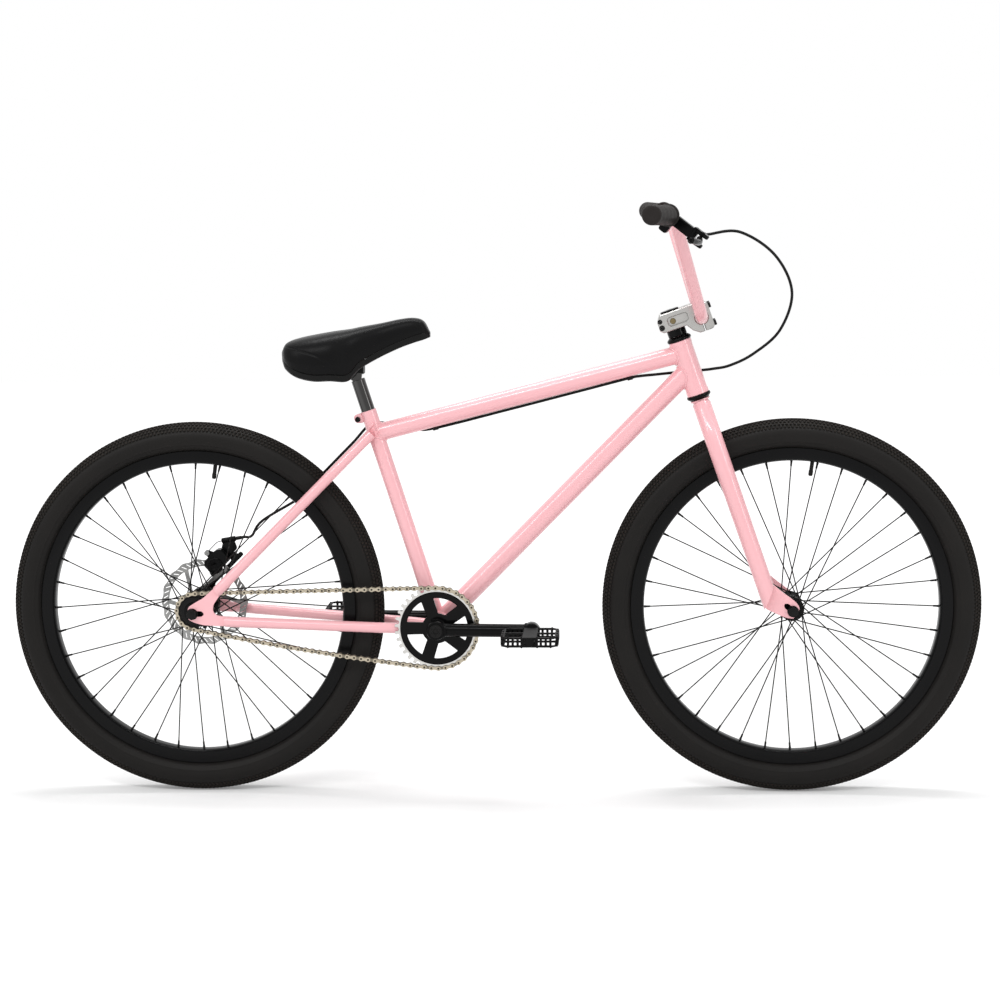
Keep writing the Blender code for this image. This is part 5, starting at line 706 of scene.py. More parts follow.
STEM_HALF = 0.025
STEM_TOP = STEM_FOOT + 0.032
STEM_REACH = 0.049
STEM_BACK = STEERER_RADIUS + 0.0127
BAR_HEIGHT = STEM_FOOT + 0.0045
BAR_RADIUS = 0.0111
CLAMP_HALF = 0.0244
FACE_FRONT = STEM_REACH + 0.018
FACE_CORNER = 0.007
STEM_EASE = 0.0014
RECESS_FLOOR = 0.0190

raw_aluminium = finish(
    "raw_aluminium", (0.50, 0.49, 0.47), (0.36, 0.36, 0.35), 22, (0.24, 0.38), 500, 0.06, metallic=1.0,
    stretch=(1, 4, 1)
)


def arc(centre, radius, start, end, steps):
    """Points on a circle, by its centre and by the first and last angle in degrees."""
    angle = np.radians(np.linspace(start, end, steps + 1))
    return [(centre[0] + radius * math.cos(a), centre[1] + radius * math.sin(a)) for a in angle]


def rectangle(left, right, low, high, radius):
    """A rectangle's outline with rounded corners."""
    return rounded([(left, low), (right, low), (right, high), (left, high)], radius)


def rod(radius, low, high):
    """The section of a solid round bar, from one pole to the other."""
    return band(POLE, radius, low, high)


def in_stem(ahead, height, left):
    """A point of the stem's side view, by its distances ahead of the steerer's axis and up it."""
    return on_steerer(height, ahead, left)


split = STEM_REACH - 0.001
foot, top = BAR_HEIGHT - CLAMP_HALF, BAR_HEIGHT + CLAMP_HALF
bar_centre = (STEM_REACH, BAR_HEIGHT)
front = [(split, STEM_TOP - 0.002), *arc(bar_centre, BAR_RADIUS + 0.0003, 95, 265, 24), (split, foot)]
front += [(split - 0.009, foot), (split - 0.020, foot + 0.008), (STEERER_RADIUS + 0.006, STEM_FOOT)]
core = [*front, (0.002, STEM_FOOT), (0.002, STEM_TOP), (split - 0.002, STEM_TOP)]
whole = [*front, (-STEM_BACK + 0.006, STEM_FOOT), (-STEM_BACK, STEM_FOOT + 0.005)]
whole += [(-STEM_BACK, STEM_TOP - 0.012), (-STEM_BACK + 0.008, STEM_TOP), (split - 0.002, STEM_TOP)]
recess = rectangle(-0.0085, 0.0270, STEM_FOOT + 0.0078, STEM_FOOT + 0.0225, 0.005)
parts = [slab([core], in_stem, -0.003, 0.003, 0.0001)]
for side in (-1, 1):
    wall = sorted((side * 0.001, side * RECESS_FLOOR))
    cheek = sorted((side * (RECESS_FLOOR - 0.001), side * STEM_HALF))
    parts.append(slab([whole], in_stem, *wall, STEM_EASE))
    parts.append(slab([whole, recess], in_stem, *cheek, STEM_EASE))
dressed("stem_body", parts, "steering", raw_aluminium, "raw_aluminium")

corner = FACE_FRONT - FACE_CORNER
face = arc(bar_centre, BAR_RADIUS + 0.0003, -85, 85, 24)
face += [(split + 0.002, top), (corner, top)]
face += arc((corner, top - FACE_CORNER), FACE_CORNER, 80, 0, 4)
face += arc((corner, foot + FACE_CORNER), FACE_CORNER, 0, -80, 4)
face += [(corner, foot), (split + 0.002, foot)]
plate = slab([face], in_stem, -STEM_HALF, STEM_HALF, STEM_EASE)
dressed("stem_faceplate", [plate], "steering", raw_aluminium, "raw_aluminium")

parts = []
for height in (BAR_HEIGHT - 0.0160, BAR_HEIGHT + 0.0165):
    for left in (-0.0165, 0.0165):
        parts += socket_bolt(on_steerer(height, FACE_FRONT - 0.0005, left), AHEAD, 0.0050, 0.0048, 0.0022)
fitted("faceplate_bolts", parts, "steering", black_steel, "black_metal")
parts = []
for height, radius in ((STEM_FOOT + 0.0097, 0.0050), (STEM_FOOT + 0.0211, 0.0042)):
    seat = on_steerer(height, -STEM_BACK + 0.005, -STEM_HALF + 0.0006)
    parts += socket_bolt(seat, -Y, radius, 0.0022, radius * 0.5)
fitted("pinch_bolts", parts, "steering", black_steel, "black_metal")

# The discs on the recess floors are a darker, brass-toned metal than the stem: painted shade in the recesses.
recess_shade_metal = finish("recess_shade_metal", (0.24, 0.19, 0.10), (0.14, 0.11, 0.06), 60, (0.26, 0.38), 600, 0.05, metallic=1.0)
parts = []
for side in (-1, 1):
    seat = on_steerer(STEM_FOOT + 0.0150, 0, side * RECESS_FLOOR)
    parts.append(turned(eased(rod(0.0052, 0, 0.0018), 0.0005), seat, side * Y, 36))
fitted("stem_recess_shade", parts, "steering", recess_shade_metal, "raw_aluminium")

cap_foot = STEM_TOP + 0.0003
cap = [(POLE, cap_foot - 0.0025), (0.0113, cap_foot - 0.0025), (0.0113, cap_foot), (0.0166, cap_foot)]
cap += [(0.0168, cap_foot + 0.0018), (0.0156, cap_foot + 0.0029), (POLE, cap_foot + 0.0029)]
top_cap = turned(eased(cap, 0.0004), STEERER_FOOT, UP_STEERER)
dressed("stem_top_cap", [top_cap], "steering", gloss_black, "black_aluminium")
parts = socket_bolt(on_steerer(cap_foot + 0.0022), UP_STEERER, 0.0050, 0.0008, 0.0026)
fitted("top_cap_bolt", parts, "steering", black_steel, "black_metal")


# The handlebar is bent from one pink tube with a high rise, and a thinner crossbar is welded between its
# risers. Ribbed rubber grips with a rounded end cover the last 138 mm.

BAR_RISE = 0.187
BAR_LEAN = math.radians(73.9)
BAR_BACKSWEEP = math.radians(12)
BAR_UPSWEEP = math.radians(1)
BAR_FLAT = 0.058
BAR_STRAIGHT_END = 0.180
BAR_TOP_CORNER = 0.358 - BAR_STRAIGHT_END
BAR_BEND = 0.050
CROSSBAR_RADIUS = 0.00795
CROSSBAR_SHARE = 0.105 / BAR_RISE
GRIP_LENGTH = 0.138
GRIP_RADIUS = 0.0165
GRIP_GROOVES = 16
GRIP_RIBBED = 0.134
GRIP_GROOVE_DEPTH = 0.0007


def bar_corners(side):
    """The bar's corners on one side: at the clamp, at the top of the rise and at the tip."""
    centre = on_steerer(BAR_HEIGHT, STEM_REACH)
    up = np.array((-math.cos(BAR_LEAN), 0, math.sin(BAR_LEAN)))
    top = centre + BAR_RISE * up + side * BAR_TOP_CORNER * Y
    outwards = np.array((-math.tan(BAR_BACKSWEEP), side, math.tan(BAR_UPSWEEP)))
    return [centre + side * BAR_FLAT * Y, top, top + BAR_STRAIGHT_END * outwards]


def bent(corners, radius, steps):
    """Straight runs joined by round bends. A bend starts radius times the tangent of half its angle before
    its corner, and turns about a centre on the line that halves the corner."""
    points = [corners[0]]
    for before, corner, after in zip(corners, corners[1:], corners[2:]):
        start, end = unit(before - corner), unit(after - corner)
        half = math.acos(np.clip(start @ end, -1, 1)) / 2
        centre = corner + radius / math.sin(half) * unit(start + end)
        first = corner + radius / math.tan(half) * start - centre
        last = corner + radius / math.tan(half) * end - centre
        for share in np.linspace(0, 1, steps + 1):
            points.append(centre + radius * unit((1 - share) * first + share * last))
    return np.array([*points, corners[-1]])


crossbar_foot = bar_corners(-1)[0] + CROSSBAR_SHARE * (bar_corners(-1)[1] - bar_corners(-1)[0])
path = bent([*reversed(bar_corners(-1)), *bar_corners(1)], BAR_BEND, 14)
parts = [pipe(path, BAR_RADIUS, X, 40)]
seams = []
for side in (-1, 1):
    foot, top, _ = bar_corners(side)
    seams.append(mitre(crossbar_foot, -Y, CROSSBAR_RADIUS, foot, top - foot, BAR_RADIUS, side, X))
    parts.append(bead(seams[-1], foot, top - foot))
parts.append(straight_tube(seams[0][0], seams[1][0]))
painted("handlebar", parts, "steering")

grip_rubber = finish(
    "grip_rubber", (0.017, 0.0135, 0.012), (0.009, 0.0075, 0.007), 18, (0.46, 0.60), 900, 0.25, mirror=0.16
)
for word, side in SIDES:
    _, top, tip = bar_corners(side)
    along = np.linspace(-GRIP_LENGTH + 0.0045, -0.004, GRIP_GROOVES * 8 + 1)
    wave = np.cos(along * 2 * math.pi * GRIP_GROOVES / GRIP_RIBBED)
    groove = GRIP_RADIUS - GRIP_GROOVE_DEPTH * np.clip(-2 * wave, 0, 1)
    profile = [(0.0115, -GRIP_LENGTH), (0.0190, -GRIP_LENGTH), (0.0194, -GRIP_LENGTH + 0.0016)]
    profile += [(0.0188, -GRIP_LENGTH + 0.003), (GRIP_RADIUS, -GRIP_LENGTH + 0.0042), *zip(groove, along)]
    profile += [(GRIP_RADIUS, -0.002)]
    profile += [(0.0125 + 0.004 * math.cos(a), 0.004 * math.sin(a)) for a in (0, 0.5, 1, 1.4)]
    profile += [(0.009, 0.0038), (POLE, 0.0032), (POLE, 0.0004), (0.0115, 0.0004)]
    grip = turned(profile, tip, tip - top, closed=True)
    dressed(word + "_grip", [grip], "steering", grip_rubber, "grip_rubber", 45)


# The brake lever is black aluminium. A clamp round the bar carries a short arm with a forked yoke, and the
# curved two finger blade turns on a pin in it. The cable enters through a barrel on the inner side.

LEVER_DROP = math.radians(37)
LEVER_FROM_TIP = GRIP_LENGTH + 0.009
LEVER_PIVOT = 0.064
BARREL_LINE = (0.0615, 0.007)

_, lever_top, lever_tip = bar_corners(-1)
lever_out = unit(lever_tip - lever_top)
lever_place = lever_tip - LEVER_FROM_TIP * lever_out
lever_ahead = unit(square_to(np.array((math.cos(LEVER_DROP), 0, -math.sin(LEVER_DROP))), lever_out))
lever_over = np.cross(lever_out, lever_ahead)

satin_black = finish(
    "satin_black", (0.0032, 0.0032, 0.0034), (0.002, 0.002, 0.002), 14, (0.14, 0.22), 420, 0.04, mirror=0.08
)


def at_lever(out, ahead, over=0.0):
    """A point by its distances out along the grip from the clamp, towards the blade and over the lever."""
    return lever_place + out * lever_out + ahead * lever_ahead + over * lever_over


def beside_lever(ahead, over, out):
    """The same point, for outlines that are seen along the grip."""
    return at_lever(out, ahead, over)


def circle(radius, steps=24, centre=(0.0, 0.0)):
    """A regular outline of many sides."""
    angle = np.linspace(0, 2 * math.pi, steps, endpoint=False)
    return np.stack([centre[0] + radius * np.cos(angle), centre[1] + radius * np.sin(angle)], -1)


parts = [slab([circle(0.0155, 48), circle(BAR_RADIUS + 0.0002, 48)], beside_lever, -0.007, 0.007, 0.0010)]
arm = rounded([(-0.0080, 0.0125), (0.0080, 0.0125), (0.0095, 0.055), (-0.0095, 0.055)], 0.003)
parts.append(slab([arm], at_lever, -0.0095, 0.0095, 0.0022))
ear = [(-0.0095, 0.049), (0.0095, 0.049), (0.0085, 0.070), (0.003, 0.0755), (-0.006, 0.0755)]
ear += [(-0.0095, 0.070)]
for low, high in ((-0.0125, -0.0056), (0.0056, 0.0125)):
    parts.append(slab([rounded(ear, 0.005)], at_lever, low, high, 0.0012))
yoke = rounded([(-0.0095, 0.047), (0.0095, 0.047), (0.0085, 0.0575), (-0.0085, 0.0575)], 0.002)
parts.append(slab([yoke], at_lever, -0.0125, 0.0125, 0.0012))
clamp_ear = rectangle(-0.002, 0.014, -0.028, -0.012, 0.005)
parts.append(slab([clamp_ear], beside_lever, -0.006, 0.006, 0.0010))
barrel = [(POLE, 0), (0.0045, 0), (0.0045, 0.006), (0.0038, 0.0065), (0.0045, 0.008), (0.0045, 0.017)]
barrel += [(0.0034, 0.0185), (0.0034, 0.0195), (POLE, 0.0195)]
parts.append(turned(eased(barrel, 0.0003), at_lever(-0.0085, *BARREL_LINE), -lever_out, 40))
dressed("brake_lever_bracket", parts, "steering", satin_black, "black_aluminium")
parts = socket_bolt(at_lever(-0.0055, 0.006, -0.021), -lever_out, 0.0042, 0.0028, 0.0021)
fitted("lever_clamp_bolt", parts, "steering", black_steel, "black_metal")

blade = [(-0.0015, 0.064), (0.016, 0.068), (0.040, 0.0725), (0.066, 0.071), (0.084, 0.0672), (0.0905, 0.067)]
path = flowing([at_lever(*corner) for corner in blade], 8)
path = np.vstack([path[:1] - 0.003 * unit(path[1] - path[0]), path, path[-1:] + 0.0028 * lever_out])
share = np.linspace(0, 1, len(path))
radii = np.interp(share, (0, 0.06, 0.2, 0.85, 0.95, 1), (0.0034, 0.0054, 0.0053, 0.0050, 0.0058, 0.0030))
parts = [pipe(path, radii, lever_over, 28, np.interp(share, (0, 0.2, 1), (1.0, 1.0, 1.05)))]
pin = [(POLE, -0.0132), (0.0034, -0.0132), (0.0034, -0.0127), (0.0019, -0.0127), (0.0019, 0.0127)]
pin += [(0.0034, 0.0127), (0.0034, 0.0132), (POLE, 0.0132)]
parts.append(turned(pin, at_lever(0, LEVER_PIVOT), lever_over, 28))
dressed("brake_lever_blade", parts, "brake_lever", satin_black, "black_aluminium")


# Both wheels have black double wall rims, 36 black steel spokes crossed three times, and 26 inch wire
# beaded tyres of black rubber. Small square knobs stand on the tread, and the sidewalls are smooth.

TYRE_HALF = 0.0285
TYRE_MIDDLE = TYRE_RADIUS - TYRE_HALF
BEAD_SEAT = 0.2795
RIM_HALF = 0.016
RIM_FLANGE = 0.006
RIM_INSIDE = 0.262
INNER_TUBE_RADIUS = 0.0225
HUB_FLANGE_HALF = 0.00175
KNOB_HEIGHT = 0.0022
KNOB_ROWS = 9
KNOBS_AROUND = 300
TREAD_ANGLE = math.radians(54)
SPOKES = 18
SPOKE_RADIUS = 0.0011
SPOKE_CROSSINGS = 3
VALVE_ANGLE = math.radians(82)

tyre_rubber = finish(
    "tyre_rubber", (0.0125, 0.0112, 0.0102), (0.006, 0.0056, 0.0053), 12, (0.42, 0.60), 1500, 0.20,
    mirror=0.12
)
worn_tread = finish(
    "worn_tread", (0.024, 0.0195, 0.016), (0.008, 0.007, 0.0065), 25, (0.60, 0.80), 1200, 0.30, mirror=0.12
)
black_rim = finish(
    "black_rim", (0.0042, 0.0042, 0.0044), (0.0025, 0.0025, 0.0028), 10, (0.18, 0.28), 500, 0.03, mirror=0.10
)


def tyre_carcass():
    """The tyre's section: a circle down to the beads, with a fine ridge at the foot of each sidewall."""
    angle = np.radians(np.linspace(-132, 132, 67))
    radius = np.full(len(angle), TYRE_HALF - KNOB_HEIGHT)
    side = np.abs(np.degrees(angle))
    radius += KNOB_HEIGHT * 0.75 * np.clip((side - 56) / 12, 0, 1)
    radius += 0.0006 * np.exp(-(((side - 112) / 2.5) ** 2))
    outside = np.stack([TYRE_MIDDLE + radius * np.cos(angle), radius * np.sin(angle)], -1)
    bead_heel = BEAD_SEAT + 0.0003
    foot = [(BEAD_SEAT + RIM_FLANGE + 0.0004, 0.0127), (bead_heel, 0.0127), (bead_heel, 0.0095)]
    inside = np.radians(np.linspace(112, -112, 15))
    hollow = TYRE_HALF - 0.0045
    inner = np.stack([TYRE_MIDDLE + hollow * np.cos(inside), hollow * np.sin(inside)], -1)
    other_foot = [(radius, -along) for radius, along in reversed(foot)]
    return np.vstack([other_foot, outside, foot, inner])


def tread_knobs(centre):
    """Square knobs in rows round the carcass. Each is a block that narrows outwards, and rows alternate.

    A knob's corners are given by their angle round the wheel, their angle round the section, and their
    distance from the section's middle.
    """
    row_angles = np.linspace(-TREAD_ANGLE, TREAD_ANGLE, KNOB_ROWS)
    row, place = np.meshgrid(np.arange(KNOB_ROWS), np.arange(KNOBS_AROUND), indexing="ij")
    section = row_angles[row].ravel()
    around = ((place + 0.5 * (row % 2)) * 2 * math.pi / KNOBS_AROUND).ravel()
    top = np.full(len(section), TYRE_HALF - 0.00005)
    length, width = math.pi / KNOBS_AROUND * 0.58, TREAD_ANGLE / (KNOB_ROWS - 1) * 0.62
    corners = []
    for level, size in ((0, 1.08), (1, 0.92)):
        for turn_sign, side_sign in ((-1, -1), (1, -1), (1, 1), (-1, 1)):
            angle = section + side_sign * width * size
            wheel = around + turn_sign * length * size
            reach = top if level else np.full_like(top, TYRE_HALF - KNOB_HEIGHT - 0.0004)
            radius = TYRE_MIDDLE + reach * np.cos(angle)
            corner = [radius * np.cos(wheel), reach * np.sin(angle), radius * np.sin(wheel)]
            corners.append(np.stack(corner, -1))
    points = centre + np.stack(corners, 1)
    base = 8 * np.arange(len(section))[:, None, None]
    quads = np.array([(4, 5, 6, 7), (0, 1, 5, 4), (1, 2, 6, 5), (2, 3, 7, 6), (3, 0, 4, 7), (3, 2, 1, 0)])
    return points.reshape(-1, 3), (base + quads).reshape(-1, 4).tolist()


def rim_profile():
    """The rim's section: hooked flanges, a bed between them and a shallow curve towards the hub."""
    flange, shoulder = BEAD_SEAT + RIM_FLANGE, RIM_INSIDE + 0.0045
    outside = [(flange, -RIM_HALF + 0.0004), (flange - 0.0012, -RIM_HALF), (shoulder, -RIM_HALF + 0.0002)]
    across = np.linspace(-0.0135, 0.0135, 13)
    arch = [*zip(RIM_INSIDE + 0.0045 * (across / RIM_HALF) ** 4, across)]
    bed = [(flange, RIM_HALF - 0.003), (BEAD_SEAT, RIM_HALF - 0.003), (BEAD_SEAT - 0.002, 0.006)]
    profile = outside + arch + [(radius, -along) for radius, along in reversed(outside)]
    return profile + bed + [(radius, -along) for radius, along in reversed(bed)]


def polar(centre, radius, angle, left):
    """A point by its distance from a wheel's or the cranks' axis, its angle in the side view and its left."""
    return centre + np.array((radius * math.cos(angle), left, radius * math.sin(angle)))


def spoke(start, end, bulge):
    """A round wire with a bend at the hub, and a brass nipple at the rim.

    The wire bows sideways by a half sine between its ends, so crossing wires pass each other.
    """
    share = np.linspace(0, 1, 9)[:, None]
    line = start + share * (end - start) + bulge * np.sin(math.pi * share) * Y
    nipple = [(POLE, -0.011), (0.0017, -0.0108), (0.0019, -0.004), (0.0024, -0.0006), (POLE, 0.0006)]
    return [pipe(line, SPOKE_RADIUS, Y, 8), turned(nipple, end, end - start, 10)]


def spoke_side(axle, side, flange_left, flange_radius):
    """One side's spokes. Each pair leans both ways, by a turn of three spoke spacings."""
    sweep = 2 * math.pi * SPOKE_CROSSINGS / SPOKES
    head = [(POLE, -0.0026), (0.0019, -0.0022), (0.0012, -0.0016), (0.0011, 0.0016), (0.0019, 0.0022)]
    head += [(POLE, 0.0026)]
    holes = flange_radius - 0.003
    parts = []
    for index in range(SPOKES):
        direction = 1 if index % 2 == 0 else -1
        at_hub = 2 * math.pi * index / SPOKES + (math.pi / SPOKES if side > 0 else 0)
        start = polar(axle, holes, at_hub, flange_left + direction * side * 0.0027)
        end = polar(axle, RIM_INSIDE - 0.0002, at_hub + direction * sweep, side * 0.004)
        parts += spoke(start, end, direction * side * -0.0004)
        parts.append(turned(head, polar(axle, holes, at_hub, flange_left), Y, 10))
    return parts


def hub_shell(flanges, flange_radius, ends, barrel):
    """A hub's section: a narrow waist that swells into two flanges by a sixth power, and the ends outside
    them."""
    right, left = flanges
    thick, root = HUB_FLANGE_HALF, barrel + 0.006

    def flange(middle):
        """One flange's rim, a band with its two edges cut back, by its middle's place along the axle."""
        low, high, face = middle - thick, middle + thick, flange_radius - 0.0015
        return [(face, low), (flange_radius, low + 0.0006), (flange_radius, high - 0.0006), (face, high)]

    start = right + thick + 0.005
    reach = left - thick - 0.005 - start
    share = np.linspace(0, 1, 15)
    waist = [*zip(barrel + 0.0035 * (2 * share - 1) ** 6, start + share * reach)]
    right_end, left_end = ends
    bore = AXLE_RADIUS + 0.0005
    profile = [(bore, right_end[0][1]), *right_end, *flange(right), (root, right + thick + 0.0004), *waist]
    profile += [(root, left - thick - 0.0004), *flange(left), *left_end, (bore, left_end[-1][1])]
    return profile


def nut_and_washer(face, outwards):
    """A six sided axle nut with a round washer face, and the thread's end beyond it."""
    nut = [(POLE, 0.0012), (0.0092, 0.0012), (0.0098, 0.0020), (0.0098, 0.0074), (0.0086, 0.0085)]
    nut += [(POLE, 0.0085)]
    thread = [(POLE, 0.0080)]
    for turn_count in range(3):
        thread += [(0.0042, 0.0084 + 0.0007 * turn_count), (0.0047, 0.00875 + 0.0007 * turn_count)]
    thread += [(0.0040, 0.0105), (POLE, 0.0105)]
    washer = turned(eased(rod(0.0103, 0.0001, 0.0014), 0.0004), face, outwards, 40)
    return [washer, turned(nut, face, outwards, 6), turned(thread, face, outwards, 28)]


def axle_parts(centre, plate_inside, shells):
    """A solid axle with a cone and a locknut inside each dropout, and a nut outside it."""
    parts = [turned(rod(AXLE_RADIUS, -plate_inside - 0.006, plate_inside + 0.006), centre, Y, 36)]
    for side, shell in zip((-1, 1), shells):
        outer, locknut = side * (plate_inside - 0.0003), side * (plate_inside - 0.004)
        cone = [(POLE, shell + side * 0.0003), (0.0078, shell + side * 0.0006)]
        cone += [(0.0085, shell + side * 0.004), (0.0085, locknut), (0.0078, outer), (POLE, outer)]
        parts.append(turned(cone, centre, Y, 6))
        parts += nut_and_washer(centre + side * (plate_inside + 0.005) * Y, side * Y)
    return parts


FRONT_FLANGES = (-0.035, 0.035)
REAR_FLANGES = (-0.029, 0.033)
front_ends = ([(0.0125, -0.040), (0.0135, -0.038)], [(0.0135, 0.038), (0.0125, 0.040)])
rear_right = [(0.0172, -0.0575), (0.0174, -0.056), (0.0174, -0.033)]
rear_left = [(0.0235, 0.036), (0.0245, 0.0440), (0.0245, 0.0510), (0.0205, 0.0510), (0.0205, 0.0535)]
rear_left += [(0.0125, 0.0537), (0.0125, 0.0575)]
WHEELS = (
    ("front", FRONT_AXLE, "front_wheel", FRONT_FLANGES, 0.021, front_ends, 0.0155),
    ("rear", REAR_AXLE, "rear_wheel", REAR_FLANGES, 0.029, (rear_right, rear_left), 0.0165),
)
for word, axle, body, flanges, flange_radius, ends, barrel in WHEELS:
    tyre = turned(tyre_carcass(), axle, Y, 180, closed=True)
    dressed(word + "_tyre", [tyre], body, tyre_rubber, "tyre_rubber")
    fitted(word + "_tread", [tread_knobs(axle)], body, worn_tread, "tyre_rubber", sharp=30)
    rim = turned(rim_profile(), axle, Y, 180, closed=True)
    dressed(word + "_rim", [rim], body, black_rim, "black_aluminium")
    for (side_word, side), flange in zip(SIDES, flanges):
        spokes = spoke_side(axle, side, flange, flange_radius)
        dressed(f"{word}_spokes_{side_word}", spokes, body, black_steel, "black_metal", 50)
    shell = turned(hub_shell(flanges, flange_radius, ends, barrel), axle, Y, 64, closed=True)
    dressed(word + "_hub", [shell], body, gloss_black, "black_aluminium")

    ring = [(TYRE_MIDDLE + u, v) for u, v in arc((0, 0), INNER_TUBE_RADIUS, 0, 360, 19)[:-1]]
    stem_out = polar(np.zeros(3), 1, VALVE_ANGLE, 0)
    stem = [(POLE, -0.026), (0.0028, -0.0258), (0.0040, -0.0235), (0.0040, -0.0165), (0.0035, -0.016)]
    stem += [(0.0035, -0.013), (0.0036, 0.004), (0.0048, 0.008), (0.0048, 0.012), (POLE, 0.040)]
    parts = [turned(ring, axle, Y, 120, closed=True)]
    parts.append(turned(stem, axle + RIM_INSIDE * stem_out, stem_out, 28))
    dressed(word + "_inner_tube", parts, body, tyre_rubber, "tyre_rubber")

AXLES = (
    ("front_axle", FRONT_AXLE, 0.050, (-0.040, 0.040), "steering"),
    ("rear_axle", REAR_AXLE, 0.0675, (-0.0575, 0.0575), "frame"),
)
for name, centre, plate_inside, shells, body in AXLES:
    dressed(name, axle_parts(centre, plate_inside, shells), body, black_steel, "black_metal")


# The bottom bracket has a black bearing in each end of the pink shell. A black steel spindle carries two
# tubular cranks of 170 mm, pressed on and held by wide bolts, and each ends in a threaded pedal boss.

CRANKS = (("right", -1, 1), ("left", 1, -1))
CRANK_LENGTH = 0.170
CRANK_RADIUS = 0.01175
BOSS_WIDTH = 0.023
SPINDLE_BOSS_INSIDE = 0.051
PEDAL_BOSS_INSIDE = 0.060
SPINDLE_RADIUS = 0.0095

for word, side in SIDES:
    bearing = [(0.0100, 0.0355), (0.0218, 0.0355), (0.0224, 0.0349), (0.0224, 0.0342), (0.0203, 0.0342)]
    bearing += [(0.0203, 0.025), (0.0100, 0.025)]
    seal = [(0.0120, 0.0352), (0.0120, 0.0358), (0.0176, 0.0358), (0.0176, 0.0352)]
    parts = [turned(eased(shape, 0.0003), CRANK_AXIS, side * Y, closed=True) for shape in (bearing, seal)]
    dressed(word + "_bb_bearing", parts, "frame", satin_black, "black_metal")

parts = [turned(rod(SPINDLE_RADIUS, -0.074, 0.074), CRANK_AXIS, Y)]
for start, end in ((-0.0430, -0.0362), (0.0362, 0.0507)):
    parts.append(turned(eased(rod(0.0125, start, end), 0.0005), CRANK_AXIS, Y))
for side in (-1, 1):
    parts += socket_bolt(CRANK_AXIS + side * 0.0743 * Y, side * Y, 0.0115, 0.0037, 0.0042, 48)
dressed("crank_spindle", parts, "crank", black_steel, "black_metal")


def boss(centre, radius, side):
    """A short cylinder with rounded rims round a crank's end."""
    half = BOSS_WIDTH / 2
    profile = [(POLE, -half), (radius - 0.0015, -half), (radius, -half + 0.0015), (radius, half - 0.0015)]
    profile += [(radius - 0.0015, half), (POLE, half)]
    return turned(eased(profile, 0.0005), centre, side * Y, 56)


def pedal_place(side, forward):
    """Where a pedal's axle leaves the outer face of its crank."""
    return CRANK_AXIS + forward * CRANK_LENGTH * X + side * (PEDAL_BOSS_INSIDE + BOSS_WIDTH) * Y


for word, side, forward in CRANKS:
    inner = CRANK_AXIS + side * (SPINDLE_BOSS_INSIDE + BOSS_WIDTH / 2) * Y
    outer = CRANK_AXIS + forward * CRANK_LENGTH * X + side * (PEDAL_BOSS_INSIDE + BOSS_WIDTH / 2) * Y
    along = outer - inner
    line = inner + np.linspace(0.04, 0.96, 11)[:, None] * along
    parts = [boss(inner, 0.017, side), boss(outer, 0.015, side), pipe(line, CRANK_RADIUS, Y, 48)]
    for place, radius, root in ((inner, 0.017, 1), (outer, 0.015, -1)):
        parts.append(bead(mitre(inner, along, CRANK_RADIUS, place, Y, radius, root), place, Y))
    dressed(word + "_crank_arm", parts, "crank", satin_black, "black_metal")


# The pedals are black moulded platforms on steel axles: a core round the axle, a frame round two pairs of
# windows, and rows of short pins that grip the shoe on both faces.

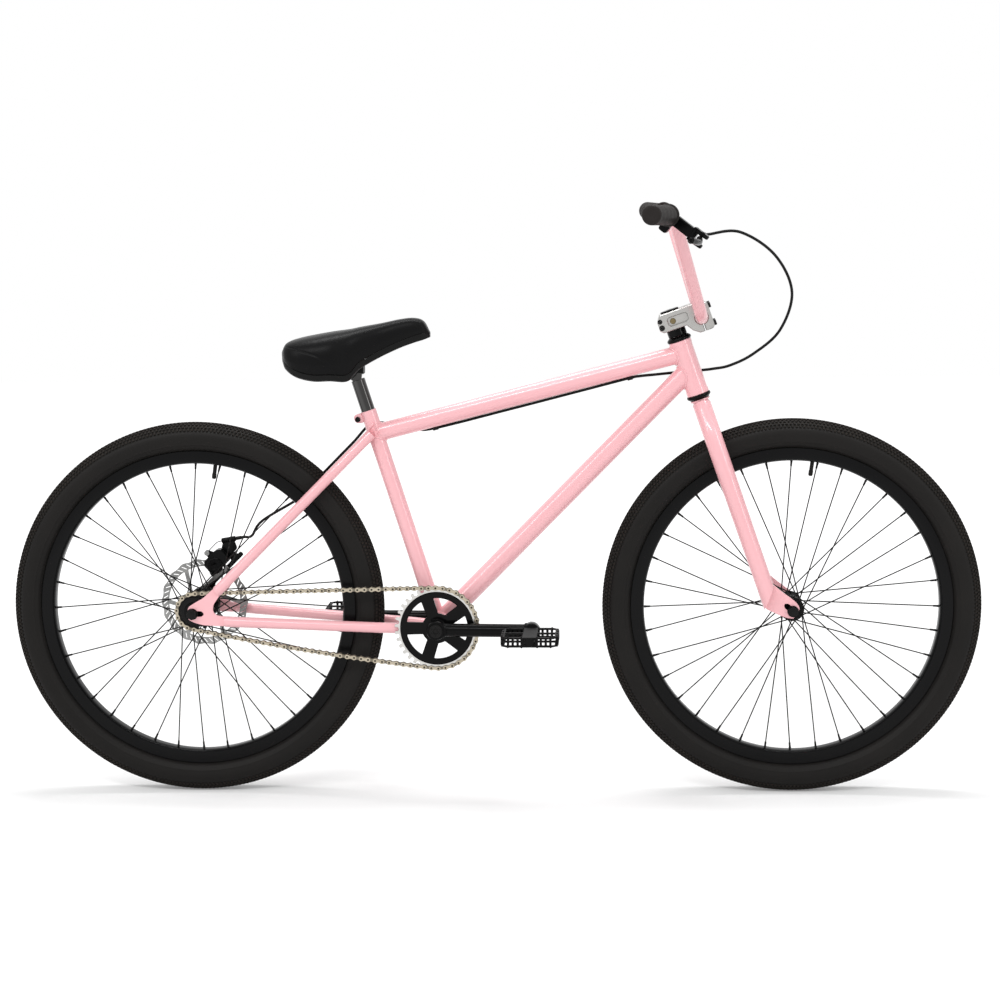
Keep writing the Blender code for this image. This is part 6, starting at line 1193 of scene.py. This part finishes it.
PEDAL_HALF = (0.050, 0.046, 0.010)
PEDAL_GAP = 0.004
PEDAL_LAYER = 0.0046
PEDAL_POSTS = (-0.0365, -0.0285, -0.0200, -0.0115, 0.0115, 0.0200, 0.0285, 0.0365)
pedal_black = finish(
    "pedal_black", (0.006, 0.006, 0.006), (0.003, 0.003, 0.003), 30, (0.40, 0.55), 900, 0.12, mirror=0.08
)
bright_steel = finish(
    "bright_steel", (0.36, 0.36, 0.35), (0.16, 0.16, 0.16), 60, (0.22, 0.38), 700, 0.05, metallic=1.0
)
for word, side, forward in CRANKS:
    place = pedal_place(side, forward)
    axle = [(POLE, -0.0205), (0.0050, -0.0205), (0.0050, 0.0003), (0.0075, 0.0003), (0.0075, 0.0037)]
    axle += [(0.0050, 0.0037), (0.0050, 0.089), (POLE, 0.089)]
    parts = [turned(eased(axle, 0.0004), place, side * Y, 40)]
    parts.append(turned(eased(rod(0.0048, -0.0232, -0.0200), 0.0005), place, side * Y, 40))
    dressed(word + "_pedal_axle", parts, "crank", bright_steel, "steel")

    middle = place + side * (PEDAL_GAP + PEDAL_HALF[1]) * Y

    def on_pedal(ahead, left, up):
        """A point by its distances from the pedal's middle."""
        return middle + ahead * X + left * Y + up * Z

    length, width, half = PEDAL_HALF
    outline = [(-length, -0.034), (-0.039, -width), (0.039, -width), (length, -0.034), (length, 0.034)]
    outline = rounded([*outline, (0.039, width), (-0.039, width), (-length, 0.034)], 0.005)
    windows = []
    for row in (-1, 1):
        near, far = sorted((row * 0.0125, row * 0.0435))
        for low, high in ((-0.039, -0.0025), (0.0025, 0.039)):
            windows.append(rectangle(near, far, low, high, 0.004))
    layers = ((-half + 0.0012, -half + PEDAL_LAYER), (half - PEDAL_LAYER, half - 0.0012))
    parts = [slab([outline, *windows], on_pedal, *layer, 0.0010) for layer in layers]
    posts = [(ahead, left) for left in (-0.0435, 0.0435) for ahead in PEDAL_POSTS]
    posts += [(ahead, left) for ahead in (-0.0475, 0.0475) for left in (-0.031, -0.016, 0.0, 0.016, 0.031)]
    for ahead, left in posts:
        reach = 0.0021 if abs(left) > 0.04 else 0.0026
        post = rectangle(ahead - reach, ahead + reach, left - 0.0022, left + 0.0022, 0.001)
        parts.append(slab([post], on_pedal, -half + 0.003, half - 0.003, 0.0003))
    for left in (-0.0405, 0.0405):
        block = rectangle(-0.0125, 0.0125, left - 0.005, left + 0.005, 0.002)
        parts.append(slab([block], on_pedal, half - PEDAL_LAYER - 0.0008, half - 0.0014, 0.0008))
        parts.append(slab([block], on_pedal, -half + 0.0014, -half + PEDAL_LAYER + 0.0008, 0.0008))
    core = [(0.0055, -0.0455), (0.0085, -0.0455), (0.0085, 0.0440), (0.0070, 0.0458), (POLE, 0.0458)]
    core += [(POLE, 0.0435), (0.0055, 0.0435)]
    parts.append(turned(eased(core, 0.0005), middle, side * Y, 48, closed=True))
    pin_spots = [(ahead, left) for left in (-0.0435, 0.0435) for ahead in (-0.037, -0.0135, 0.0135, 0.037)]
    pin_spots += [(ahead, left) for ahead in (-0.0475, 0.0475) for left in (-0.030, -0.010, 0.010, 0.030)]
    pin = [(POLE, -half), (0.0013, -half), (0.0017, -half + 0.0020), (0.0017, half - 0.0020), (0.0013, half)]
    for ahead, left in pin_spots:
        parts.append(turned([*pin, (POLE, half)], on_pedal(ahead, left, 0), Z, 8))
    name = word + "_pedal"
    dressed(name, parts, name, pedal_black, "black_plastic")


# The chain is half inch pitch and runs from a 36 tooth chainring to a 16 tooth freewheel. The chainring is a
# black disc with five rounded windows and a bare, toothed edge, clamped to the spindle's boss.

PITCH = 0.0127
RING_TEETH = 36
FREEWHEEL_TEETH = 16
TOOTH_HALF = 0.0013
CHAIN_LINE = 0.046
PLATE_HALF = 0.0042
PLATE_WAIST = 0.0023
PLATE_THICKNESS = 0.0009
HALF_LINK_STEP = 0.001
DISC_HALF = 0.00275
ROLLER_RADIUS = 0.0039
RUN_STEPS = 240


def pitch_radius(teeth):
    """A sprocket's radius at its pins: half the pitch over the sine of half a tooth's angle."""
    return PITCH / (2 * math.sin(math.pi / teeth))


def chain_route(sag):
    """The pins' closed loop in the side view: two arcs, a straight upper run and a lower run that hangs in
    a parabola. Each arc ends where the common tangent touches it."""
    front, rear = pitch_radius(RING_TEETH), pitch_radius(FREEWHEEL_TEETH)
    across = CRANK_AXIS - REAR_AXLE
    tilt = math.atan2(across[2], across[0])
    lean = math.asin((front - rear) / math.hypot(across[0], across[2]))
    top, bottom = math.pi / 2 + tilt + lean, -math.pi / 2 + tilt - lean
    share = np.linspace(0, 1, RUN_STEPS, endpoint=False)[:, None]
    angle = top + (bottom - top) * share
    front_arc = CRANK_AXIS + front * (np.cos(angle) * X + np.sin(angle) * Z)
    start, end = polar(CRANK_AXIS, front, bottom, 0), polar(REAR_AXLE, rear, bottom, 0)
    lower = start + share * (end - start) - 4 * sag * share * (1 - share) * Z
    angle = bottom - (2 * math.pi - top + bottom) * share
    rear_arc = REAR_AXLE + rear * (np.cos(angle) * X + np.sin(angle) * Z)
    start = polar(REAR_AXLE, rear, top, 0)
    upper = start + share * (front_arc[0] - start)
    return np.vstack([front_arc, lower, rear_arc, upper, front_arc[:1]])


def pins_on(route, count):
    """Pins a pitch apart along the route, and the length that is left after the last one."""
    steps = np.linalg.norm(np.diff(route, axis=0), axis=1)
    along = np.append(0, np.cumsum(steps))
    pins, reached = [route[0]], 0.0
    for _ in range(count):
        low, high = reached + PITCH * 0.99, reached + PITCH * 1.03
        for _ in range(30):
            middle = (low + high) / 2
            point = np.array([np.interp(middle, along, route[:, axis]) for axis in range(3)])
            if np.linalg.norm(point - pins[-1]) < PITCH:
                low = middle
            else:
                high = middle
        reached = high
        pins.append(point)
    return np.array(pins[:count]), along[-1] - reached


PIN_COUNT = 95
low, high = 0.0, 0.06
for _ in range(26):
    sag = (low + high) / 2
    if pins_on(chain_route(sag), PIN_COUNT)[1] < 0:
        low = sag
    else:
        high = sag
pins = pins_on(chain_route(high), PIN_COUNT)[0]


def link_plate(start, end, depth, thickness, crank):
    """A side plate of a link: two round ends joined by a narrower waist, drawn in by a squared sine.

    A cranked plate steps sideways along its length, by half of one less the cosine.
    """
    along = unit(end - start)
    up = np.array((-along[2], 0, along[0]))
    pitch = np.linalg.norm(end - start)
    share = np.linspace(0.2, 0.8, 5)
    height = PLATE_HALF - (PLATE_HALF - PLATE_WAIST) * np.sin(math.pi * share) ** 2
    forward = [(pitch + u, v) for u, v in arc((0, 0), PLATE_HALF, -90, 90, 8)]
    backward = [(-u, -v) for u, v in arc((0, 0), PLATE_HALF, -90, 90, 8)]
    upper, lower = [*zip(pitch * (1 - share), height)], [*zip(pitch * share, -height)]

    def place(u, v, left):
        step = crank * (1 - math.cos(math.pi * min(max(u / pitch, 0), 1))) / 2
        return start + u * along + v * up - (CHAIN_LINE + left + step) * Y

    return slab([forward + upper + backward + lower], place, *sorted((depth, depth + thickness)), 0.00025)


chain_steel = finish(
    "chain_steel", (0.52, 0.46, 0.36), (0.34, 0.30, 0.23), 90, (0.26, 0.42), 900, 0.08, metallic=1.0
)
# The inner plates are a darker tone than the outer ones.
chain_inner_tone = finish(
    "chain_inner_tone", (0.26, 0.23, 0.18), (0.13, 0.115, 0.09), 120, (0.30, 0.44), 900, 0.08, metallic=1.0
)
# The rollers and the pin ends are painted almost black, as painted shade between the plates and round the
# pins.
chain_painted_shade = finish(
    "chain_painted_shade", (0.050, 0.044, 0.036), (0.020, 0.018, 0.015), 90, (0.34, 0.50), 900, 0.08, metallic=1.0
)
outer_plates, inner_plates, rollers = [], [], []
rivet = [(POLE, -0.0044), (0.0017, -0.0044), (0.0019, -0.0042), (0.0019, 0.0042), (0.0017, 0.0044)]
rivet += [(POLE, 0.0044)]
for index, pin in enumerate(pins):
    after = pins[(index + 1) % PIN_COUNT]
    plates, depth = (inner_plates, 0.0023) if index % 2 else (outer_plates, 0.0033)
    crank = HALF_LINK_STEP if index == PIN_COUNT - 1 else 0
    for side in (-1, 1):
        plates.append(link_plate(pin, after, side * depth, side * PLATE_THICKNESS, -side * crank))
    middle = pin - CHAIN_LINE * Y
    rollers.append(turned(rivet, middle, Y, 12))
    rollers.append(turned(band(0.0019, ROLLER_RADIUS, -0.0021, 0.0021), middle, Y, 16, closed=True))
fitted("chain_outer_links", outer_plates, "frame", chain_steel, "chain_steel", "chain", sharp=30)
fitted("chain_inner_links", inner_plates, "frame", chain_inner_tone, "chain_steel", sharp=30)
fitted("chain_rollers", rollers, "frame", chain_painted_shade, "chain_steel", sharp=30)


def toothed_edge(teeth, phase):
    """A sprocket's outline. Each pin has a round seat, and between two seats stands a blunt tooth.

    The seat is an arc about the pin of the roller's radius, and the tooth narrows to its flat tip.
    """
    radius = pitch_radius(teeth)
    step = 2 * math.pi / teeth
    outline = []
    for tooth in range(teeth):
        seat = phase + (tooth + 0.5) * step
        pin = np.array((radius * math.cos(seat), radius * math.sin(seat)))
        for a in np.linspace(1.15, -1.15, 7):
            outwards = seat + math.pi + a
            towards = np.array((math.cos(outwards), math.sin(outwards)))
            outline.append(pin + (ROLLER_RADIUS + 0.0002) * towards)
        tip = seat + step / 2
        for a, lift in ((-0.24, 0.0012), (-0.10, 0.0031), (0.10, 0.0031), (0.24, 0.0012)):
            place = tip + a * step
            outline.append(np.array(((radius + lift) * math.cos(place), (radius + lift) * math.sin(place))))
    return np.array(outline)


def seat_phase(centre, teeth):
    """The angle of a tooth between the two middle pins of those that lie on the sprocket."""
    reach = np.hypot(pins[:, 0] - centre[0], pins[:, 2] - centre[2])
    on_it = pins[np.abs(reach - pitch_radius(teeth)) < 0.0004]
    start = on_it - centre
    angle = np.arctan2(start[:, 2], start[:, 0])
    step = 2 * math.pi / teeth
    across = angle / step * 2 * math.pi
    return math.atan2(np.sin(across).mean(), np.cos(across).mean()) / (2 * math.pi) * step - step / 2


beside_crank = beside(CRANK_AXIS, -Y)
beside_freewheel = beside(REAR_AXLE, -Y)

bare_teeth = finish(
    "bare_teeth", (0.66, 0.65, 0.63), (0.45, 0.44, 0.42), 120, (0.22, 0.36), 800, 0.06, metallic=1.0
)
tooth_depths = (CHAIN_LINE - TOOTH_HALF, CHAIN_LINE + TOOTH_HALF)
edge = toothed_edge(RING_TEETH, seat_phase(CRANK_AXIS, RING_TEETH))
teeth = slab([edge, circle(0.0640, 96)], beside_crank, *tooth_depths, 0.0003)
fitted("chainring_teeth", [teeth], "crank", bare_teeth, "black_metal", sharp=40)
windows = []
for middle in range(0, 360, 72):
    outside = arc((0, 0), 0.0548, middle - 24, middle + 24, 12)
    inside = arc((0, 0), 0.0272, middle + 13, middle - 13, 5)
    windows.append(rounded(outside + inside, 0.0058))
hub_bore = SPINDLE_RADIUS + 0.0004
outlines = [circle(0.0660, 96), *windows, circle(hub_bore, 40)]
collar = [(hub_bore, 0.0480), (0.0180, 0.0480), (0.0172, 0.0506), (hub_bore, 0.0506)]
parts = [slab(outlines, beside_crank, CHAIN_LINE - DISC_HALF, CHAIN_LINE + DISC_HALF, 0.0010)]
parts.append(turned(eased(collar, 0.0005), CRANK_AXIS, -Y, closed=True))
dressed("chainring", parts, "crank", gloss_black, "black_metal", 40)

edge = toothed_edge(FREEWHEEL_TEETH, seat_phase(REAR_AXLE, FREEWHEEL_TEETH))
parts = [slab([edge, circle(0.0180, 48)], beside_freewheel, *tooth_depths, 0.0003)]
body = [(0.0180, 0.0390), (0.0262, 0.0390), (0.0270, 0.0400), (0.0270, 0.0440), (0.0262, 0.0500)]
body += [(0.0240, 0.0510), (0.0240, 0.0530), (0.0180, 0.0530)]
parts.append(turned(eased(body, 0.0004), REAR_AXLE, -Y, closed=True))
dressed("freewheel", parts, "freewheel", black_steel, "black_metal", 40)


# The rear brake sits on the left. A thin steel rotor with a wavy edge, drilled ring and leaning arms is
# bolted to the hub, and a black caliper with a ribbed round cap straddles it over the seatstay.

ROTOR_PLANE = 0.0522
ROTOR_HALF = 0.0009
ROTOR_RADIUS = 0.080
ROTOR_SLOTS = 48
SLOT_LEAN = 11
PAD_PLACE = (0.0647, 0.0326)
PIVOT = (0.0716, 0.0361)
ARM_TIP = (0.0051, 0.0891)
ROTOR_BOLTS = 0.0247
PAD_GAP = 0.0012


def on_caliper(along, across, left):
    """A point by its distances along the 45 degree line from the rear axle, and square to it."""
    share = math.sqrt(0.5)
    return REAR_AXLE + share * (along - across) * X + share * (along + across) * Z + left * Y


angle = np.linspace(0, 2 * math.pi, 288, endpoint=False)
wave = ROTOR_RADIUS - 0.0012 + 0.0012 * np.cos(18 * angle)
outline = np.stack([wave * np.cos(angle), wave * np.sin(angle)], -1)
holes, bolts = [circle(0.0212, 60)], []
for start in range(0, 360, 60):
    outside = arc((0, 0), 0.0660, start + 3, start + 56, 14)
    inside = arc((0, 0), 0.0292, start + 78, start + 36, 6)
    turn_to = math.radians(start)
    bolt = (ROTOR_BOLTS * math.cos(turn_to), ROTOR_BOLTS * math.sin(turn_to))
    holes += [rounded(outside + inside, 0.004, 3), circle(0.0016, 10, bolt)]
    bolts += socket_bolt(beside_rear_axle(*bolt, ROTOR_PLANE + ROTOR_HALF), Y, 0.0030, 0.0016, 0.0013, 20)
for slot in range(ROTOR_SLOTS):
    centre = 2 * math.pi * slot / ROTOR_SLOTS
    corners = []
    for radius, across in ((0.0683, -1), (0.0683, 1), (0.0762, 1), (0.0762, -1)):
        place = centre + (radius - 0.0722) * SLOT_LEAN + across * 0.0011 / radius
        corners.append((radius * math.cos(place), radius * math.sin(place)))
    holes.append(rounded(corners, 0.001, 2))
rotor = slab([outline, *holes], beside_rear_axle, ROTOR_PLANE - ROTOR_HALF, ROTOR_PLANE + ROTOR_HALF, 0.0002)
dressed("brake_rotor", [rotor], "rear_wheel", bright_steel, "steel")
fitted("rotor_bolts", bolts, "rear_wheel", black_steel, "black_metal")

bracket = [(0.014, 0.002), (0.030, 0.001), (0.034, 0.0095), (0.112, 0.0095), (0.112, 0.018), (0.104, 0.018)]
bracket += [(0.102, 0.032), (0.090, 0.032), (0.088, 0.018), (0.056, 0.018), (0.054, 0.032), (0.042, 0.032)]
bracket += [(0.040, 0.018), (0.022, 0.018), (0.014, 0.012)]
parts = [slab([rounded(bracket, 0.003)], on_caliper, 0.0622, 0.0672, 0.0008)]
dressed("caliper_bracket", parts, "frame", satin_black, "black_aluminium")

body = [(0.050, 0.025), (0.055, 0.0205), (0.089, 0.0205), (0.094, 0.026), (0.094, 0.046), (0.086, 0.052)]
body += [(0.057, 0.052), (0.050, 0.046)]
rotor_gap = ROTOR_HALF + PAD_GAP
parts = []
for low, high in ((0.0385, ROTOR_PLANE - rotor_gap), (ROTOR_PLANE + rotor_gap + 0.0044, 0.0619)):
    parts.append(slab([rounded(body, 0.005)], on_caliper, low, high, 0.0012))
bridge = [(0.0836, 0.0220), (0.090, 0.0215), (0.0935, 0.0262), (0.0935, 0.0458), (0.0858, 0.0515)]
bridge += [(0.0750, 0.0515), (0.0750, 0.0400), (0.0836, 0.0300)]
parts.append(slab([rounded(bridge, 0.002)], on_caliper, 0.046, 0.060, 0.0002))
pad_side = on_caliper(*PAD_PLACE, 0.0)
inner_cap = [(POLE, -0.0384), (0.0150, -0.0384), (0.0150, -0.0368), (0.0135, -0.0352), (0.0060, -0.0346)]
inner_cap += [(0.0052, -0.0356), (POLE, -0.0356)]
parts.append(turned(eased(inner_cap, 0.0004), pad_side, -Y, 48))
rib = [(0.0066, -0.0006), (0.0134, -0.0010), (0.0134, 0.0010), (0.0066, 0.0006)]
for turn_to in np.linspace(0, 2 * math.pi, 16, endpoint=False):
    u, v = math.cos(turn_to), math.sin(turn_to)

    def on_cap(radial, tangent, left):
        """A point of one rib, by its distances out from the cap's axis and square to that."""
        return pad_side + (radial * u - tangent * v) * X + (radial * v + tangent * u) * Z + left * Y

    parts.append(slab([rib], on_cap, 0.0338, 0.0360, 0.0002))
ear = [(0.028, 0.084), (0.048, 0.084), (0.062, 0.098), (0.056, 0.114), (0.036, 0.112), (0.032, 0.096)]
parts.append(slab([rounded(ear, 0.004)], beside_rear_axle, 0.0569, 0.0619, 0.0008))
barrel_start, barrel_end = beside_rear_axle(0.033, 0.1115, 0.060), beside_rear_axle(0.059, 0.116, 0.060)
length = np.linalg.norm(barrel_end - barrel_start)
barrel = [(POLE, 0), (0.0040, 0), (0.0050, 0.001), (0.0050, 0.012), (0.0042, 0.0128), (0.0050, 0.0136)]
barrel += [(0.0050, length - 0.001), (0.0042, length), (POLE, length)]
parts.append(turned(eased(barrel, 0.0003), barrel_start, barrel_end - barrel_start, 40))
dressed("caliper_body", parts, "frame", satin_black, "black_aluminium")

friction = finish("friction", (0.16, 0.12, 0.09), (0.08, 0.06, 0.05), 300, (0.75, 0.9), 900, 0.2)
face = ROTOR_PLANE + rotor_gap
pad = turned(eased(rod(0.0084, face, face + 0.004), 0.0004), pad_side, Y, 40)
dressed("brake_pad", [pad], "brake_pad", friction, "friction_pad")

pivot = (on_caliper(*PIVOT, 0.0) - REAR_AXLE)[[0, 2]]
reach = np.array(ARM_TIP) - pivot
towards = math.degrees(math.atan2(reach[1], reach[0]))
lean = math.degrees(math.asin(0.006 / np.linalg.norm(reach)))
outline = arc(pivot, 0.011, towards + 90 - lean, towards + 270 + lean, 16)
outline += arc(ARM_TIP, 0.005, towards - 90 + lean, towards + 90 - lean, 8)
parts = [slab([outline], beside_rear_axle, 0.0622, 0.0660, 0.0008)]
shaft = [(POLE, 0.0600), (0.0048, 0.0600), (0.0048, 0.0658), (0.0062, 0.0658), (0.0062, 0.0662)]
shaft += [(POLE, 0.0662)]
parts.append(turned(shaft, beside_rear_axle(*pivot, 0), Y, 32))
dressed("caliper_arm", parts, "caliper_arm", satin_black, "black_aluminium")
clamp = beside_rear_axle(*ARM_TIP, 0)
nut = [(POLE, -0.0621), (0.0042, -0.0621), (0.0048, -0.0600), (0.0048, -0.0572), (POLE, -0.0572)]
parts = [turned(eased(nut, 0.0003), clamp, -Y, 32)]
parts += socket_bolt(clamp + 0.0657 * Y, Y, 0.0040, 0.0020, 0.0020, 32)
fitted("cable_clamp_bolt", parts, "caliper_arm", bright_steel, "steel")


# The seatpost is a black tube with a cross drum at its top. The slim saddle has a moulded black base and a
# smooth vinyl cover over foam, pulled down all round, with one seam low along each side.

POST_RADIUS = 0.0127
POST_TOP = SEAT_TUBE_TOP + 0.058
POST_FOOT = SEAT_TUBE_TOP - 0.150
DRUM_RADIUS = 0.0115
DRUM_HALF = 0.012
DRUM_PLACE = on_seat_tube(POST_TOP + 0.009)

black_chrome = finish(
    "black_chrome", (0.020, 0.019, 0.018), (0.012, 0.011, 0.010), 12, (0.05, 0.09), 300, 0.02, metallic=1.0,
    coat=1.0
)
post = [(POLE, POST_TOP), (POST_RADIUS - 0.001, POST_TOP), (POST_RADIUS, POST_TOP - 0.001)]
post += [(POST_RADIUS, POST_FOOT), (0.0107, POST_FOOT), (0.0107, POST_TOP - 0.012), (POLE, POST_TOP - 0.012)]
parts = [turned(post, CRANK_AXIS, UP_SEAT_TUBE)]
parts.append(turned(eased(rod(DRUM_RADIUS, -DRUM_HALF, DRUM_HALF), 0.0006), DRUM_PLACE, Y, 48))
dressed("seatpost", parts, "seatpost", black_chrome, "black_aluminium")

SADDLE_STATIONS = np.array(
    (
        (-0.128, 0.030, 0.026, 0.047),
        (-0.120, 0.050, 0.013, 0.059),
        (-0.100, 0.064, 0.000, 0.066),
        (-0.070, 0.071, -0.007, 0.072),
        (-0.040, 0.069, -0.007, 0.077),
        (-0.010, 0.058, -0.008, 0.081),
        (0.010, 0.050, 0.012, 0.085),
        (0.045, 0.036, 0.032, 0.091),
        (0.080, 0.028, 0.048, 0.098),
        (0.105, 0.024, 0.057, 0.100),
        (0.122, 0.019, 0.062, 0.094),
        (0.133, 0.009, 0.066, 0.075),
    )
)
SADDLE_SEAM = np.array(
    (
        (-0.135, 0.056),
        (-0.100, 0.0506),
        (-0.062, 0.0389),
        (-0.045, 0.0273),
        (-0.030, 0.0101),
        (-0.020, -0.009),
    )
)
SEAM_WIDTH = 0.0013
SEAM_DEPTH = 0.0012
STATION_STEPS = 16
CRADLE_HALF = 0.0145
CRADLE_WALL = 0.0122
CRADLE_FOOT = 0.0022
CRADLE_TOP = 0.016

stations = flowing(SADDLE_STATIONS[:, [0, 1, 2]], STATION_STEPS)
tops = flowing(SADDLE_STATIONS[:, [0, 1, 3]], STATION_STEPS)[:, 2]
ahead, half, bottom = stations.T
split_height = bottom + np.minimum(0.012, 0.4 * (tops - bottom))
share = np.linspace(0, len(SADDLE_SEAM) - 1, 400)
seam_line = np.stack([np.interp(share, range(len(SADDLE_SEAM)), column) for column in SADDLE_SEAM.T], -1)
beside_saddle = beside(DRUM_PLACE, Y)


def saddle_grid(section):
    """A skin through closed cross sections, with its two ends closed at their middles."""
    rows = [[beside_saddle(*corner) for corner in section(row)] for row in range(len(stations))]
    return lattice(closed_ends(np.array(rows)))


def base_section(row):
    """The shell's section: a shallow tray whose sides lean in to the underside."""
    low, high = bottom[row], split_height[row]
    corners = [(0.92, high), (0.93, high - 0.001), (0.925, (low + high) / 2), (0.90, low + 0.002)]
    corners.append((0.84, low))
    sides = [(ahead[row], up, share * half[row]) for share, up in corners]
    return sides + [(place, up, -left) for place, up, left in reversed(sides)]


def cover_section(row):
    """The cover's section. Its width follows a power of the cosine and its height a power of the sine of one
    angle. A groove with the profile of a bell curve marks the seam along each side."""
    width, low, high = half[row], split_height[row] + 0.0003, tops[row]
    widest = low + 0.25 * (high - low)
    angle = math.pi * (0.5 - 0.5 * np.cos(np.linspace(0, math.pi, 121)))
    left = width * np.sign(np.cos(angle)) * np.abs(np.cos(angle)) ** 0.55
    up = widest + (high - widest) * np.sin(angle) ** 0.75
    skirt = np.linspace(0, 1, 9)[:-1]
    flare = (0.93 + 0.07 * skirt**0.5) * width
    left = np.concatenate([flare, left, -flare[::-1]])
    up = np.concatenate([low + skirt * (widest - low), up, low + skirt[::-1] * (widest - low)])
    away = np.hypot(seam_line[:, :1] - ahead[row], seam_line[:, 1:] - up[None]).min(0)
    groove = SEAM_DEPTH * np.exp(-((away / SEAM_WIDTH) ** 2)) * (np.abs(left) > 0.5 * width)
    left = left - np.sign(left) * groove
    return [(ahead[row], height, across) for across, height in zip(left, up)]


black_plastic = finish(
    "black_plastic", (0.005, 0.005, 0.005), (0.003, 0.003, 0.003), 20, (0.36, 0.50), 900, 0.10, mirror=0.13
)
black_vinyl = finish(
    "black_vinyl", (0.0050, 0.0050, 0.0052), (0.003, 0.003, 0.0032), 9, (0.30, 0.40), 700, 0.16, mirror=0.08
)

parts = [saddle_grid(base_section)]
cheek = rectangle(-CRADLE_HALF, CRADLE_HALF, 0.0040, CRADLE_TOP, 0.002)
for low, high in ((-CRADLE_HALF, -CRADLE_WALL), (CRADLE_WALL, CRADLE_HALF)):
    parts.append(slab([cheek], beside_saddle, low, high, 0.0004))
cradle = [(-CRADLE_HALF, CRADLE_FOOT), (-0.0120, CRADLE_FOOT)]
cradle += arc((0, 0), DRUM_RADIUS + 0.0004, 169, 11, 16)
cradle += [(0.0120, CRADLE_FOOT), (CRADLE_HALF, CRADLE_FOOT)]
cradle += [(CRADLE_HALF, CRADLE_TOP), (-CRADLE_HALF, CRADLE_TOP)]
parts.append(slab([cradle], beside_saddle, -CRADLE_WALL, CRADLE_WALL, 0.0002))
dressed("saddle_base", parts, "saddle", black_plastic, "black_plastic")
cover = dressed("saddle_cover", [saddle_grid(cover_section)], "saddle", black_vinyl, "black_vinyl", 60)


# The brake cable is a steel wire in a black plastic housing. It leaves the lever in a loop in front of the
# bars, passes the head tube on the left, hangs from two clips under the top tube, goes round the seat tube
# and follows the left seatstay down to the caliper's barrel.

HOUSING_RADIUS = 0.0025
WIRE_RADIUS = 0.0008
CABLE_LOOP = (
    (0.9664, -0.150, 1.0045),
    (1.0282, -0.105, 0.9639),
    (1.0606, -0.060, 0.8987),
    (1.0429, -0.020, 0.8309),
    (0.9980, 0.004, 0.7880),
    (0.9575, 0.016, 0.7669),
    (0.9282, 0.0232, 0.7605),
    (0.9060, 0.0252, 0.7578),
)
CABLE_RUN = (
    (0.9057, 0.02522, 0.75776),
    (0.8820, 0.0256, 0.7556),
    (0.8573, 0.0230, 0.7540),
    (0.8250, 0.0140, 0.7517),
    (0.7980, 0.0050, 0.7499),
    (0.7806, 0.0010, 0.7470),
    (0.7000, 0.0, 0.7266),
    (0.5700, 0.0, 0.6937),
    (0.4338, 0.0040, 0.6598),
    (0.3972, 0.0172, 0.6567),
    (0.3680, 0.0235, 0.6597),
    (0.3420, 0.0262, 0.6668),
    (0.3150, 0.0262, 0.6655),
)
CLIPPED = (5, 8)
CABLE_ON_STAY = ((0.900, 0.0290), (0.800, 0.0392), (0.700, 0.0435), (0.620, 0.0452), (0.573, 0.0465))
CABLE_TO_CALIPER = (0.110, 0.0535, 0.4865)
CABLE_OFF_STAY = 0.0126

cable_black = finish(
    "cable_black", (0.004, 0.004, 0.004), (0.0025, 0.0025, 0.0025), 30, (0.26, 0.40), 700, 0.06, mirror=0.13
)


def cable_point(from_rear_axle, left, height):
    """A point by its distance ahead of the rear axle, its distance to the left and its height."""
    return np.array((REAR_AXLE[0] + from_rear_axle, left, height))


def housing(name, points, body, replaced):
    """A length of housing along a smooth curve through its points."""
    path = flowing(points, 12)
    tube = pipe(path, HOUSING_RADIUS, X + 0.3 * Z, 16)
    piece = fitted(name, [tube], body, cable_black, "cable_black", replaced)
    return piece


loop = [at_lever(-0.0283, *BARREL_LINE), at_lever(-0.073, *BARREL_LINE)]
loop += [cable_point(*point) for point in CABLE_LOOP]
loop_look = housing("brake_cable_loop_look", loop, None, "brake_cable_loop")
tuple(map(float, loop[1]))
tuple(map(float, loop[-1]))
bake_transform(loop_look)

stay_along = unit(SEATSTAY_LINE)
off_stay = CABLE_OFF_STAY * np.array((-stay_along[2], 0, stay_along[0]))
into_barrel = unit(barrel_end - barrel_start)
run = [cable_point(*point) for point in CABLE_RUN]
run += [SEATSTAY_FOOT + share * SEATSTAY_LINE + out * Y + off_stay for share, out in CABLE_ON_STAY]
run.append(cable_point(*CABLE_TO_CALIPER))
run += [barrel_end + (reach + 0.0003) * into_barrel for reach in (0.030, 0.015, 0)]
housing("rear_brake_cable_look", run, "frame", "rear_brake_cable")

sleeve = eased(band(HOUSING_RADIUS + 0.0002, 0.0040, -0.005, 0.005), 0.0004)
way = TOP_TUBE_BACK - TOP_TUBE_FRONT
clips = [turned(sleeve, cable_point(*CABLE_RUN[clip]), way, 28, closed=True) for clip in CLIPPED]
fitted("cable_clips", clips, "frame", black_steel, "black_metal")
mouth = HOUSING_RADIUS + 0.0001
ferrule = eased([(mouth, 0), (0.0034, 0), (0.0034, 0.010), (0.0030, 0.0106), (mouth, 0.0106)], 0.0003)
end_cap = turned(ferrule, barrel_end + 0.0004 * into_barrel, into_barrel, 28, closed=True)
fitted("caliper_ferrule", [end_cap], "frame", black_steel, "black_metal")
end_cap = turned(ferrule, at_lever(-0.0284, *BARREL_LINE), -lever_out, 28, closed=True)
fitted("lever_ferrule", [end_cap], "steering", black_steel, "black_metal")

wire = [barrel_start + 0.002 * into_barrel, barrel_start - 0.008 * into_barrel - 0.001 * Z]
wire += [clamp + (0.011, 0.0607, 0.012), clamp + (0.001, 0.0608, 0.0015)]
wire_look = fitted("inner_wire", [pipe(flowing(wire, 10), WIRE_RADIUS, Y, 10)], None, black_steel, "steel")
tuple(map(float, wire[0]))
tuple(map(float, wire[-1]))
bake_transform(wire_look)
